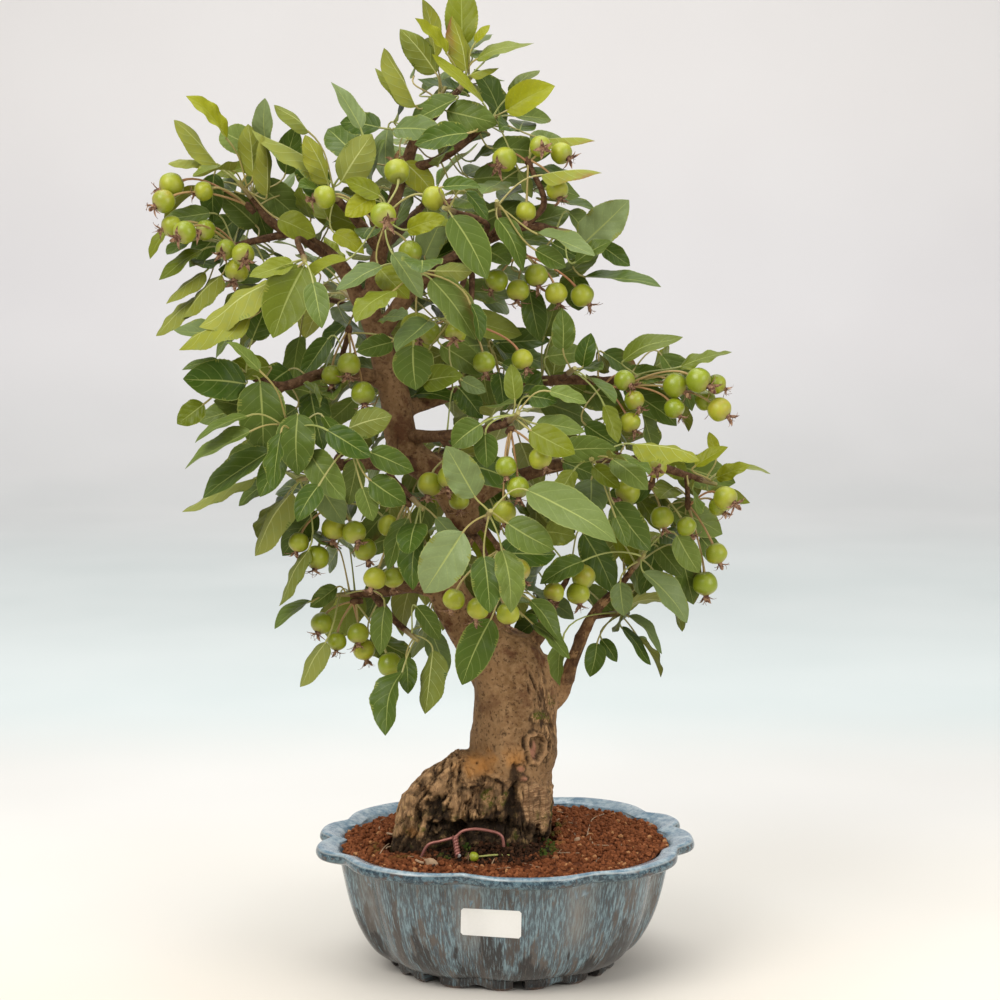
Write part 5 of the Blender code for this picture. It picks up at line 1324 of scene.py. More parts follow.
# Leaves that differ from their spray: base in px, then how young, blushed and blue-green.
LEAF_NOTES = {

    (506, 111): (0.95, 0.1, 0), (466, 71): (0.5, 1.0, 0), (541, 175): (0.4, 0.8, 0),
    (547, 139): (0.4, 0.9, 0), (227, 139): (0.95, 0, 0), (447, 54): (0.85, 0, 0), (475, 43): (0.95, 0, 0),
    (484, 104): (0.75, 0, 0), (477, 59): (0.4, 0, 0), (374, 197): (0.95, 0, 0), (334, 233): (0.9, 0, 0),
    (380, 196): (0.5, 0, 0), (407, 230): (0.75, 0, 0), (460, 226): (0.4, 0, 0), (347, 260): (0.65, 0, 0),
    (274, 280): (0.35, 0, 0), (404, 162): (0.6, 0, 0), (266, 143): (0, 0, 0.9), (361, 129): (0, 0, 0.8),
    (463, 532): (0, 0, 1.0), (475, 497): (0, 0, 0.7), (581, 246): (0, 0, 0.95), (633, 444): (0.5, 0, 0),
    (204, 404): (0.3, 0, 0), (491, 619): (0, 0, 0), (716, 455): (0.8, 0, 0), (716, 478): (0.7, 0, 0),
    (709, 492): (0.4, 0.2, 0), (695, 466): (0.7, 0, 0), (392, 253): (0, 0, 0.5), (382, 266): (0, 0, 0.4),
    (527, 490): (0.05, 0, 0.3), (680, 367): (0.3, 0, 0), (623, 361): (0.25, 0, 0),
    (416, 107): (0.3, 0, 0), (436, 73): (0.1, 0, 0), (293, 262): (0.5, 0, 0),
}


def make_spray(name, spots, end, materials, crowd):
    """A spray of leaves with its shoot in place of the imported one."""
    path, leaves = plan_spray(name, spots, end)
    shape = Shape()
    draw = name_draw(name, 31, 2)
    out = path[1] - path[0]
    shoot = catmull([path[0] - out.normalized() * SHOOT_SUNK, path[0].lerp(path[1], 0.5), path[1]], 5)
    count = len(shoot)
    rod(shape, shoot, np.linspace(*SHOOT_RADII, count), 8, 2, blush=0.25, dry=np.linspace(0.9, 0.1, count))
    for leaf in leaves:
        style = leaf_style(draw, YOUNG_SPRAYS.get(name, 0.0))
        base = leaf.get("spot", ())[:2]
        if base in LEAF_NOTES:
            style["age"], style["blush"], style["cool"] = LEAF_NOTES[base]
        style["flip"] = base in UNDERSIDES
        add_blade(shape, leaf, style)
        add_stalk(shape, leaf, draw.uniform(0.0, 0.35))
        crowd.add(leaf)
    shape.make("foliage_" + name, materials, "leaf", ["leaves_" + name])


# Leaves between the seen ones, grown by rule to close the canopy.

# The canopy's outline in the photo.
CANOPY = [

    (450, 20), (470, 22), (500, 36), (528, 44), (500, 62), (522, 84), (552, 88), (546, 112), (562, 132),
    (590, 142), (578, 152), (598, 170), (580, 186), (606, 197), (630, 208), (626, 232), (606, 246),
    (626, 264), (655, 284), (620, 286), (590, 302), (582, 322), (602, 345), (640, 342), (672, 340),
    (688, 354), (722, 354), (702, 366), (706, 384), (722, 408), (692, 424), (668, 432), (698, 454),
    (712, 442), (744, 468), (742, 494), (722, 516), (730, 560), (712, 576), (708, 598), (682, 614),
    (658, 602), (642, 610), (654, 636), (640, 650), (622, 640), (604, 668), (588, 668), (574, 640),
    (556, 626), (548, 650), (520, 645), (500, 642), (492, 676), (470, 684), (456, 650), (442, 696),
    (430, 710), (420, 690), (404, 690), (386, 672), (356, 664), (330, 660), (306, 682), (300, 668),
    (312, 630), (316, 602), (336, 588), (320, 574), (302, 560), (284, 596), (292, 560), (258, 548),
    (252, 524), (226, 496), (190, 508), (216, 470), (192, 464), (216, 432), (190, 424), (178, 412),
    (186, 396), (190, 372), (216, 350), (182, 344), (162, 330), (156, 308), (176, 280), (152, 258),
    (158, 230), (152, 200), (162, 182), (180, 172), (168, 156), (196, 150), (176, 122), (202, 126),
    (192, 100), (226, 116), (246, 116), (266, 100), (292, 110), (320, 112), (336, 120), (352, 88),
    (366, 106), (386, 120), (400, 96), (384, 54), (402, 60), (406, 32), (430, 28),
]
# Where the photo looks through the canopy: px, py, radius.
CLEARINGS = [(433, 415, 17), (590, 640, 20), (572, 585, 10), (318, 420, 6), (600, 205, 6), (345, 345, 6),
             (268, 345, 8), (300, 590, 16), (345, 575, 14), (660, 620, 14), (560, 245, 6), (640, 300, 10)]
# Where the photo shows bare wood.
BARE_WOOD = [
    [(366, 384), (411, 384), (416, 428), (440, 452), (476, 478), (480, 524), (450, 524), (420, 486),
     (396, 458), (376, 430)],
    [(420, 590), (470, 592), (504, 628), (545, 636), (562, 704), (470, 704), (446, 640)],
    [(548, 690), (562, 708), (612, 612), (652, 566), (640, 556), (598, 592), (572, 640)],
]
CELL = 4
CELLS = int(FRAME_PX / CELL)
CELL_MIDDLES = (np.arange(CELLS) + 0.5) * CELL
CELL_X, CELL_Y = np.meshgrid(CELL_MIDDLES, CELL_MIDDLES)
# Rows and columns of points over a blade, to count the squares it closes and to test for crossings.
COUNT_GRID = (20, 9)
CROSS_GRID = (7, 3)
REAR_START = 8
CROSS_GAP = 0.5
OUTSIDE_LIMIT = 0.03
HIDING_LIMIT = 0.04
FILL_FRONT = 330
FILL_REAR = 110
FILL_TRIES = 20000
FRONT_DEPTHS = (-75, 70)
REAR_DEPTHS = (12, 95)
FILL_STALK = (5.0, 34.0)
FILL_LENGTH = (29, 47)
FILL_WIDTH = (0.48, 0.61)
FILL_FOLD = (0.15, 0.45)
FILL_ARCH = (0.02, 0.09)
FILL_PAST = (0.35, 0.6)
# How much of a leaf has to close open squares, in the first share of the tries and after it.
EARLY_SHARE = 0.3
EARLY_NEED = 0.42
LATE_NEED = 0.17
OPEN_ENOUGH = 12


def blade_grid(leaf, rows=12, columns=5):
    """Points over a flat version of a blade."""
    base, tip = np.array(leaf["base"]), np.array(leaf["tip"])
    along = unit(tip - base)
    up = unit(np.array(leaf["up"]) - along * np.array(leaf["up"]).dot(along))
    side = np.cross(along, up)
    t = np.linspace(0, 1, rows)
    half = np.interp(t, *np.array(LEAF_OUTLINE).T) * leaf["width"] * 0.5
    across = np.linspace(-1, 1, columns)
    bend = leaf["arch"] * 4 * t * (1 - t) * np.linalg.norm(tip - base)
    fold = math.sin(leaf["fold"]) * np.abs(across)
    points = base + (tip - base) * t[:, None, None] + up * bend[:, None, None]
    points = points + side * (half[:, None] * across)[..., None] + up * (half[:, None] * fold)[..., None]
    return points.reshape(-1, 3)


class Canopy:
    """Which squares of the photo are closed by leaves, and what may not be hidden."""

    def __init__(self, wood):
        self.wood = wood
        self.guard = np.full((CELLS, CELLS), np.inf)
        self.closed = np.zeros((CELLS, CELLS), bool)
        self.rear = np.zeros((CELLS, CELLS), bool)
        self.inside = self.mask()
        self.boxes = []
        self.trees = []
        for outline in BARE_WOOD:
            self.guard_wood(outline)

    def mask(self):
        """The squares inside the canopy's outline and outside its clearings."""
        mask = polygon_mask(CANOPY)
        for px, py, radius in CLEARINGS:
            mask[np.hypot(CELL_X - px, CELL_Y - py) < radius] = False
        return mask

    def guard_wood(self, outline):
        """Keep leaves from growing in front of wood that the photo shows."""
        for row, column in zip(*np.nonzero(polygon_mask(outline))):
            aim = from_photo(CELL_MIDDLES[column], CELL_MIDDLES[row], 0) - EYE
            hit = self.wood.ray_cast(EYE, aim.normalized())[0]
            if hit is not None:
                self.guard[row, column] = hit.y - 1
                self.closed[row, column] = True

    def squares(self, points):
        """Rows and columns of the squares in which the photo would show some points."""
        px, py = to_photo(points)
        return (np.clip(py / CELL, 0, CELLS - 1).astype(int), np.clip(px / CELL, 0, CELLS - 1).astype(int))

    def flat_squares(self, points):
        """The same with every point at depth 0, as the rear of the canopy is counted."""
        return self.squares(points * (1, 0, 1))

    def add(self, leaf, guard=True):
        """Count a leaf in."""
        grid = blade_grid(leaf, *COUNT_GRID)
        rows, columns = self.squares(grid)
        self.closed[rows, columns] = True
        if guard:
            np.minimum.at(self.guard, (rows, columns), grid[:, 1])
        back = grid[:, 1] > REAR_START
        if back.any():
            self.rear[self.flat_squares(grid[back])] = True
        self.solid(blade_grid(leaf, *CROSS_GRID), grid_quads(*CROSS_GRID, False))

    def solid(self, points, faces):
        self.boxes.append((points.min(axis=0), points.max(axis=0)))
        self.trees.append(search_tree(points, faces))

    def add_ball(self, centre, radius):
        """Count a fruit in: nothing grows in front of it or through it."""
        around = np.array([(math.cos(a) * math.cos(b), math.sin(b), math.sin(a) * math.cos(b))
                           for b in (-1.2, -0.5, 0.2, 0.9) for a in np.arange(12) * math.pi / 6])
        points = np.array(centre) + around * radius * 1.1
        rows, columns = self.squares(points)
        self.closed[rows, columns] = True
        np.minimum.at(self.guard, (rows, columns), np.full(len(points), centre[1] - radius))
        self.solid(points, grid_quads(4, 12, True))

    def free(self, leaf):
        """Whether a leaf fits without crossing another leaf, a fruit or wood."""
        points = blade_grid(leaf, *CROSS_GRID)
        low, high = points.min(axis=0) - CROSS_GAP, points.max(axis=0) + CROSS_GAP
        tree = search_tree(points, grid_quads(*CROSS_GRID, False))
        if tree.overlap(self.wood):
            return False
        return not any((low <= b).all() and (high >= a).all() and tree.overlap(other)
                       for (a, b), other in zip(self.boxes, self.trees))

    def gain(self, leaf, rear):
        """How much of a leaf closes open squares, or nothing where it hides or leaves what it may not."""
        grid = blade_grid(leaf)
        rows, columns = self.squares(grid)
        guard = self.guard[rows, columns]
        hides = np.isfinite(guard) & (grid[:, 1] < guard + 1)
        if np.mean(~self.inside[rows, columns]) > OUTSIDE_LIMIT or np.mean(hides) > HIDING_LIMIT:
            return 0.0
        if rear:
            return float(np.mean(~self.rear[self.flat_squares(grid)]))
        return float(np.mean(~self.closed[rows, columns]))


def polygon_mask(outline):
    """The squares whose middles lie inside an outline."""
    odd = np.zeros((CELLS, CELLS), bool)
    for (ax, ay), (bx, by) in zip(outline, outline[1:] + outline[:1]):
        crosses = (ay > CELL_Y) != (by > CELL_Y)
        with np.errstate(divide="ignore", invalid="ignore"):
            odd ^= crosses & (CELL_X < (bx - ax) * (CELL_Y - ay) / (by - ay) + ax)
    return odd


def wood_points():
    """Places on branches and twigs that a leaf stalk may grow from."""
    rows = []
    paths = [branch_nodes(nodes)[0] for nodes in BRANCHES.values()]
    for points in paths + [twig[0] for twig in twigs()]:
        rows += list(catmull(points, 6)[2:])
    return np.array(rows)


def fill_leaf(draw, anchors, heart, open_squares, rear):
    """A leaf over a random open square, or nothing where no wood is in reach of its stalk."""
    row, column = open_squares[draw.integers(len(open_squares))]
    depth = draw.uniform(*(REAR_DEPTHS if rear else FRONT_DEPTHS))
    target = np.array(from_photo((column + 0.5) * CELL, (row + 0.5) * CELL, depth))
    away = unit((target - heart) * (1, 1, 0.55))
    way = unit(away * 0.8 + draw.normal(size=3) * (0.75, 0.55, 0.6) + (0, -0.1, -0.45))
    length = draw.uniform(*FILL_LENGTH)
    base = target - way * length * draw.uniform(*FILL_PAST)
    reach = np.linalg.norm(anchors - base, axis=1)
    k = int(reach.argmin())
    if not FILL_STALK[0] < reach[k] < FILL_STALK[1]:
        return None
    light = np.array([0, 0.35, 0.75] if rear else [0, -0.9, 0.5])
    up = unit(light + away * 0.35 + draw.normal(size=3) * 0.27)
    return {"base": base, "tip": base + way * length, "up": up, "width": length * draw.uniform(*FILL_WIDTH),
            "fold": draw.uniform(*FILL_FOLD), "arch": draw.uniform(*FILL_ARCH), "root": anchors[k]}


def grow_fill(canopy, anchors):
    """Leaves that close the canopy: each grows from the nearest wood to an open place."""
    draw = np.random.default_rng(SEED + 9)
    heart = np.array(from_photo(*CANOPY_HEART))
    grown = []
    for rear, wanted in ((False, FILL_FRONT), (True, FILL_REAR)):
        count = 0
        for attempt in range(FILL_TRIES):
            open_squares = np.argwhere(canopy.inside & ~(canopy.rear if rear else canopy.closed))
            if count == wanted or len(open_squares) < OPEN_ENOUGH:
                break
            need = EARLY_NEED if attempt < FILL_TRIES * EARLY_SHARE else LATE_NEED
            leaf = fill_leaf(draw, anchors, heart, open_squares, rear)
            if leaf is None or canopy.gain(leaf, rear) < need or not canopy.free(leaf):
                continue
            canopy.add(leaf, guard=False)
            grown.append(leaf)
            count += 1
    return grown


def make_fill(canopy, materials):
    """The leaves between, in two pieces."""
    draw = random.Random(SEED + 11)
    shapes = [Shape(), Shape()]
    for number, leaf in enumerate(grow_fill(canopy, wood_points())):
        shape = shapes[number % 2]
        add_blade(shape, leaf, leaf_style(draw, 0.0), FILL_STATIONS)
        add_stalk(shape, leaf, draw.uniform(0.0, 0.4))
    for number, shape in enumerate(shapes):
        shape.make("inner_leaves_%d" % (number + 1), materials, "leaf")


# Fruit forms.

KNOB_SUNK = 3.0
# (share of a knob's length, radius)
KNOB_RADII = [(0, 1.8), (0.35, 2.3), (0.6, 2.5), (0.9, 1.9), (1, 1.0)]
BLUSHED_FRUIT_SHARE = 0.05
STEM_STATIONS = 12
# (share of a stem's length, radius)
STEM_RADII = [(0, 1.15), (0.12, 0.75), (0.7, 0.68), (0.93, 0.85), (1, 1.1)]
CALYX_SIDES = 10
# (height, width) of the calyx neck in shares of the fruit's radius; the sepals leave from one ring of it.
CALYX_NECK = [(0.0, 0.30), (0.1, 0.24), (0.2, 0.23), (0.27, 0.27), (0.2, 0.12)]
SEPAL_RING = 3
SEPALS = 5
SEPAL_HALVES = (0.16, 0.19, 0.15, 0.08, 0.012)
SEPAL_THICK = 0.2
STAMENS = 4
STAMEN_RADII = (0.2, 0.2, 0.18, 0.16, 0.13)


def add_fruit(shape, fruit, draw, stem=True):
    """A crabapple with its calyx, on its stem."""
    centre, axis = np.array(fruit["centre"]), np.array(fruit["axis"])
    radius = fruit["radius"] * FRUIT_TRIM
    side = unit(np.cross(axis, (0.2, 0.9, 0.4)))
    across = np.cross(axis, side)
    angle = np.arange(FRUIT_ROUND) * 2 * math.pi / FRUIT_ROUND
    fine = catmull(FRUIT_PROFILE, 2)
    height, wide = fine[:, 0], fine[:, 1]
    ribs = 1 + 0.02 * np.cos(FRUIT_LOBES * angle)[None, :] * smooth(-0.2, 1.0, height)[:, None]
    flat = radius * wide[:, None] * ribs
    out = side * np.cos(angle)[:, None] + across * np.sin(angle)[:, None]
    verts = centre + axis * (radius * height)[:, None, None] + out[None] * flat[..., None]
    share = np.repeat((height - height[0]) / (height[-1] - height[0]), FRUIT_ROUND)
    sun = unit(np.array([draw.uniform(-1, 1), -0.6, 0.8]))
    lit = np.tile(out, (len(height), 1)) @ sun
    blush = fruit.get("blush", 0.0) * smooth(-0.1, 0.9, lit)
    tone = draw.uniform(0.1, 0.95)
    faces = grid_quads(len(height), FRUIT_ROUND, True)
    shape.add(verts.reshape(-1, 3), [faces], 0, along=share, tone=tone, blush=blush)
    add_calyx(shape, centre + axis * radius * 0.93, axis, side, across, radius, draw)
    if stem:
        head = centre - axis * radius * 0.8
        root = np.array(fruit["root"])
        reach = np.linalg.norm(head - root)
        lift = root + (head - root) * 0.3 + np.array([0, 0, 0.1 * reach])
        path = bezier(root, lift, head - axis * reach * 0.3, head, STEM_STATIONS)
        radii = np.interp(np.linspace(0, 1, STEM_STATIONS), *zip(*STEM_RADII))
        rod(shape, path, radii, 7, 1, blush=draw.uniform(0.15, 0.95))


def add_calyx(shape, foot, axis, side, across, radius, draw):
    """The short neck, the five dried sepals and the stamens' remains at a fruit's far end."""
    heights, widths = np.array(CALYX_NECK).T * radius
    k = np.arange(CALYX_SIDES)
    angle = k * 2 * math.pi / CALYX_SIDES
    ring = side * np.cos(angle)[:, None] + across * np.sin(angle)[:, None]
    verts = foot + axis * heights[:, None, None] + ring[None] * widths[:, None, None]
    verts = np.vstack([verts.reshape(-1, 3), (foot + axis * heights[-1])[None]])
    count = len(CALYX_NECK) * CALYX_SIDES
    last = count - CALYX_SIDES
    cap = np.stack([last + k, last + (k + 1) % CALYX_SIDES, np.full(CALYX_SIDES, count)], axis=1)
    shape.add(verts, [grid_quads(len(CALYX_NECK), CALYX_SIDES, True), cap], 2)
    edge = foot + axis * heights[SEPAL_RING] * 0.9
    for k in range(SEPALS):
        turn = 2 * math.pi * (k + draw.uniform(-0.15, 0.15)) / SEPALS
        out = side * math.cos(turn) + across * math.sin(turn)
        add_sepal(shape, edge + out * widths[SEPAL_RING] * 0.9, axis, out, radius, draw)
    for _ in range(STAMENS):
        turn = draw.uniform(0, 2 * math.pi)
        out = side * math.cos(turn) + across * math.sin(turn)
        start = foot + axis * heights[2] + out * widths[SEPAL_RING] * draw.uniform(0.2, 0.8)
        end = start + (axis * draw.uniform(0.3, 0.8) + out * draw.uniform(-0.3, 0.5)) * radius
        bend = start + (axis * 0.3 + out * draw.uniform(0.0, 0.35)) * radius
        rod(shape, catmull([start, bend, end], 2), STAMEN_RADII, 4, 2)


def add_sepal(shape, start, axis, out, radius, draw):
    """One dried sepal, spread and curled back."""
    wide = np.cross(axis, out)
    spread = draw.uniform(0.2, 1.0)
    length = radius * draw.uniform(0.65, 1.05)
    way = unit(axis * (1.1 - spread) + out * spread)
    curl = unit(out - axis * draw.uniform(-0.3, 0.5))
    end = start + way * length * 0.6 + curl * length * 0.5
    path = bezier(start, start + way * length * 0.4, start + way * length * 0.7, end, len(SEPAL_HALVES))
    half = wide * (np.array(SEPAL_HALVES) * radius)[:, None]
    thick = unit(np.cross(wide, way)) * SEPAL_THICK
    strip = np.stack([path - half, path + thick, path + half, path - thick], axis=1).reshape(-1, 3)
    last = len(strip) - 4
    ends = np.array([(last, last + 1, last + 2, last + 3), (3, 2, 1, 0)])
    shape.add(strip, [grid_quads(len(SEPAL_HALVES), 4, True), ends], 2)


def make_bunch(name, end, materials, crowd):
    """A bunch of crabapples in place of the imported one."""
    path, fruits = plan_bunch(name, end)
    shape = Shape()
    draw = name_draw(name, 19, 5)
    out = (path[1] - path[0]).normalized()
    knob = catmull([path[0] - out * KNOB_SUNK, path[0], path[0].lerp(path[1], 0.5), path[1]], 4)
    swell = np.interp(np.linspace(0, 1, len(knob)), *zip(*KNOB_RADII))
    rod(shape, knob, swell, 9, 3, thin=0.9, rough=0.6)
    for fruit in fruits:
        fruit["blush"] = draw.uniform(0.2, 0.5) if draw.random() < BLUSHED_FRUIT_SHARE else 0.0
        add_fruit(shape, fruit, draw)
        crowd.add_ball(np.array(fruit["centre"]), fruit["radius"])
    shape.make("crabapples_" + name, materials, "crabapple", ["fruit_" + name])


# Wood.

def ridge_shape(ridges, steps):
    """A ring shape with soft ridges that wind along the piece, for a path made finer by some steps."""
    def bulge(step, angles):
        return 1 + sum(high * np.sin(count * angles + turn * step / steps + start)
                       for high, count, turn, start in ridges)
    return bulge


def wood_rod(shape, nodes, ridges, steps, sides):
    """A thick piece of wood along photo nodes."""
    rows = catmull([(*from_photo(*node[:3]), node[3]) for node in nodes], steps)
    rod(shape, rows[:, :3], rows[:, 3], sides, 0, ridge_shape(ridges, steps))


FUSED_BRANCHES = {"low_right": 7, "second": 4, "shoulder": 2, "left_mid": 2, "right_mid": 2, "crown_right": 2,
                  "apex": 2, "crown_left": 2, "low_left": 2, "left_low": 2, "front_low": 1, "back_low": 2}
SLIM_BRANCHES = {"low_right": 0.78}
VOXEL = 1.25
# How wide the foot stands on each side of its middle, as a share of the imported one, by rows of the photo.
FOOT_ROWS = (722, 744, 753, 760, 767, 774, 781, 788, 795, 827, 840)
FOOT_LEFT = (1.0, 1.0, 0.52, 0.6, 0.69, 0.79, 0.82, 0.85, 0.9, 0.87, 0.86)
FOOT_RIGHT = (1.0, 1.12, 1.17, 1.17, 1.17, 1.07, 0.96, 0.913, 0.885, 0.72, 0.62)
# Below this line, as px and py, the wood of the foot is black with damp earth.
DAMP_LINE = [(400, 836), (424, 834), (429, 808), (435, 797), (442, 796), (447, 808), (452, 819), (470, 819),
             (488, 816), (496, 811), (504, 808), (509, 792), (514, 788), (518, 797), (522, 810), (526, 819),
             (532, 825), (540, 831), (545, 831), (548, 822), (551, 802), (556, 796)]
# The ledge under which the wood of the foot is grown over with rough bark, as px and py; a painted shadow
# lies just under it.
LEDGE = [(450, 788), (458, 786), (468, 785), (476, 781), (483, 774), (496, 775), (508, 783), (516, 789),
         (524, 784), (556, 784)]
FOOT_STILL = (470, 522)
PX_MM = 0.68
BARK_PAINTS = ("dark", "pale", "moss", "ochre", "rough", "ringed", "pink", "thin")
# Heights in mm over which the foot is dark with soil, the moss ends and the bark thins.
SUNK_HEIGHTS = (91, 101)
MOSS_HEIGHTS = (100, 132)
THIN_HEIGHTS = (300, 530)
BRANCH_SIDES = 9
TWIG_SIDES = 7
# The lean of the bark's grooves on the left flare, and the ringed bark they spare: middle and half sizes.
GROOVE_LEAN = (0.78, 0.62)
CALM_SPOT = (537, 806, 18, 26)
MARK_REACH = 2.6


def fused_base():
    """Trunk, roots and the feet of the branches melted into one skin."""
    shape = Shape()
    wood_rod(shape, COLUMN, COLUMN_RIDGES, 5, 40)
    wood_rod(shape, TRUNK, TRUNK_RIDGES, 5, 28)
    for nodes in ROOTS:
        wood_rod(shape, nodes, ROOT_RIDGES, 6, 28)
    for name, count in FUSED_BRANCHES.items():
        if count > 1:
            slim = SLIM_BRANCHES.get(name, 1.0)
            nodes = [(*node[:3], node[3] * slim) for node in BRANCHES[name][:count]]
            wood_rod(shape, nodes, [], 5, 14)
    mesh = bpy.data.meshes.new("trunk_guide")
    mesh.from_pydata((np.vstack(shape.verts) * MM).tolist(), [], shape.faces)
    guide = put("trunk_guide", mesh)
    remesh = guide.modifiers.new("melt", "REMESH")
    remesh.mode = "VOXEL"
    remesh.voxel_size = VOXEL * MM
    soft = guide.modifiers.new("soften", "SMOOTH")
    soft.factor = 0.5
    soft.iterations = 5
    melted = worked_mesh(guide)
    bpy.data.objects.remove(guide)
    points, normals = vertex_rows(melted) / MM, vertex_rows(melted, "normal")
    faces = np.array([tuple(p.vertices) for p in melted.polygons if len(p.vertices) == 4])
    bpy.data.meshes.remove(melted)
    return points, normals, faces


# Marks on the front of the trunk: kind, centre px, py, half width and half height in px, lean in degrees.
MARKS = [
    ("hollow", 480, 832, 44, 14, 0), ("hollow", 512, 807, 6, 20, 4), ("hollow", 435, 810, 10, 15, -12),
    ("hollow", 418.5, 816, 4, 8, 0), ("hollow", 546, 845, 16, 10, 0), ("rough", 432, 795, 36, 44, 35),
    ("rough", 465, 795, 26, 20, 0), ("rough", 545, 718, 10, 40, -8),
    ("eye", 535, 747, 11.5, 18, 4), ("knot", 539, 718, 10, 8.5, 0), ("crack", 534, 684, 2.2, 24, -21),
    ("crack", 550, 722, 1.8, 16, -4), ("crack", 549, 742, 1.6, 14, 10), ("crack", 529, 690, 1.4, 10, -10),
    ("crack", 523, 744, 1.1, 16, 3), ("crack", 542, 668, 1.4, 12, -14),
    ("ring", 505, 734, 4.6, 4.6, 0), ("crack", 494, 748, 0.8, 7, -16), ("crack", 488, 724, 0.8, 3, 20),
    ("crack", 522, 701, 0.9, 3.5, 0), ("ochre", 479, 765, 26, 14, 0), ("ochre", 515, 757, 14, 12, 0),
    ("dent", 463.6, 760, 2.4, 3, 0), ("dent", 477, 762.5, 1.8, 2.6, 0), ("recess", 515, 776, 7, 12, 0),
    ("burr", 520.7, 769, 5, 5, 15), ("burr", 523.8, 778.5, 5, 4, 0), ("cut", 488.5, 798, 8.5, 14, 6),
    ("knob", 504, 799, 7, 8, 0), ("mossy", 490, 798, 8, 13, 0), ("mossy", 505, 799, 7, 8, 0),
    ("ringed", 536, 806, 17, 24, 6), ("knob", 470, 799, 8, 8, 30), ("knob", 459, 791, 6, 5, 10),
    ("knob", 433, 786, 12, 9, 30), ("knob", 411, 800, 9, 9, 0), ("knob", 410, 818, 8, 12, 0),
    ("mossy", 437, 814, 10, 12, 0), ("ochre", 411, 833, 9, 6, 0), ("mossy", 452, 828, 6, 6, 0),
    ("mossy", 553, 812, 3, 14, 0), ("mossy", 553, 702, 4.5, 6, 0), ("crack", 553, 703, 1.2, 6, 20),
    ("mossy", 540, 716, 8, 6, 0), ("lip", 474, 784, 16, 2.4, -6), ("lip", 497, 777, 16, 2.4, 22),
    ("groove", 459, 774, 2.4, 22, 12), ("groove", 446, 796, 2, 16, 30), ("groove", 424, 795, 2, 14, 35),
    ("groove", 478, 812, 1.6, 11, -25), ("groove", 467, 815, 1.6, 10, 15), ("groove", 440, 772, 1.6, 16, 50),
]


# Marks that show clean wood: the grooves of the bark stop at their edges.
CLEAN_MARKS = ("eye", "ring", "cut", "burr")


def mark_effect(kind, r, u, v):
    """How a mark moves the bark outward (mm) and paints it, at a distance r from its middle. The dark in
    sunken hollows, recesses, cracks, grooves, dents and the eye's slit is painted shade; a lip's pale top is
    a painted highlight and its dark underside a painted shadow.
    """
    inside = 1 - smooth(0.7, 1.1, r)
    core = 1 - smooth(0.1, 0.9, r)
    rim = band(r, 0.55, 0.8, 0.95, 1.3)
    ridge = band(r, 0.62, 0.72, 0.86, 0.96)
    inner = 1 - smooth(0.5, 0.68, r)
    ring = band(r, 0.5, 0.56, 0.62, 0.68) + band(r, 0.92, 0.98, 1.04, 1.12)
    slit = 1 - smooth(0.06, 0.2, np.hypot(u + 0.12, (v + 0.12) * 0.5))
    drop = (1 - smooth(0.3, 0.42, np.hypot(u * 1.2, v * 0.7 - 0.14))) * (1 - slit)
    eye = np.maximum(np.maximum(0.95 * slit, 0.85 * ring), 0.35 * inner * (1 - drop))
    return {
        # Hollows and recesses: sunk, and painted dark as painted shade.
        "hollow": (-5.0 * inside, {"dark": inside, "moss": 0.4 * inside}),
        "recess": (-2.6 * inside, {"dark": 0.9 * inside}),
        "rough": (0.0, {"rough": 1 - smooth(0.6, 1.25, r)}),
        # The eye's sunken slit is painted dark as painted shade.
        "eye": (2.6 * ridge - 1.2 * slit - 2.2 * inner,
                {"pale": 0.7 * ridge, "pink": 0.85 * drop, "dark": eye}),
        "knot": (1.3 * core, {"moss": 0.6 * core, "rough": 0.9 * inside, "dark": 0.45 * rim}),
        # Cracks and grooves: their sunken cores painted dark as painted shade.
        "crack": (-2.0 * core + 0.6 * rim, {"dark": core, "pale": 0.35 * rim}),
        "groove": (-2.2 * core, {"dark": core}),
        "ring": (0.7 * rim - 0.5 * core, {"pale": 0.4 * rim, "dark": 0.75 * (np.sin(8 * r) > 0.3) * inside}),
        "ochre": (0.0, {"ochre": 1 - smooth(0.2, 1.3, r)}),
        # A dent: sunk, and painted dark as painted shade.
        "dent": (-1.8 * core, {"dark": core}),
        "burr": (2.6 * core, {"pink": core, "pale": 0.3 * core, "dark": 0.85 * rim}),
        "knob": (2.2 * core, {"pale": 0.35 * core, "dark": 0.5 * rim}),
        "cut": (-0.6 * core + 1.4 * rim, {"pale": 0.35 * inside, "dark": 0.6 * rim}),
        "mossy": (0.2 * inside, {"moss": inside}),
        "ringed": (0.35 * inside * np.sin(v * 30 + 2.5 * u * u), {"ringed": 1 - smooth(0.7, 1.05, r)}),
        # A lip: pale on top as a painted highlight, dark beneath as a painted shadow.
        "lip": (2.4 * inside, {"pale": 0.4 * inside * (v < 0), "dark": 0.8 * inside * (v > 0.4)}),
    }[kind]


def carve(points, normals, paints):
    """Work the marks into the front of the trunk."""
    px, py = to_photo(points)
    front = smooth(0.05, 0.4, -normals[:, 1])
    wobble = np.array([noise.noise(Vector(p * 0.16)) + 0.6 * noise.noise(Vector(p * 0.4))
                       for p in points])
    for kind, x, y, wide, high, lean in MARKS:
        near = np.abs(px - x) + np.abs(py - y) < MARK_REACH * (wide + high)
        dx, dy = px[near] - x, py[near] - y
        cos, sin = math.cos(math.radians(lean)), math.sin(math.radians(lean))
        u, v = (dx * cos + dy * sin) / wide, (dy * cos - dx * sin) / high
        r = np.hypot(u, v) * (1 + (0.28 if kind in CLEAN_MARKS else 0.5) * wobble[near])
        move, colours = mark_effect(kind, r, u, v)
        if kind in CLEAN_MARKS:
            paints["dark"][near] *= smooth(0.65, 1.05, r)
            paints["rough"][near] *= smooth(0.5, 1.2, r) * 0.6 + 0.4
        points[near] += normals[near] * (move * front[near])[:, None]
        for key, value in colours.items():
            paints[key][near] = np.maximum(paints[key][near], value * front[near])


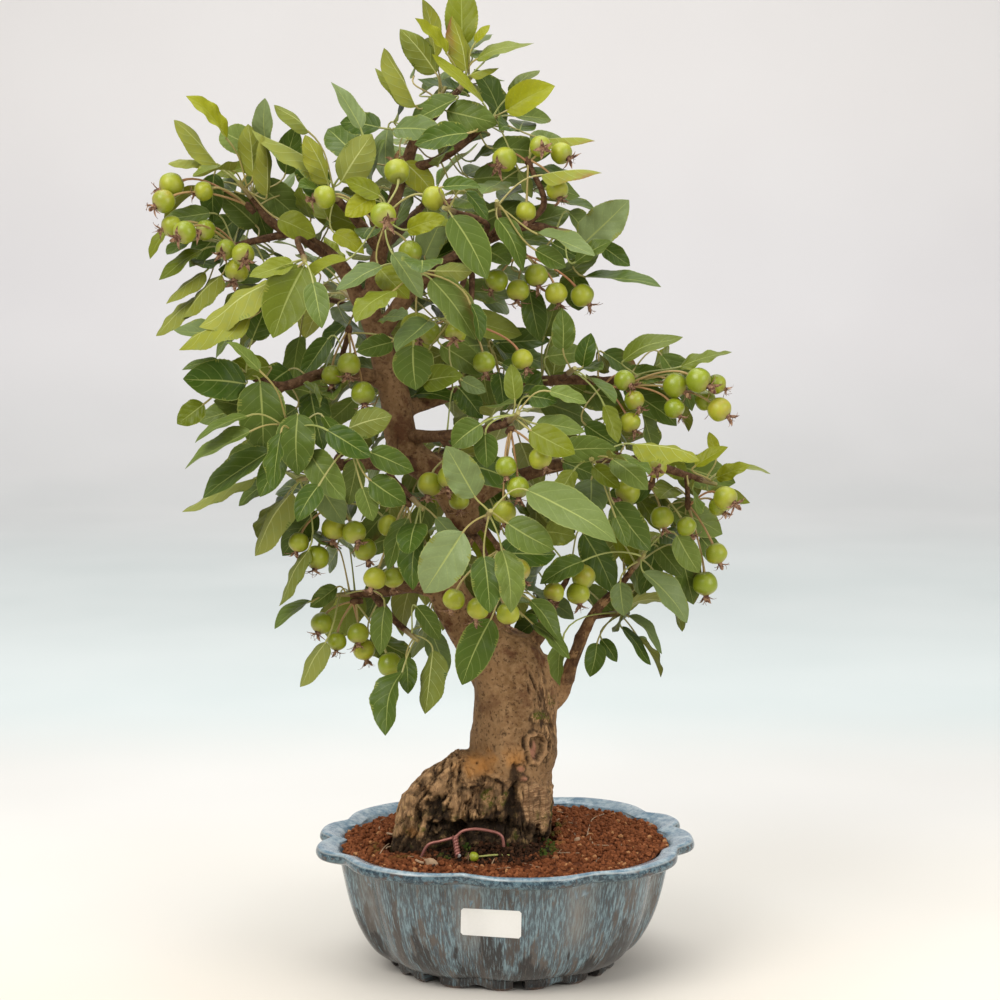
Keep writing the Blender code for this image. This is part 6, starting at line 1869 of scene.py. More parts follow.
def draw_in(points):
    """Move the foot's sides to where the photo shows them, mostly inward."""
    px, py = to_photo(points)
    left, right = FOOT_STILL
    drawn = np.where(px < left, left + (px - left) * np.interp(py, FOOT_ROWS, FOOT_LEFT), px)
    drawn = np.where(px > right, right + (px - right) * np.interp(py, FOOT_ROWS, FOOT_RIGHT), drawn)
    low = py > FOOT_ROWS[0]
    points[low, 0] += ((drawn - px) * PX_MM)[low]


def bark_relief(points, normals, paints):
    """Soft swells over the trunk, and stringy ridges with dark grooves over the root flare: the dark in the
    grooves is painted shade and the pale on the ridges partly a painted highlight, with a painted shadow
    under the ledge and damp earth near the soil.
    """
    px, py = to_photo(points)
    ragged = np.array([noise.noise(Vector((a * 0.11, b * 0.05, 3.0))) for a, b in zip(px, py)])
    ledge = np.interp(px, *np.array(LEDGE, float).T) + 5 * ragged
    zone = (1 - smooth(456, 470, px + 6 * ragged)) * smooth(741, 750, py) + smooth(-1.5, 3.0, py - ledge)
    zone = np.clip(zone, 0, 1)
    # A painted shadow in a strip just under the ledge.
    shade = smooth(0.5, 2.0, py - ledge) * (1 - smooth(3.0, 9.0, py - ledge)) * smooth(452, 462, px)
    shade *= 1 - smooth(508, 520, px)
    below = py - np.interp(px, *np.array(DAMP_LINE, float).T) + 7 * ragged
    damp = smooth(-1.5, 3.0, below) * smooth(0.0, 0.3, -normals[:, 1])
    spot_x, spot_y, wide, high = CALM_SPOT
    calm = smooth(0.7, 1.05, np.hypot((px - spot_x) / wide, (py - spot_y) / high))
    slant = 1 - smooth(450, 490, px)
    x, y, z = points.T
    cos, sin = GROOVE_LEAN
    across = slant * (cos * x - sin * z) + (1 - slant) * x
    along = slant * (sin * x + cos * z) + (1 - slant) * z
    for k, point in enumerate(points):
        spot = Vector(point)
        broad = noise.fractal(spot * 0.045, 0.9, 2.0, 3)
        knobby = noise.fractal(spot * 0.16, 0.9, 2.0, 3)
        move = broad * 1.1 + knobby * (0.3 + 0.5 * zone[k])
        if zone[k] > 0.01:
            first = abs(noise.noise(Vector((across[k] * 0.17, along[k] * 0.045, y[k] * 0.16))))
            second = abs(noise.noise(Vector((across[k] * 0.36 + 9, along[k] * 0.10, y[k] * 0.3))))
            deep = max(0.0, 1 - first / 0.13)
            fine = max(0.0, 1 - second / 0.15)
            move += zone[k] * (1.1 - calm[k] * (2.4 * deep + 1.1 * fine))
            soaked = damp[k] * (0.9 if knobby < 0.35 else 0.45)
            # Dark: painted shade in the grooves and under the ledge, and damp earth near the soil; pale on
            # the ridges, partly a painted highlight.
            paints["dark"][k] = zone[k] * min(1.0, deep * 0.6 + fine * 0.2 + 0.75 * shade[k] + soaked)
            paints["pale"][k] = zone[k] * 0.7 * max(0.0, min(1.0, (first - 0.1) * 5)) * (1 - damp[k])
            paints["rough"][k] = zone[k]
            paints["moss"][k] = zone[k] * max(0.0, knobby * 1.6 - 0.1) * (1 - smooth(*MOSS_HEIGHTS, z[k]))
        points[k] += normals[k] * move


def make_trunk(material):
    """The melted base with bark relief and marks, and branches and twigs as rods of the same piece."""
    points, normals, faces = fused_base()
    draw_in(points)
    paints = {key: np.zeros(len(points)) for key in BARK_PAINTS}
    height = points[:, 2].copy()
    bark_relief(points, normals, paints)
    sunk = 0.85 * (1 - smooth(*SUNK_HEIGHTS, height))
    paints["dark"] = np.maximum(paints["dark"], sunk)
    carve(points, normals, paints)
    paints["thin"] = smooth(*THIN_HEIGHTS, height) * 0.75
    shape = Shape()
    shape.add(points, [faces], 0, **paints)
    draw = random.Random(SEED * 7)
    for name, nodes in BRANCHES.items():
        slim = SLIM_BRANCHES.get(name, 1.0)
        rows = [(*from_photo(*node[:3]), node[3] * slim) for node in nodes]
        add_branch(shape, rows, draw, BRANCH_SIDES)
    for path, radii in twigs():
        add_branch(shape, [(*p, r) for p, r in zip(path, radii)], draw, TWIG_SIDES)
    shape.make("crabapple_wood", [material], "bark", ["trunk"], sharp=70)
    return search_tree(points, faces)


def add_branch(shape, rows, draw, sides):
    """A branch or twig with bud rings and a slightly uneven run; rows hold place and radius."""
    fine = catmull(rows, 5)
    uneven = np.array([noise.noise(Vector(row[:3] * 0.09) + Vector((k * 0.7, 0, 0)))
                       for k, row in enumerate(fine)])
    swell = 1 + 0.09 * uneven
    swell[draw.randrange(2, 5)::6] *= 1.1
    shift = np.stack([np.gradient(uneven), np.roll(uneven, 3) * 0.4, uneven * 0.3], axis=1) * 0.8
    shift[0] = shift[-1] = 0
    thin = 0.55 + 0.45 * (1 - smooth(2.2, 6.0, fine[:, 3]))
    rod(shape, fine[:, :3] + shift, fine[:, 3] * swell, sides, 0, thin=thin, rough=0.25)


# Pot.

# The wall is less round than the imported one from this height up, by this share.
WALL_START = 8
FINE_PLAIN = 0.45
# The creases at the notches: how wide, how deep on wall and lip, and how much of them is at the foot.
CREASE_REACH = 0.7
CREASE_WALL = 0.058
CREASE_LIP = 0.016
CREASE_FOOT = 0.4
CREASE_TOP = 40
# Feet: stations along one, its arch and its curled ends as height and width in shares of its span.
FOOT_STATIONS = 15
FOOT_ARCH = (3.4, 0.16)
FOOT_CURL = (1.2, 0.07)
FOOT_ROUND = (0.006, 0.012, 2.2)
# Heights and shares at which the painted zones of the pot begin and are full.
LIP_TOP = (89.2, 90.4)
LIP_SHARE = 0.955
LIP_DROP = (83.5, 86.0)
ROLL_START = (79.0, 81.5)
RIB_ANGLES = (0.03, 0.13)
RIB_HEIGHTS = (20, 50)
BARE_HEIGHTS = (0.2, 0.8)
INSIDE_TOP = 88
INSIDE_SHARE = 0.93
INSIDE_FACING = 0.2


def crease(step, depth):
    """How much smaller an outline is near a notch."""
    away = abs((step / STEPS_PER_LOBE + 0.5) % 1 - 0.5) * STEPS_PER_LOBE
    return 1 - depth * math.exp(-(away / CREASE_REACH) ** 2)


def around_rim(steps):
    """Steps all the way round the rim, so many to each step."""
    return [k / steps for k in range(steps * STEPS_PER_LOBE * len(RIM_NOTCHES))]


def reach_round(outline):
    """A function that tells how far an outline reaches at a bearing from its middle."""
    bearing = np.arctan2(outline[:, 1], outline[:, 0])
    order = np.argsort(bearing)
    reach = np.hypot(outline[:, 0], outline[:, 1])[order]
    return lambda angle: np.interp(angle, bearing[order], reach, period=2 * math.pi)


def pot_loops(rows, depths):
    """Loops of the pot at fine steps, as an array of row, step and place."""
    count = round(STEPS_PER_LOBE * len(RIM_NOTCHES) / FINE_STEP)
    steps = [k * FINE_STEP for k in range(count)]
    return np.array([[tuple(pot_point(s, row[0] * crease(s, depth), row[1], row[2])) for s in steps]
                     for row, depth in zip(rows, depths)])


def apply_boolean(target, others, operation):
    """Cut or join some helper objects into a target, then remove them."""
    helpers = bpy.data.collections.new("helpers")
    for other in others:
        helpers.objects.link(other)
    change = target.modifiers.new("combine", "BOOLEAN")
    change.operation = operation
    change.operand_type = "COLLECTION"
    change.collection = helpers
    change.solver = "EXACT"
    result = worked_mesh(target)
    target.modifiers.clear()
    target.data = result
    for other in others:
        bpy.data.objects.remove(other)
    bpy.data.collections.remove(helpers)


def loose_object(name, verts, faces):
    """A helper object from points in millimetres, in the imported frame."""
    mesh = bpy.data.meshes.new(name)
    mesh.from_pydata(((np.asarray(verts, float) + SHIFT) * MM).tolist(), [], faces)
    face_outward(mesh)
    return put(name, mesh)


def fine_foot(span):
    """A scrolled foot under the wall: arched in its middle, its outer side rounded."""
    first, last = span
    loops = []
    inner, outer = FOOT_SHARES
    swell, slope, rise = FOOT_ROUND
    for k in range(FOOT_STATIONS):
        t = k / (FOOT_STATIONS - 1)
        step = (first + (last - first) * t) % (STEPS_PER_LOBE * len(RIM_NOTCHES))
        arch = FOOT_ARCH[0] * math.exp(-((t - 0.5) / FOOT_ARCH[1]) ** 2)
        bottom = arch + sum(FOOT_CURL[0] * math.exp(-(end / FOOT_CURL[1]) ** 2) for end in (t, 1 - t))
        belly = outer + swell * math.sin(math.pi * t)
        corners = [(inner, bottom), (outer - slope, bottom), (belly, bottom + rise),
                   (outer + slope, FOOT_TOP), (inner, FOOT_TOP)]
        loops.append([tuple(pot_point(step, share, height, POT_OUTER[0][2])) for share, height in corners])
    verts = np.array(loops).reshape(-1, 3)
    last_loop = range(len(verts) - 1, len(verts) - 6, -1)
    faces = grid_quads(FOOT_STATIONS, 5, True).tolist() + [tuple(range(5)), tuple(last_loop)]
    return loose_object("foot", verts, faces)


def drain_cutter(x):
    """A round cutter for one drainage hole."""
    work = bmesh.new()
    radius = DRAIN_RADIUS * MM
    depth = 4 * FLOOR_TOP * MM
    bmesh.ops.create_cone(work, cap_ends=True, segments=32, radius1=radius, radius2=radius, depth=depth)
    mesh = bpy.data.meshes.new("drain")
    work.to_mesh(mesh)
    work.free()
    mesh.transform(Matrix.Translation(Vector((np.array(turned(x, 0)) + SHIFT) * MM)))
    return put("drain", mesh)


def make_pot(material):
    """The lobed pot with its rolled lip, feet and drainage holes, at fine steps."""
    wall = [(share, height, plain * FINE_PLAIN if height > WALL_START else plain)
            for share, height, plain in catmull(POT_OUTER[:5], 5)]
    roll = list(catmull(POT_OUTER[4:] + POT_INNER[:2], 5))
    inner = list(catmull(POT_INNER[1:], 3))
    rows = wall + roll[1:] + inner[1:]
    depths = [CREASE_WALL * (CREASE_FOOT + (1 - CREASE_FOOT) * float(smooth(WALL_START, CREASE_TOP, height)))
              for _, height, _ in wall]
    depths += list(np.linspace(CREASE_WALL, CREASE_LIP, len(roll) - 1)) + [CREASE_LIP]
    depths += [0.0] * (len(inner) - 2)
    loops = pot_loops(rows, depths)
    count = loops.shape[1]
    faces = grid_quads(len(rows), count, True).tolist()
    faces += [tuple(reversed(range(count))), tuple((len(rows) - 1) * count + k for k in range(count))]
    pot = loose_object("pot_shell", loops.reshape(-1, 3), faces)
    apply_boolean(pot, [fine_foot(span) for span in FOOT_SPANS], "UNION")
    apply_boolean(pot, [drain_cutter(x) for x in (-DRAIN_SPREAD, DRAIN_SPREAD)], "DIFFERENCE")
    mesh = pot.data
    mesh.materials.clear()
    bpy.data.objects.remove(pot)
    paint_pot(mesh)
    finish_piece("glazed_pot", mesh, [material], ["pot"], sharp=38)


def paint_pot(mesh):
    """Where the lip, its roll, the ribs at the notches and the bare foot rings are; the ribs carry a painted
    highlight, partly thinner glaze.
    """
    points = vertex_rows(mesh) / MM - SHIFT
    cos, sin = math.cos(-POT_TURN), math.sin(-POT_TURN)
    away = points - np.array(POT_MIDDLE)
    x = away[:, 0] * cos - away[:, 1] * sin
    y = away[:, 0] * sin + away[:, 1] * cos
    rim = np.array([tuple(rim_point(step)) for step in around_rim(4)])
    share = np.hypot(x, y) / reach_round(rim)(np.arctan2(y, x))
    angle = np.arctan2(y / RIM_HALF_DEPTH, x / RIM_HALF_WIDTH)
    notch = np.array([math.atan2(b / RIM_HALF_DEPTH, a / RIM_HALF_WIDTH) for a, b in RIM_NOTCHES])
    apart = np.abs((angle[:, None] - notch[None] + math.pi) % (2 * math.pi) - math.pi).min(axis=1)
    z = points[:, 2]
    over = np.clip(smooth(*LIP_TOP, z) + (share < LIP_SHARE) * smooth(*LIP_DROP, z), 0, 1)
    normals = vertex_rows(mesh, "normal")
    outward = (normals[:, 0] * away[:, 0] + normals[:, 1] * away[:, 1]) / np.hypot(away[:, 0], away[:, 1])
    inside = (z > FLOOR_TOP - 1) & (z < INSIDE_TOP) & (share < INSIDE_SHARE) & (outward < INSIDE_FACING)
    values = {
        "lip": np.clip(over + inside, 0, 1),
        "roll": smooth(*ROLL_START, z) * (1 - over) * (1 - inside),
        # rib: where the pale painted highlight beside each notch goes, partly thinner glaze.
        "rib": (1 - smooth(*RIB_ANGLES, apart)) * (1 - over) * smooth(*RIB_HEIGHTS, z),
        "bare": 1 - smooth(*BARE_HEIGHTS, z),
        "east": np.cos(angle) * RIM_HALF_WIDTH * MM,
        "north": np.sin(angle) * RIM_HALF_WIDTH * MM,
    }
    for key, value in values.items():
        mesh.attributes.new(key, "FLOAT", "POINT").data.foreach_set("value", value.astype(np.float32))


LABEL_CORNERS = [(461, 908), (521.5, 911), (521, 938.5), (460.5, 934.5)]
LABEL_ROUND = 0.16
LABEL_LIFT = 0.25
LABEL_THICK = 0.24
LABEL_ROWS = 14
LABEL_COLUMNS = 28


def label_height(u):
    """How much of its height the label keeps at a place across it, from -1 to 1: less at its corners."""
    end = LABEL_ROUND * 0.5
    past = max(0.0, (abs(u) - 1 + end) / end)
    return 1 - (1 - math.sqrt(max(0.0, 1 - past ** 2))) * LABEL_ROUND


def make_label(material):
    """The blank sticker: rounded corners, following the pot's wall."""
    graph = bpy.context.evaluated_depsgraph_get()
    tree = BVHTree.FromObject(bpy.data.objects["glazed_pot"], graph)
    eye = (np.array(EYE) + SHIFT) * MM
    corners = np.array(LABEL_CORNERS, float)
    verts = []
    for r in range(LABEL_ROWS + 1):
        for c in range(LABEL_COLUMNS + 1):
            u = 2 * c / LABEL_COLUMNS - 1
            v = (2 * r / LABEL_ROWS - 1) * label_height(u)
            across, down = (u + 1) / 2, (v + 1) / 2
            top = corners[0] * (1 - across) + corners[1] * across
            low = corners[3] * (1 - across) + corners[2] * across
            px, py = top * (1 - down) + low * down
            aim = (np.array(from_photo(px, py, 0.0)) + SHIFT) * MM
            hit, normal, _, _ = tree.ray_cast(Vector(eye), Vector(unit(aim - eye)))
            verts.append(np.array(hit + normal * LABEL_LIFT * MM) / MM - SHIFT)
    verts = np.array(verts)
    back = verts + np.array([0, LABEL_THICK, 0.0])
    count = len(verts)
    shape = Shape()
    quads = grid_quads(LABEL_ROWS + 1, LABEL_COLUMNS + 1, False)
    border = np.arange(count).reshape(LABEL_ROWS + 1, LABEL_COLUMNS + 1)
    k = np.concatenate([border[0, :-1], border[:-1, -1], border[-1, :0:-1], border[:0:-1, 0]])
    n = np.roll(k, -1)
    skirt = np.stack([k, n, n + count, k + count], axis=1)
    shape.add(np.vstack([verts, back]), [quads, quads[:, ::-1] + count, skirt], 0)
    shape.make("blank_label", [material], "pot_glaze")


# Soil surface.

CRUMB_COUNT = 5200
# The humus in front of the roots: middle and half sizes in px, then how many crumbs and how high.
HUMUS = (490, 850, 68, 15)
HUMUS_COUNT = 1800
HUMUS_HEAP = 6.0
# Granules: sizes of the small and the large ones, how they are stretched and how uneven they are.
SMALL_SIZES = (0.85, 1.75)
LARGE_SIZES = (1.6, 2.3)
SMALL_SHARE = 0.8
CRUMB_STRETCH = (0.75, 1.2)
CRUMB_UNEVEN = 0.16
HUMUS_SIZES = (0.6, 1.5)
HUMUS_STRETCH = (0.6, 1.3)
HUMUS_UNEVEN = 0.25
OCHRE_SHARE = 0.03
# How far from the wood, in mm, the soil is damp and green.
DAMP_REACH = (1.5, 9.0)
MOSS_REACH = (3, 18)
# The outline of the soil, as a share of the rim and of a plain ellipse.
SOIL_SHARE = 0.868
SOIL_PLAIN = 0.04
SKY = 130
DOWN = Vector((0, 0, -1))


def ball_form(detail):
    """The vertices and faces of a ball of triangles; detail 1 has twenty."""
    work = bmesh.new()
    bmesh.ops.create_icosphere(work, subdivisions=detail, radius=1.0)
    verts = np.array([v.co[:] for v in work.verts])
    faces = np.array([[v.index for v in f.verts] for f in work.faces])
    work.free()
    return verts, faces


def spin(draw):
    """A random rotation."""
    w, x, y, z = unit(draw.normal(size=4))
    return np.array([[1 - 2 * (y * y + z * z), 2 * (x * y - w * z), 2 * (x * z + w * y)],
                     [2 * (x * y + w * z), 1 - 2 * (x * x + z * z), 2 * (y * z - w * x)],
                     [2 * (x * z - w * y), 2 * (y * z + w * x), 1 - 2 * (x * x + y * y)]])


def crumb(draw, form, size, stretch, uneven):
    """The vertices of one granule about its middle: stretched, uneven and turned at random."""
    stretches = draw.uniform(*stretch, 3)
    jitter = 1 + draw.uniform(-uneven, uneven, len(form))
    return (form * jitter[:, None] * stretches * size) @ spin(draw).T


def make_granules(materials, soil, trunk):
    """Granules heaped over the soil bed, damp and mossy close to the roots."""
    draw = np.random.default_rng(SEED)
    form, faces = ball_form(1)
    shape = Shape()
    placed = 0
    middle = np.array(POT_MIDDLE)[:2]
    outline = np.array([tuple(pot_point(step, SOIL_SHARE, 0, SOIL_PLAIN)) for step in around_rim(2)])
    reach = reach_round(outline[:, :2] - middle)
    while placed < CRUMB_COUNT:
        x, y = draw.uniform(-130, 130), draw.uniform(-120, 120)
        size = draw.uniform(*(SMALL_SIZES if draw.random() < SMALL_SHARE else LARGE_SIZES))
        if math.hypot(x, y) > reach(math.atan2(y, x)) - size * 0.7:
            continue
        x, y = x + middle[0], y + middle[1]
        wood = trunk.ray_cast(Vector((x, y, SKY)), DOWN)[0]
        ground = soil.ray_cast(Vector((x, y, SKY)), DOWN)[0]
        if ground is None or (wood is not None and wood.z > ground.z - 0.5):
            continue
        near = trunk.find_nearest(Vector((x, y, ground.z)))[3]
        z = ground.z + draw.uniform(-0.15, 0.75) * size
        verts = crumb(draw, form, size, CRUMB_STRETCH, CRUMB_UNEVEN) + np.array([x, y, z])
        damp = (1 - smooth(*DAMP_REACH, near)) * (0.9 if y < 20 else 0.6) * draw.uniform(0.55, 1.0)
        mossy = noise.noise(Vector((x * 0.06, y * 0.06, 3.1))) > 0.12
        green = (1 - smooth(*MOSS_REACH, near)) * mossy * draw.uniform(0.3, 1)
        px, py = to_photo(np.array([[x, y, z]]))
        u, v = (px[0] - HUMUS[0]) / HUMUS[2], (py[0] - HUMUS[1]) / HUMUS[3]
        away = math.hypot(u, v) + 0.12 * noise.noise(Vector((u * 3, v * 2, 5.0)))
        damp = max(damp, 1 - float(smooth(0.85, 1.15, away)))
        tone = draw.beta(1.5, 2.0) if draw.random() > OCHRE_SHARE else 1.0
        shape.add(verts, [faces], 0, tone=tone * (1 - 0.6 * damp), dark=damp, moss=green)
        placed += 1
    add_humus(shape, draw, form, faces, trunk)
    shape.make("soil_granules", materials, "soil", sharp=30)


def add_humus(shape, draw, form, faces, trunk):
    """The dark, partly mossy humus heaped against the front of the roots."""
    middle_x, middle_y, wide, high = HUMUS
    placed = 0
    while placed < HUMUS_COUNT:
        u, v = draw.uniform(-1, 1, 2)
        away = math.hypot(u, v) * (1 + 0.35 * noise.noise(Vector((u * 2.2, v * 1.6, 5.0))))
        if away > 1:
            continue
        px, py = middle_x + wide * u, middle_y + high * v
        spot = np.array(on_soil(px, py))
        if trunk.ray_cast(Vector(spot) + Vector((0, 0, 60)), DOWN, 57)[0] is not None:
            # A place under the wood counts as half a crumb, so that the loop ends.
            placed += 0.5
            continue
        heap = 0.8 + HUMUS_HEAP * (1 - away ** 1.5) * draw.uniform(0.0, 1.0)
        size = draw.uniform(*HUMUS_SIZES)
        verts = crumb(draw, form, size, HUMUS_STRETCH, HUMUS_UNEVEN) + spot + (0, 0, heap)
        patch = noise.noise(Vector((px * 0.07, py * 0.12, 1.7))) > 0.22
        green = draw.uniform(0.4, 1.0) if patch else 0.0
        dark = draw.uniform(0.8, 1.0) if away < 0.8 else draw.uniform(0.3, 1.0)
        shape.add(verts, [faces], 0, tone=draw.beta(1.2, 2.2), dark=dark, moss=green)
        placed += 1


def lumpy(shape, centre, radii, draw, **paints):
    """A small lumpy pebble."""
    verts, faces = ball_form(2)
    bumps = np.array([noise.noise(Vector(v * 1.6) + Vector(centre)) for v in verts])
    verts = verts * (1 + 0.22 * bumps)[:, None] * np.array(radii)
    shape.add(verts @ spin(draw).T + np.array(centre), [faces], 0, **paints)


# Pebbles: px, py, size. Dry stems and rootlets: three places in px and a radius.
PEBBLES = [(432, 867, 4.6), (577, 842, 2.8), (651, 828, 2.6), (556, 858, 1.3), (380, 829, 1.6),
           (426, 862, 1.8)]
DRY_STEMS = [
    ((387, 836), (404, 840), (421, 851), 0.7), ((587, 838), (592, 822), (604, 816), 0.35),
    ((380, 856), (384, 850), (389, 846), 0.4), ((416, 863), (420, 865), (424, 866), 0.8),
    ((492, 866), (494, 862), (496, 860), 0.4), ((505, 846), (512, 850), (520, 851), 0.5),
    ((519, 840), (524, 845), (531, 849), 0.8),
]
CHIPS = 70
CHIP_LIFT = 1.6


def make_litter(material):
    """Pebbles, a dry stem, fine rootlets and chips lying on the soil, and a dark lump of painted shade at the
    big pebble's foot.
    """
    draw = np.random.default_rng(SEED + 1)
    shape = Shape()
    for px, py, size in PEBBLES:
        spot = on_soil(px, py, size * 0.5)
        lumpy(shape, spot, (size, size * 0.9, size * 0.62), draw)
    # A dark lump in front of the big pebble's foot: painted shade.
    shade_blot = on_soil(433, 869, 4.6)
    lumpy(shape, shade_blot + Vector((0.5, -3.2, -1.2)), (1.5, 0.6, 1.2), draw, dark=1.0)
    for a, b, c, radius in DRY_STEMS:
        points = [on_soil(*p, 1.3 + radius) for p in (a, b, c)]
        rod(shape, catmull(points, 5), radius, 6)
    for _ in range(CHIPS):
        x, y = draw.uniform(-105, 105), draw.uniform(-72, 80)
        if math.hypot(x / 106, (y - 18) / 90) > 0.93 or math.hypot((x + 10) / 55, y / 40) < 1:
            continue
        turn = draw.uniform(0, math.pi)
        way = np.array([math.cos(turn), math.sin(turn), draw.uniform(-0.1, 0.2)])
        middle = np.array([x, y, soil_height(x, y) + CHIP_LIFT])
        length = draw.uniform(2, 6)
        bend = np.array([-way[1], way[0], 0]) * draw.uniform(-1.5, 1.5)
        chip = catmull([middle - way * length, middle + bend, middle + way * length], 4)
        rod(shape, chip, draw.uniform(0.2, 0.5), 5, dark=draw.uniform(0, 0.7))
    shape.make("dry_litter", [material], "soil")


# Wire and the fallen fruit.

TAIL_TURNS = 3.2
STRAND_OFFSET = 1.08
STRAND_RADIUS = 1.12
CUT_START = 0.985


def make_wire(material):
    """The tie wire: two legs over the roots and a tail of two twisted strands with cut ends."""
    shape = Shape()
    bends = catmull([from_photo(px, py, WIRE_DEPTH) for px, py in WIRE_BENDS], 6)
    rod(shape, bends, WIRE_RADIUS, 12)
    start = np.array(from_photo(*WIRE_BENDS[TAIL_BEND], WIRE_DEPTH))
    end = np.array(on_soil(*TAIL_END, TAIL_LIFT))
    way = unit(end - start)
    side = unit(np.cross(way, (0, 0.4, 1)))
    across = np.cross(way, side)
    for half in (0, math.pi):
        t = np.linspace(-0.03, 1.02, 64)
        turn = t * 2 * math.pi * TAIL_TURNS + half
        offset = STRAND_OFFSET * (np.cos(turn)[:, None] * side + np.sin(turn)[:, None] * across)
        path = start + (end - start) * t[:, None] + offset
        cut = np.where(t > CUT_START, 1.0, 0.0)
        rod(shape, path, STRAND_RADIUS, 10, cut=cut)
    shape.make("twisted_tie_wire", [material], "wire", ["anchor_wire"])


def make_fallen(materials):
    """The dropped fruitlet with its yellow stem, lying on the soil."""
    shape = Shape()
    draw = random.Random(SEED * 3)
    centre = on_soil(*FALLEN_FRUIT, FALLEN_LIFT)
    end = on_soil(*FALLEN_STEM_END, FALLEN_END_LIFT)
    axis = (centre - end).normalized()
    add_fruit(shape, {"centre": centre, "radius": FALLEN_RADIUS * 1.02, "axis": axis}, draw, stem=False)
    head = np.array(centre - axis * FALLEN_RADIUS * 0.8)
    middle = (head + np.array(end)) / 2 + np.array([0, 0, 0.8])
    rod(shape, catmull([head, middle, end], 6), np.linspace(0.62, 0.8, 13), 8, 1, blush=0.1)
    shape.make("fallen_fruitlet", materials, "crabapple", ["fallen_crabapple"])


# Stage, light and camera.

# The backdrop's colour (linear) by depth along the floor and then by height, in metres: its changes are
# painted light and shade, the studio light falling off over the sweep.
BACKDROP_DEPTHS = [(-0.2, (0.71, 0.65, 0.565)), (0.2, (0.69, 0.665, 0.615)), (0.5, (0.65, 0.64, 0.615)),
                   (0.9, (0.575, 0.625, 0.62)), (1.6, (0.54, 0.58, 0.575)), (2.6, (0.605, 0.615, 0.61))]
BACKDROP_HEIGHTS = [(0.0, (0.62, 0.62, 0.615)), (0.35, (0.715, 0.695, 0.695)), (0.9, (0.785, 0.755, 0.74))]


def ramp(finish, value, stops):
    """A colour that changes smoothly with a value, through some stops."""
    colour = stops[0][1]
    for (low, _), (high, tint) in zip(stops, stops[1:]):
        colour = finish.mix(finish.step(value, low, high), colour, tint)
    return colour


STAGE_HALF = 7.0
STAGE_DROP = 0.0003


def make_stage():
    """A pale floor that sweeps up far behind, its colour changing softly with depth and height as painted
    light and shade.
    """
    wide = STAGE_HALF
    rows = [(-wide, 0.0), (-1.0, 0.0), (0.5, 0.0), (1.5, 0.0), (2.4, 0.0)]
    rows += [(2.6 + 1.0 * math.sin(a), 1.0 - 1.0 * math.cos(a)) for a in np.linspace(0, math.pi / 2, 16)]
    rows += [(3.6, 2.4), (3.6, 5.0)]
    verts = [(x, y, z - STAGE_DROP) for y, z in rows for x in (-wide, wide)]
    faces = [(2 * k, 2 * k + 1, 2 * k + 3, 2 * k + 2) for k in range(len(rows) - 1)]
    mesh = bpy.data.meshes.new("studio_sweep")
    mesh.from_pydata(verts, [], faces)
    mesh.shade_smooth()
    f = Finish("studio_paper", 0.9, Specular_IOR_Level=0.0)
    spot = f.add("TexCoord", {}).outputs["Object"]
    parts = f.add("SeparateXYZ", {"Vector": spot})
    # The paper's colour by depth and height: painted light and shade.
    paper = ramp(f, parts.outputs["Y"], BACKDROP_DEPTHS)
    paper = f.mix(f.step(parts.outputs["Z"], 0.0, 0.05), paper, ramp(f, parts.outputs["Z"], BACKDROP_HEIGHTS))
    grain = f.noise(f.place(), 2.2, 2.0)
    paper = f.mix(f.step(grain, 0.3, 0.7, 0.0, 0.12), paper, (0.88, 0.87, 0.86))
    mesh.materials.append(f.done(paper))
    sweep = put("studio_sweep", mesh)


def add_light(name, place, aim, size, power, colour=(1, 1, 1)):
    """A square soft light."""
    light = bpy.data.lights.new(name, "AREA")
    light.shape = "RECTANGLE"
    light.size, light.size_y = size
    light.energy = power
    light.color = colour
    thing = put(name, light)
    thing.location = place
    thing.rotation_euler = (Vector(aim) - Vector(place)).to_track_quat("-Z", "Y").to_euler()


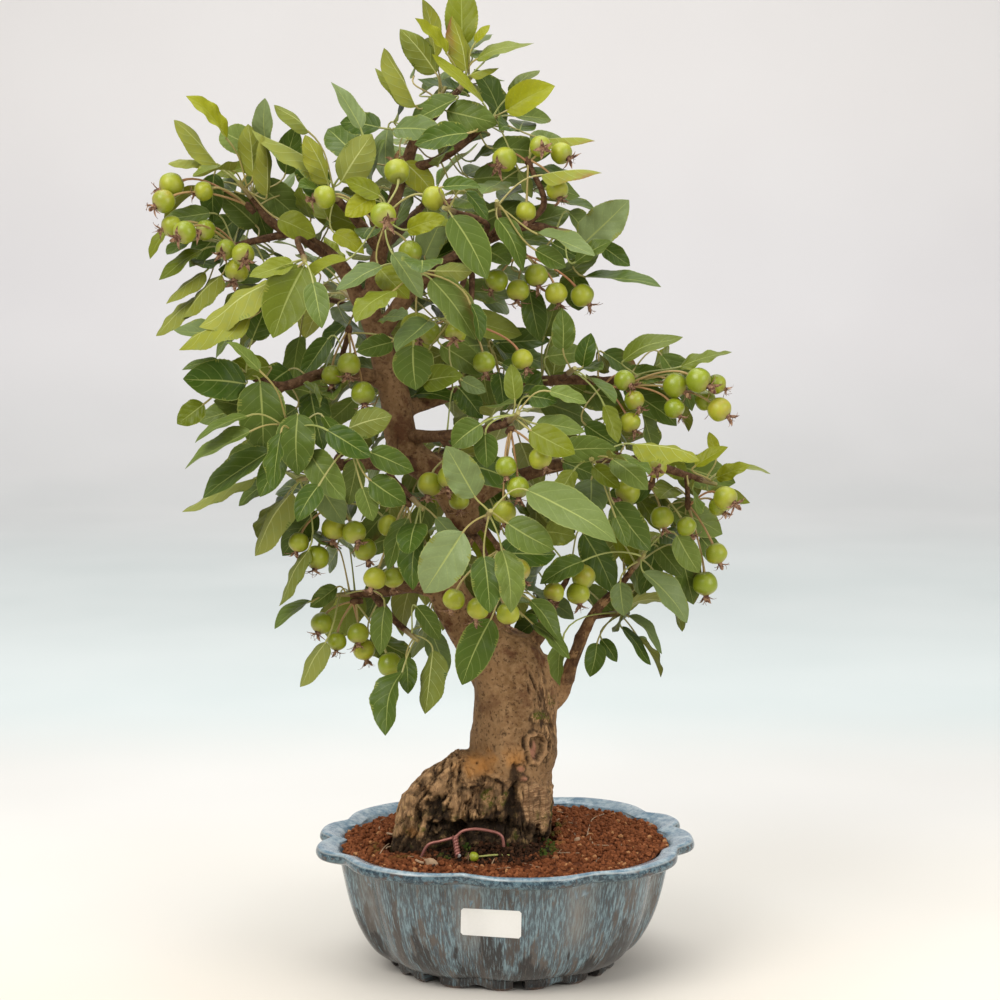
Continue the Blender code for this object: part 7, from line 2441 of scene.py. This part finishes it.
def make_lights():
    """Soft studio light from above, a weaker front light, an even fill and a light on the backdrop."""
    add_light("key", (-1.1, -1.3, 1.9), (0, 0, 0.35), (1.4, 1.4), 37, (1.0, 0.985, 0.95))
    add_light("fill", (1.5, -1.2, 1.1), (0, 0, 0.3), (1.2, 1.2), 17, (1.0, 0.99, 0.97))
    add_light("top", (0.0, 0.0, 2.3), (0, 0, 0.3), (2.0, 2.0), 32, (1.0, 0.99, 0.97))
    add_light("backdrop", (0.0, 1.7, 2.9), (0, 3.4, 0.5), (3.0, 1.0), 34)
    world = bpy.data.worlds.new("studio")
    world.use_nodes = True
    sky = world.node_tree.nodes["Background"]
    sky.inputs["Color"].default_value = (0.98, 0.985, 1.0, 1)
    sky.inputs["Strength"].default_value = 0.5
    bpy.context.scene.world = world


def make_camera():
    """The photo's camera."""
    data = bpy.data.cameras.new("camera")
    data.sensor_width = SENSOR
    data.lens = FOCAL_PX / FRAME_PX * SENSOR
    data.clip_start = 0.05
    camera = put("camera", data)
    camera.location = (np.array(EYE) + SHIFT) * MM
    camera.rotation_euler = (math.pi / 2 - PITCH, 0, 0)
    bpy.context.scene.camera = camera


def repaint(node, material):
    """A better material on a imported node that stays."""
    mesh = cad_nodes[node].data
    mesh.materials.clear()
    mesh.materials.append(material)


def main():
    """Every piece, then stage, light and camera."""
    bpy.context.scene.view_settings.view_transform = "Standard"
    make_camera()
    make_stage()
    make_lights()
    top, under, stalk, bark = leaf_top_material(), leaf_under_material(), stalk_material(), bark_material()
    skin, calyx = fruit_material(), calyx_material()
    ends = {name: plan_twig(spur)[1:] for name, (spur, _) in SPURS.items()}
    seen = sort_leaves()
    crowd = Canopy(packed_tree("trunk"))
    for name in SPURS:
        make_spray(name, seen[name], ends[name], [top, under, stalk], crowd)
    for name, (spur, _) in BUNCHES.items():
        end = ends[spur] if spur in SPURS else plan_twig(spur)[1:]
        make_bunch(name, end, [skin, stalk, calyx, bark], crowd)
    make_fill(crowd, [top, under, stalk])
    flare = make_trunk(bark)
    make_pot(glaze_material())
    make_label(paper_material())
    make_granules([crumb_material()], packed_tree("soil"), flare)
    make_litter(pebble_material())
    make_wire(wire_material())
    make_fallen([skin, stalk, calyx])
    repaint("soil", soil_material())
    for node in ("drainage_mesh_left", "drainage_mesh_right"):
        repaint(node, plastic_material())


main()
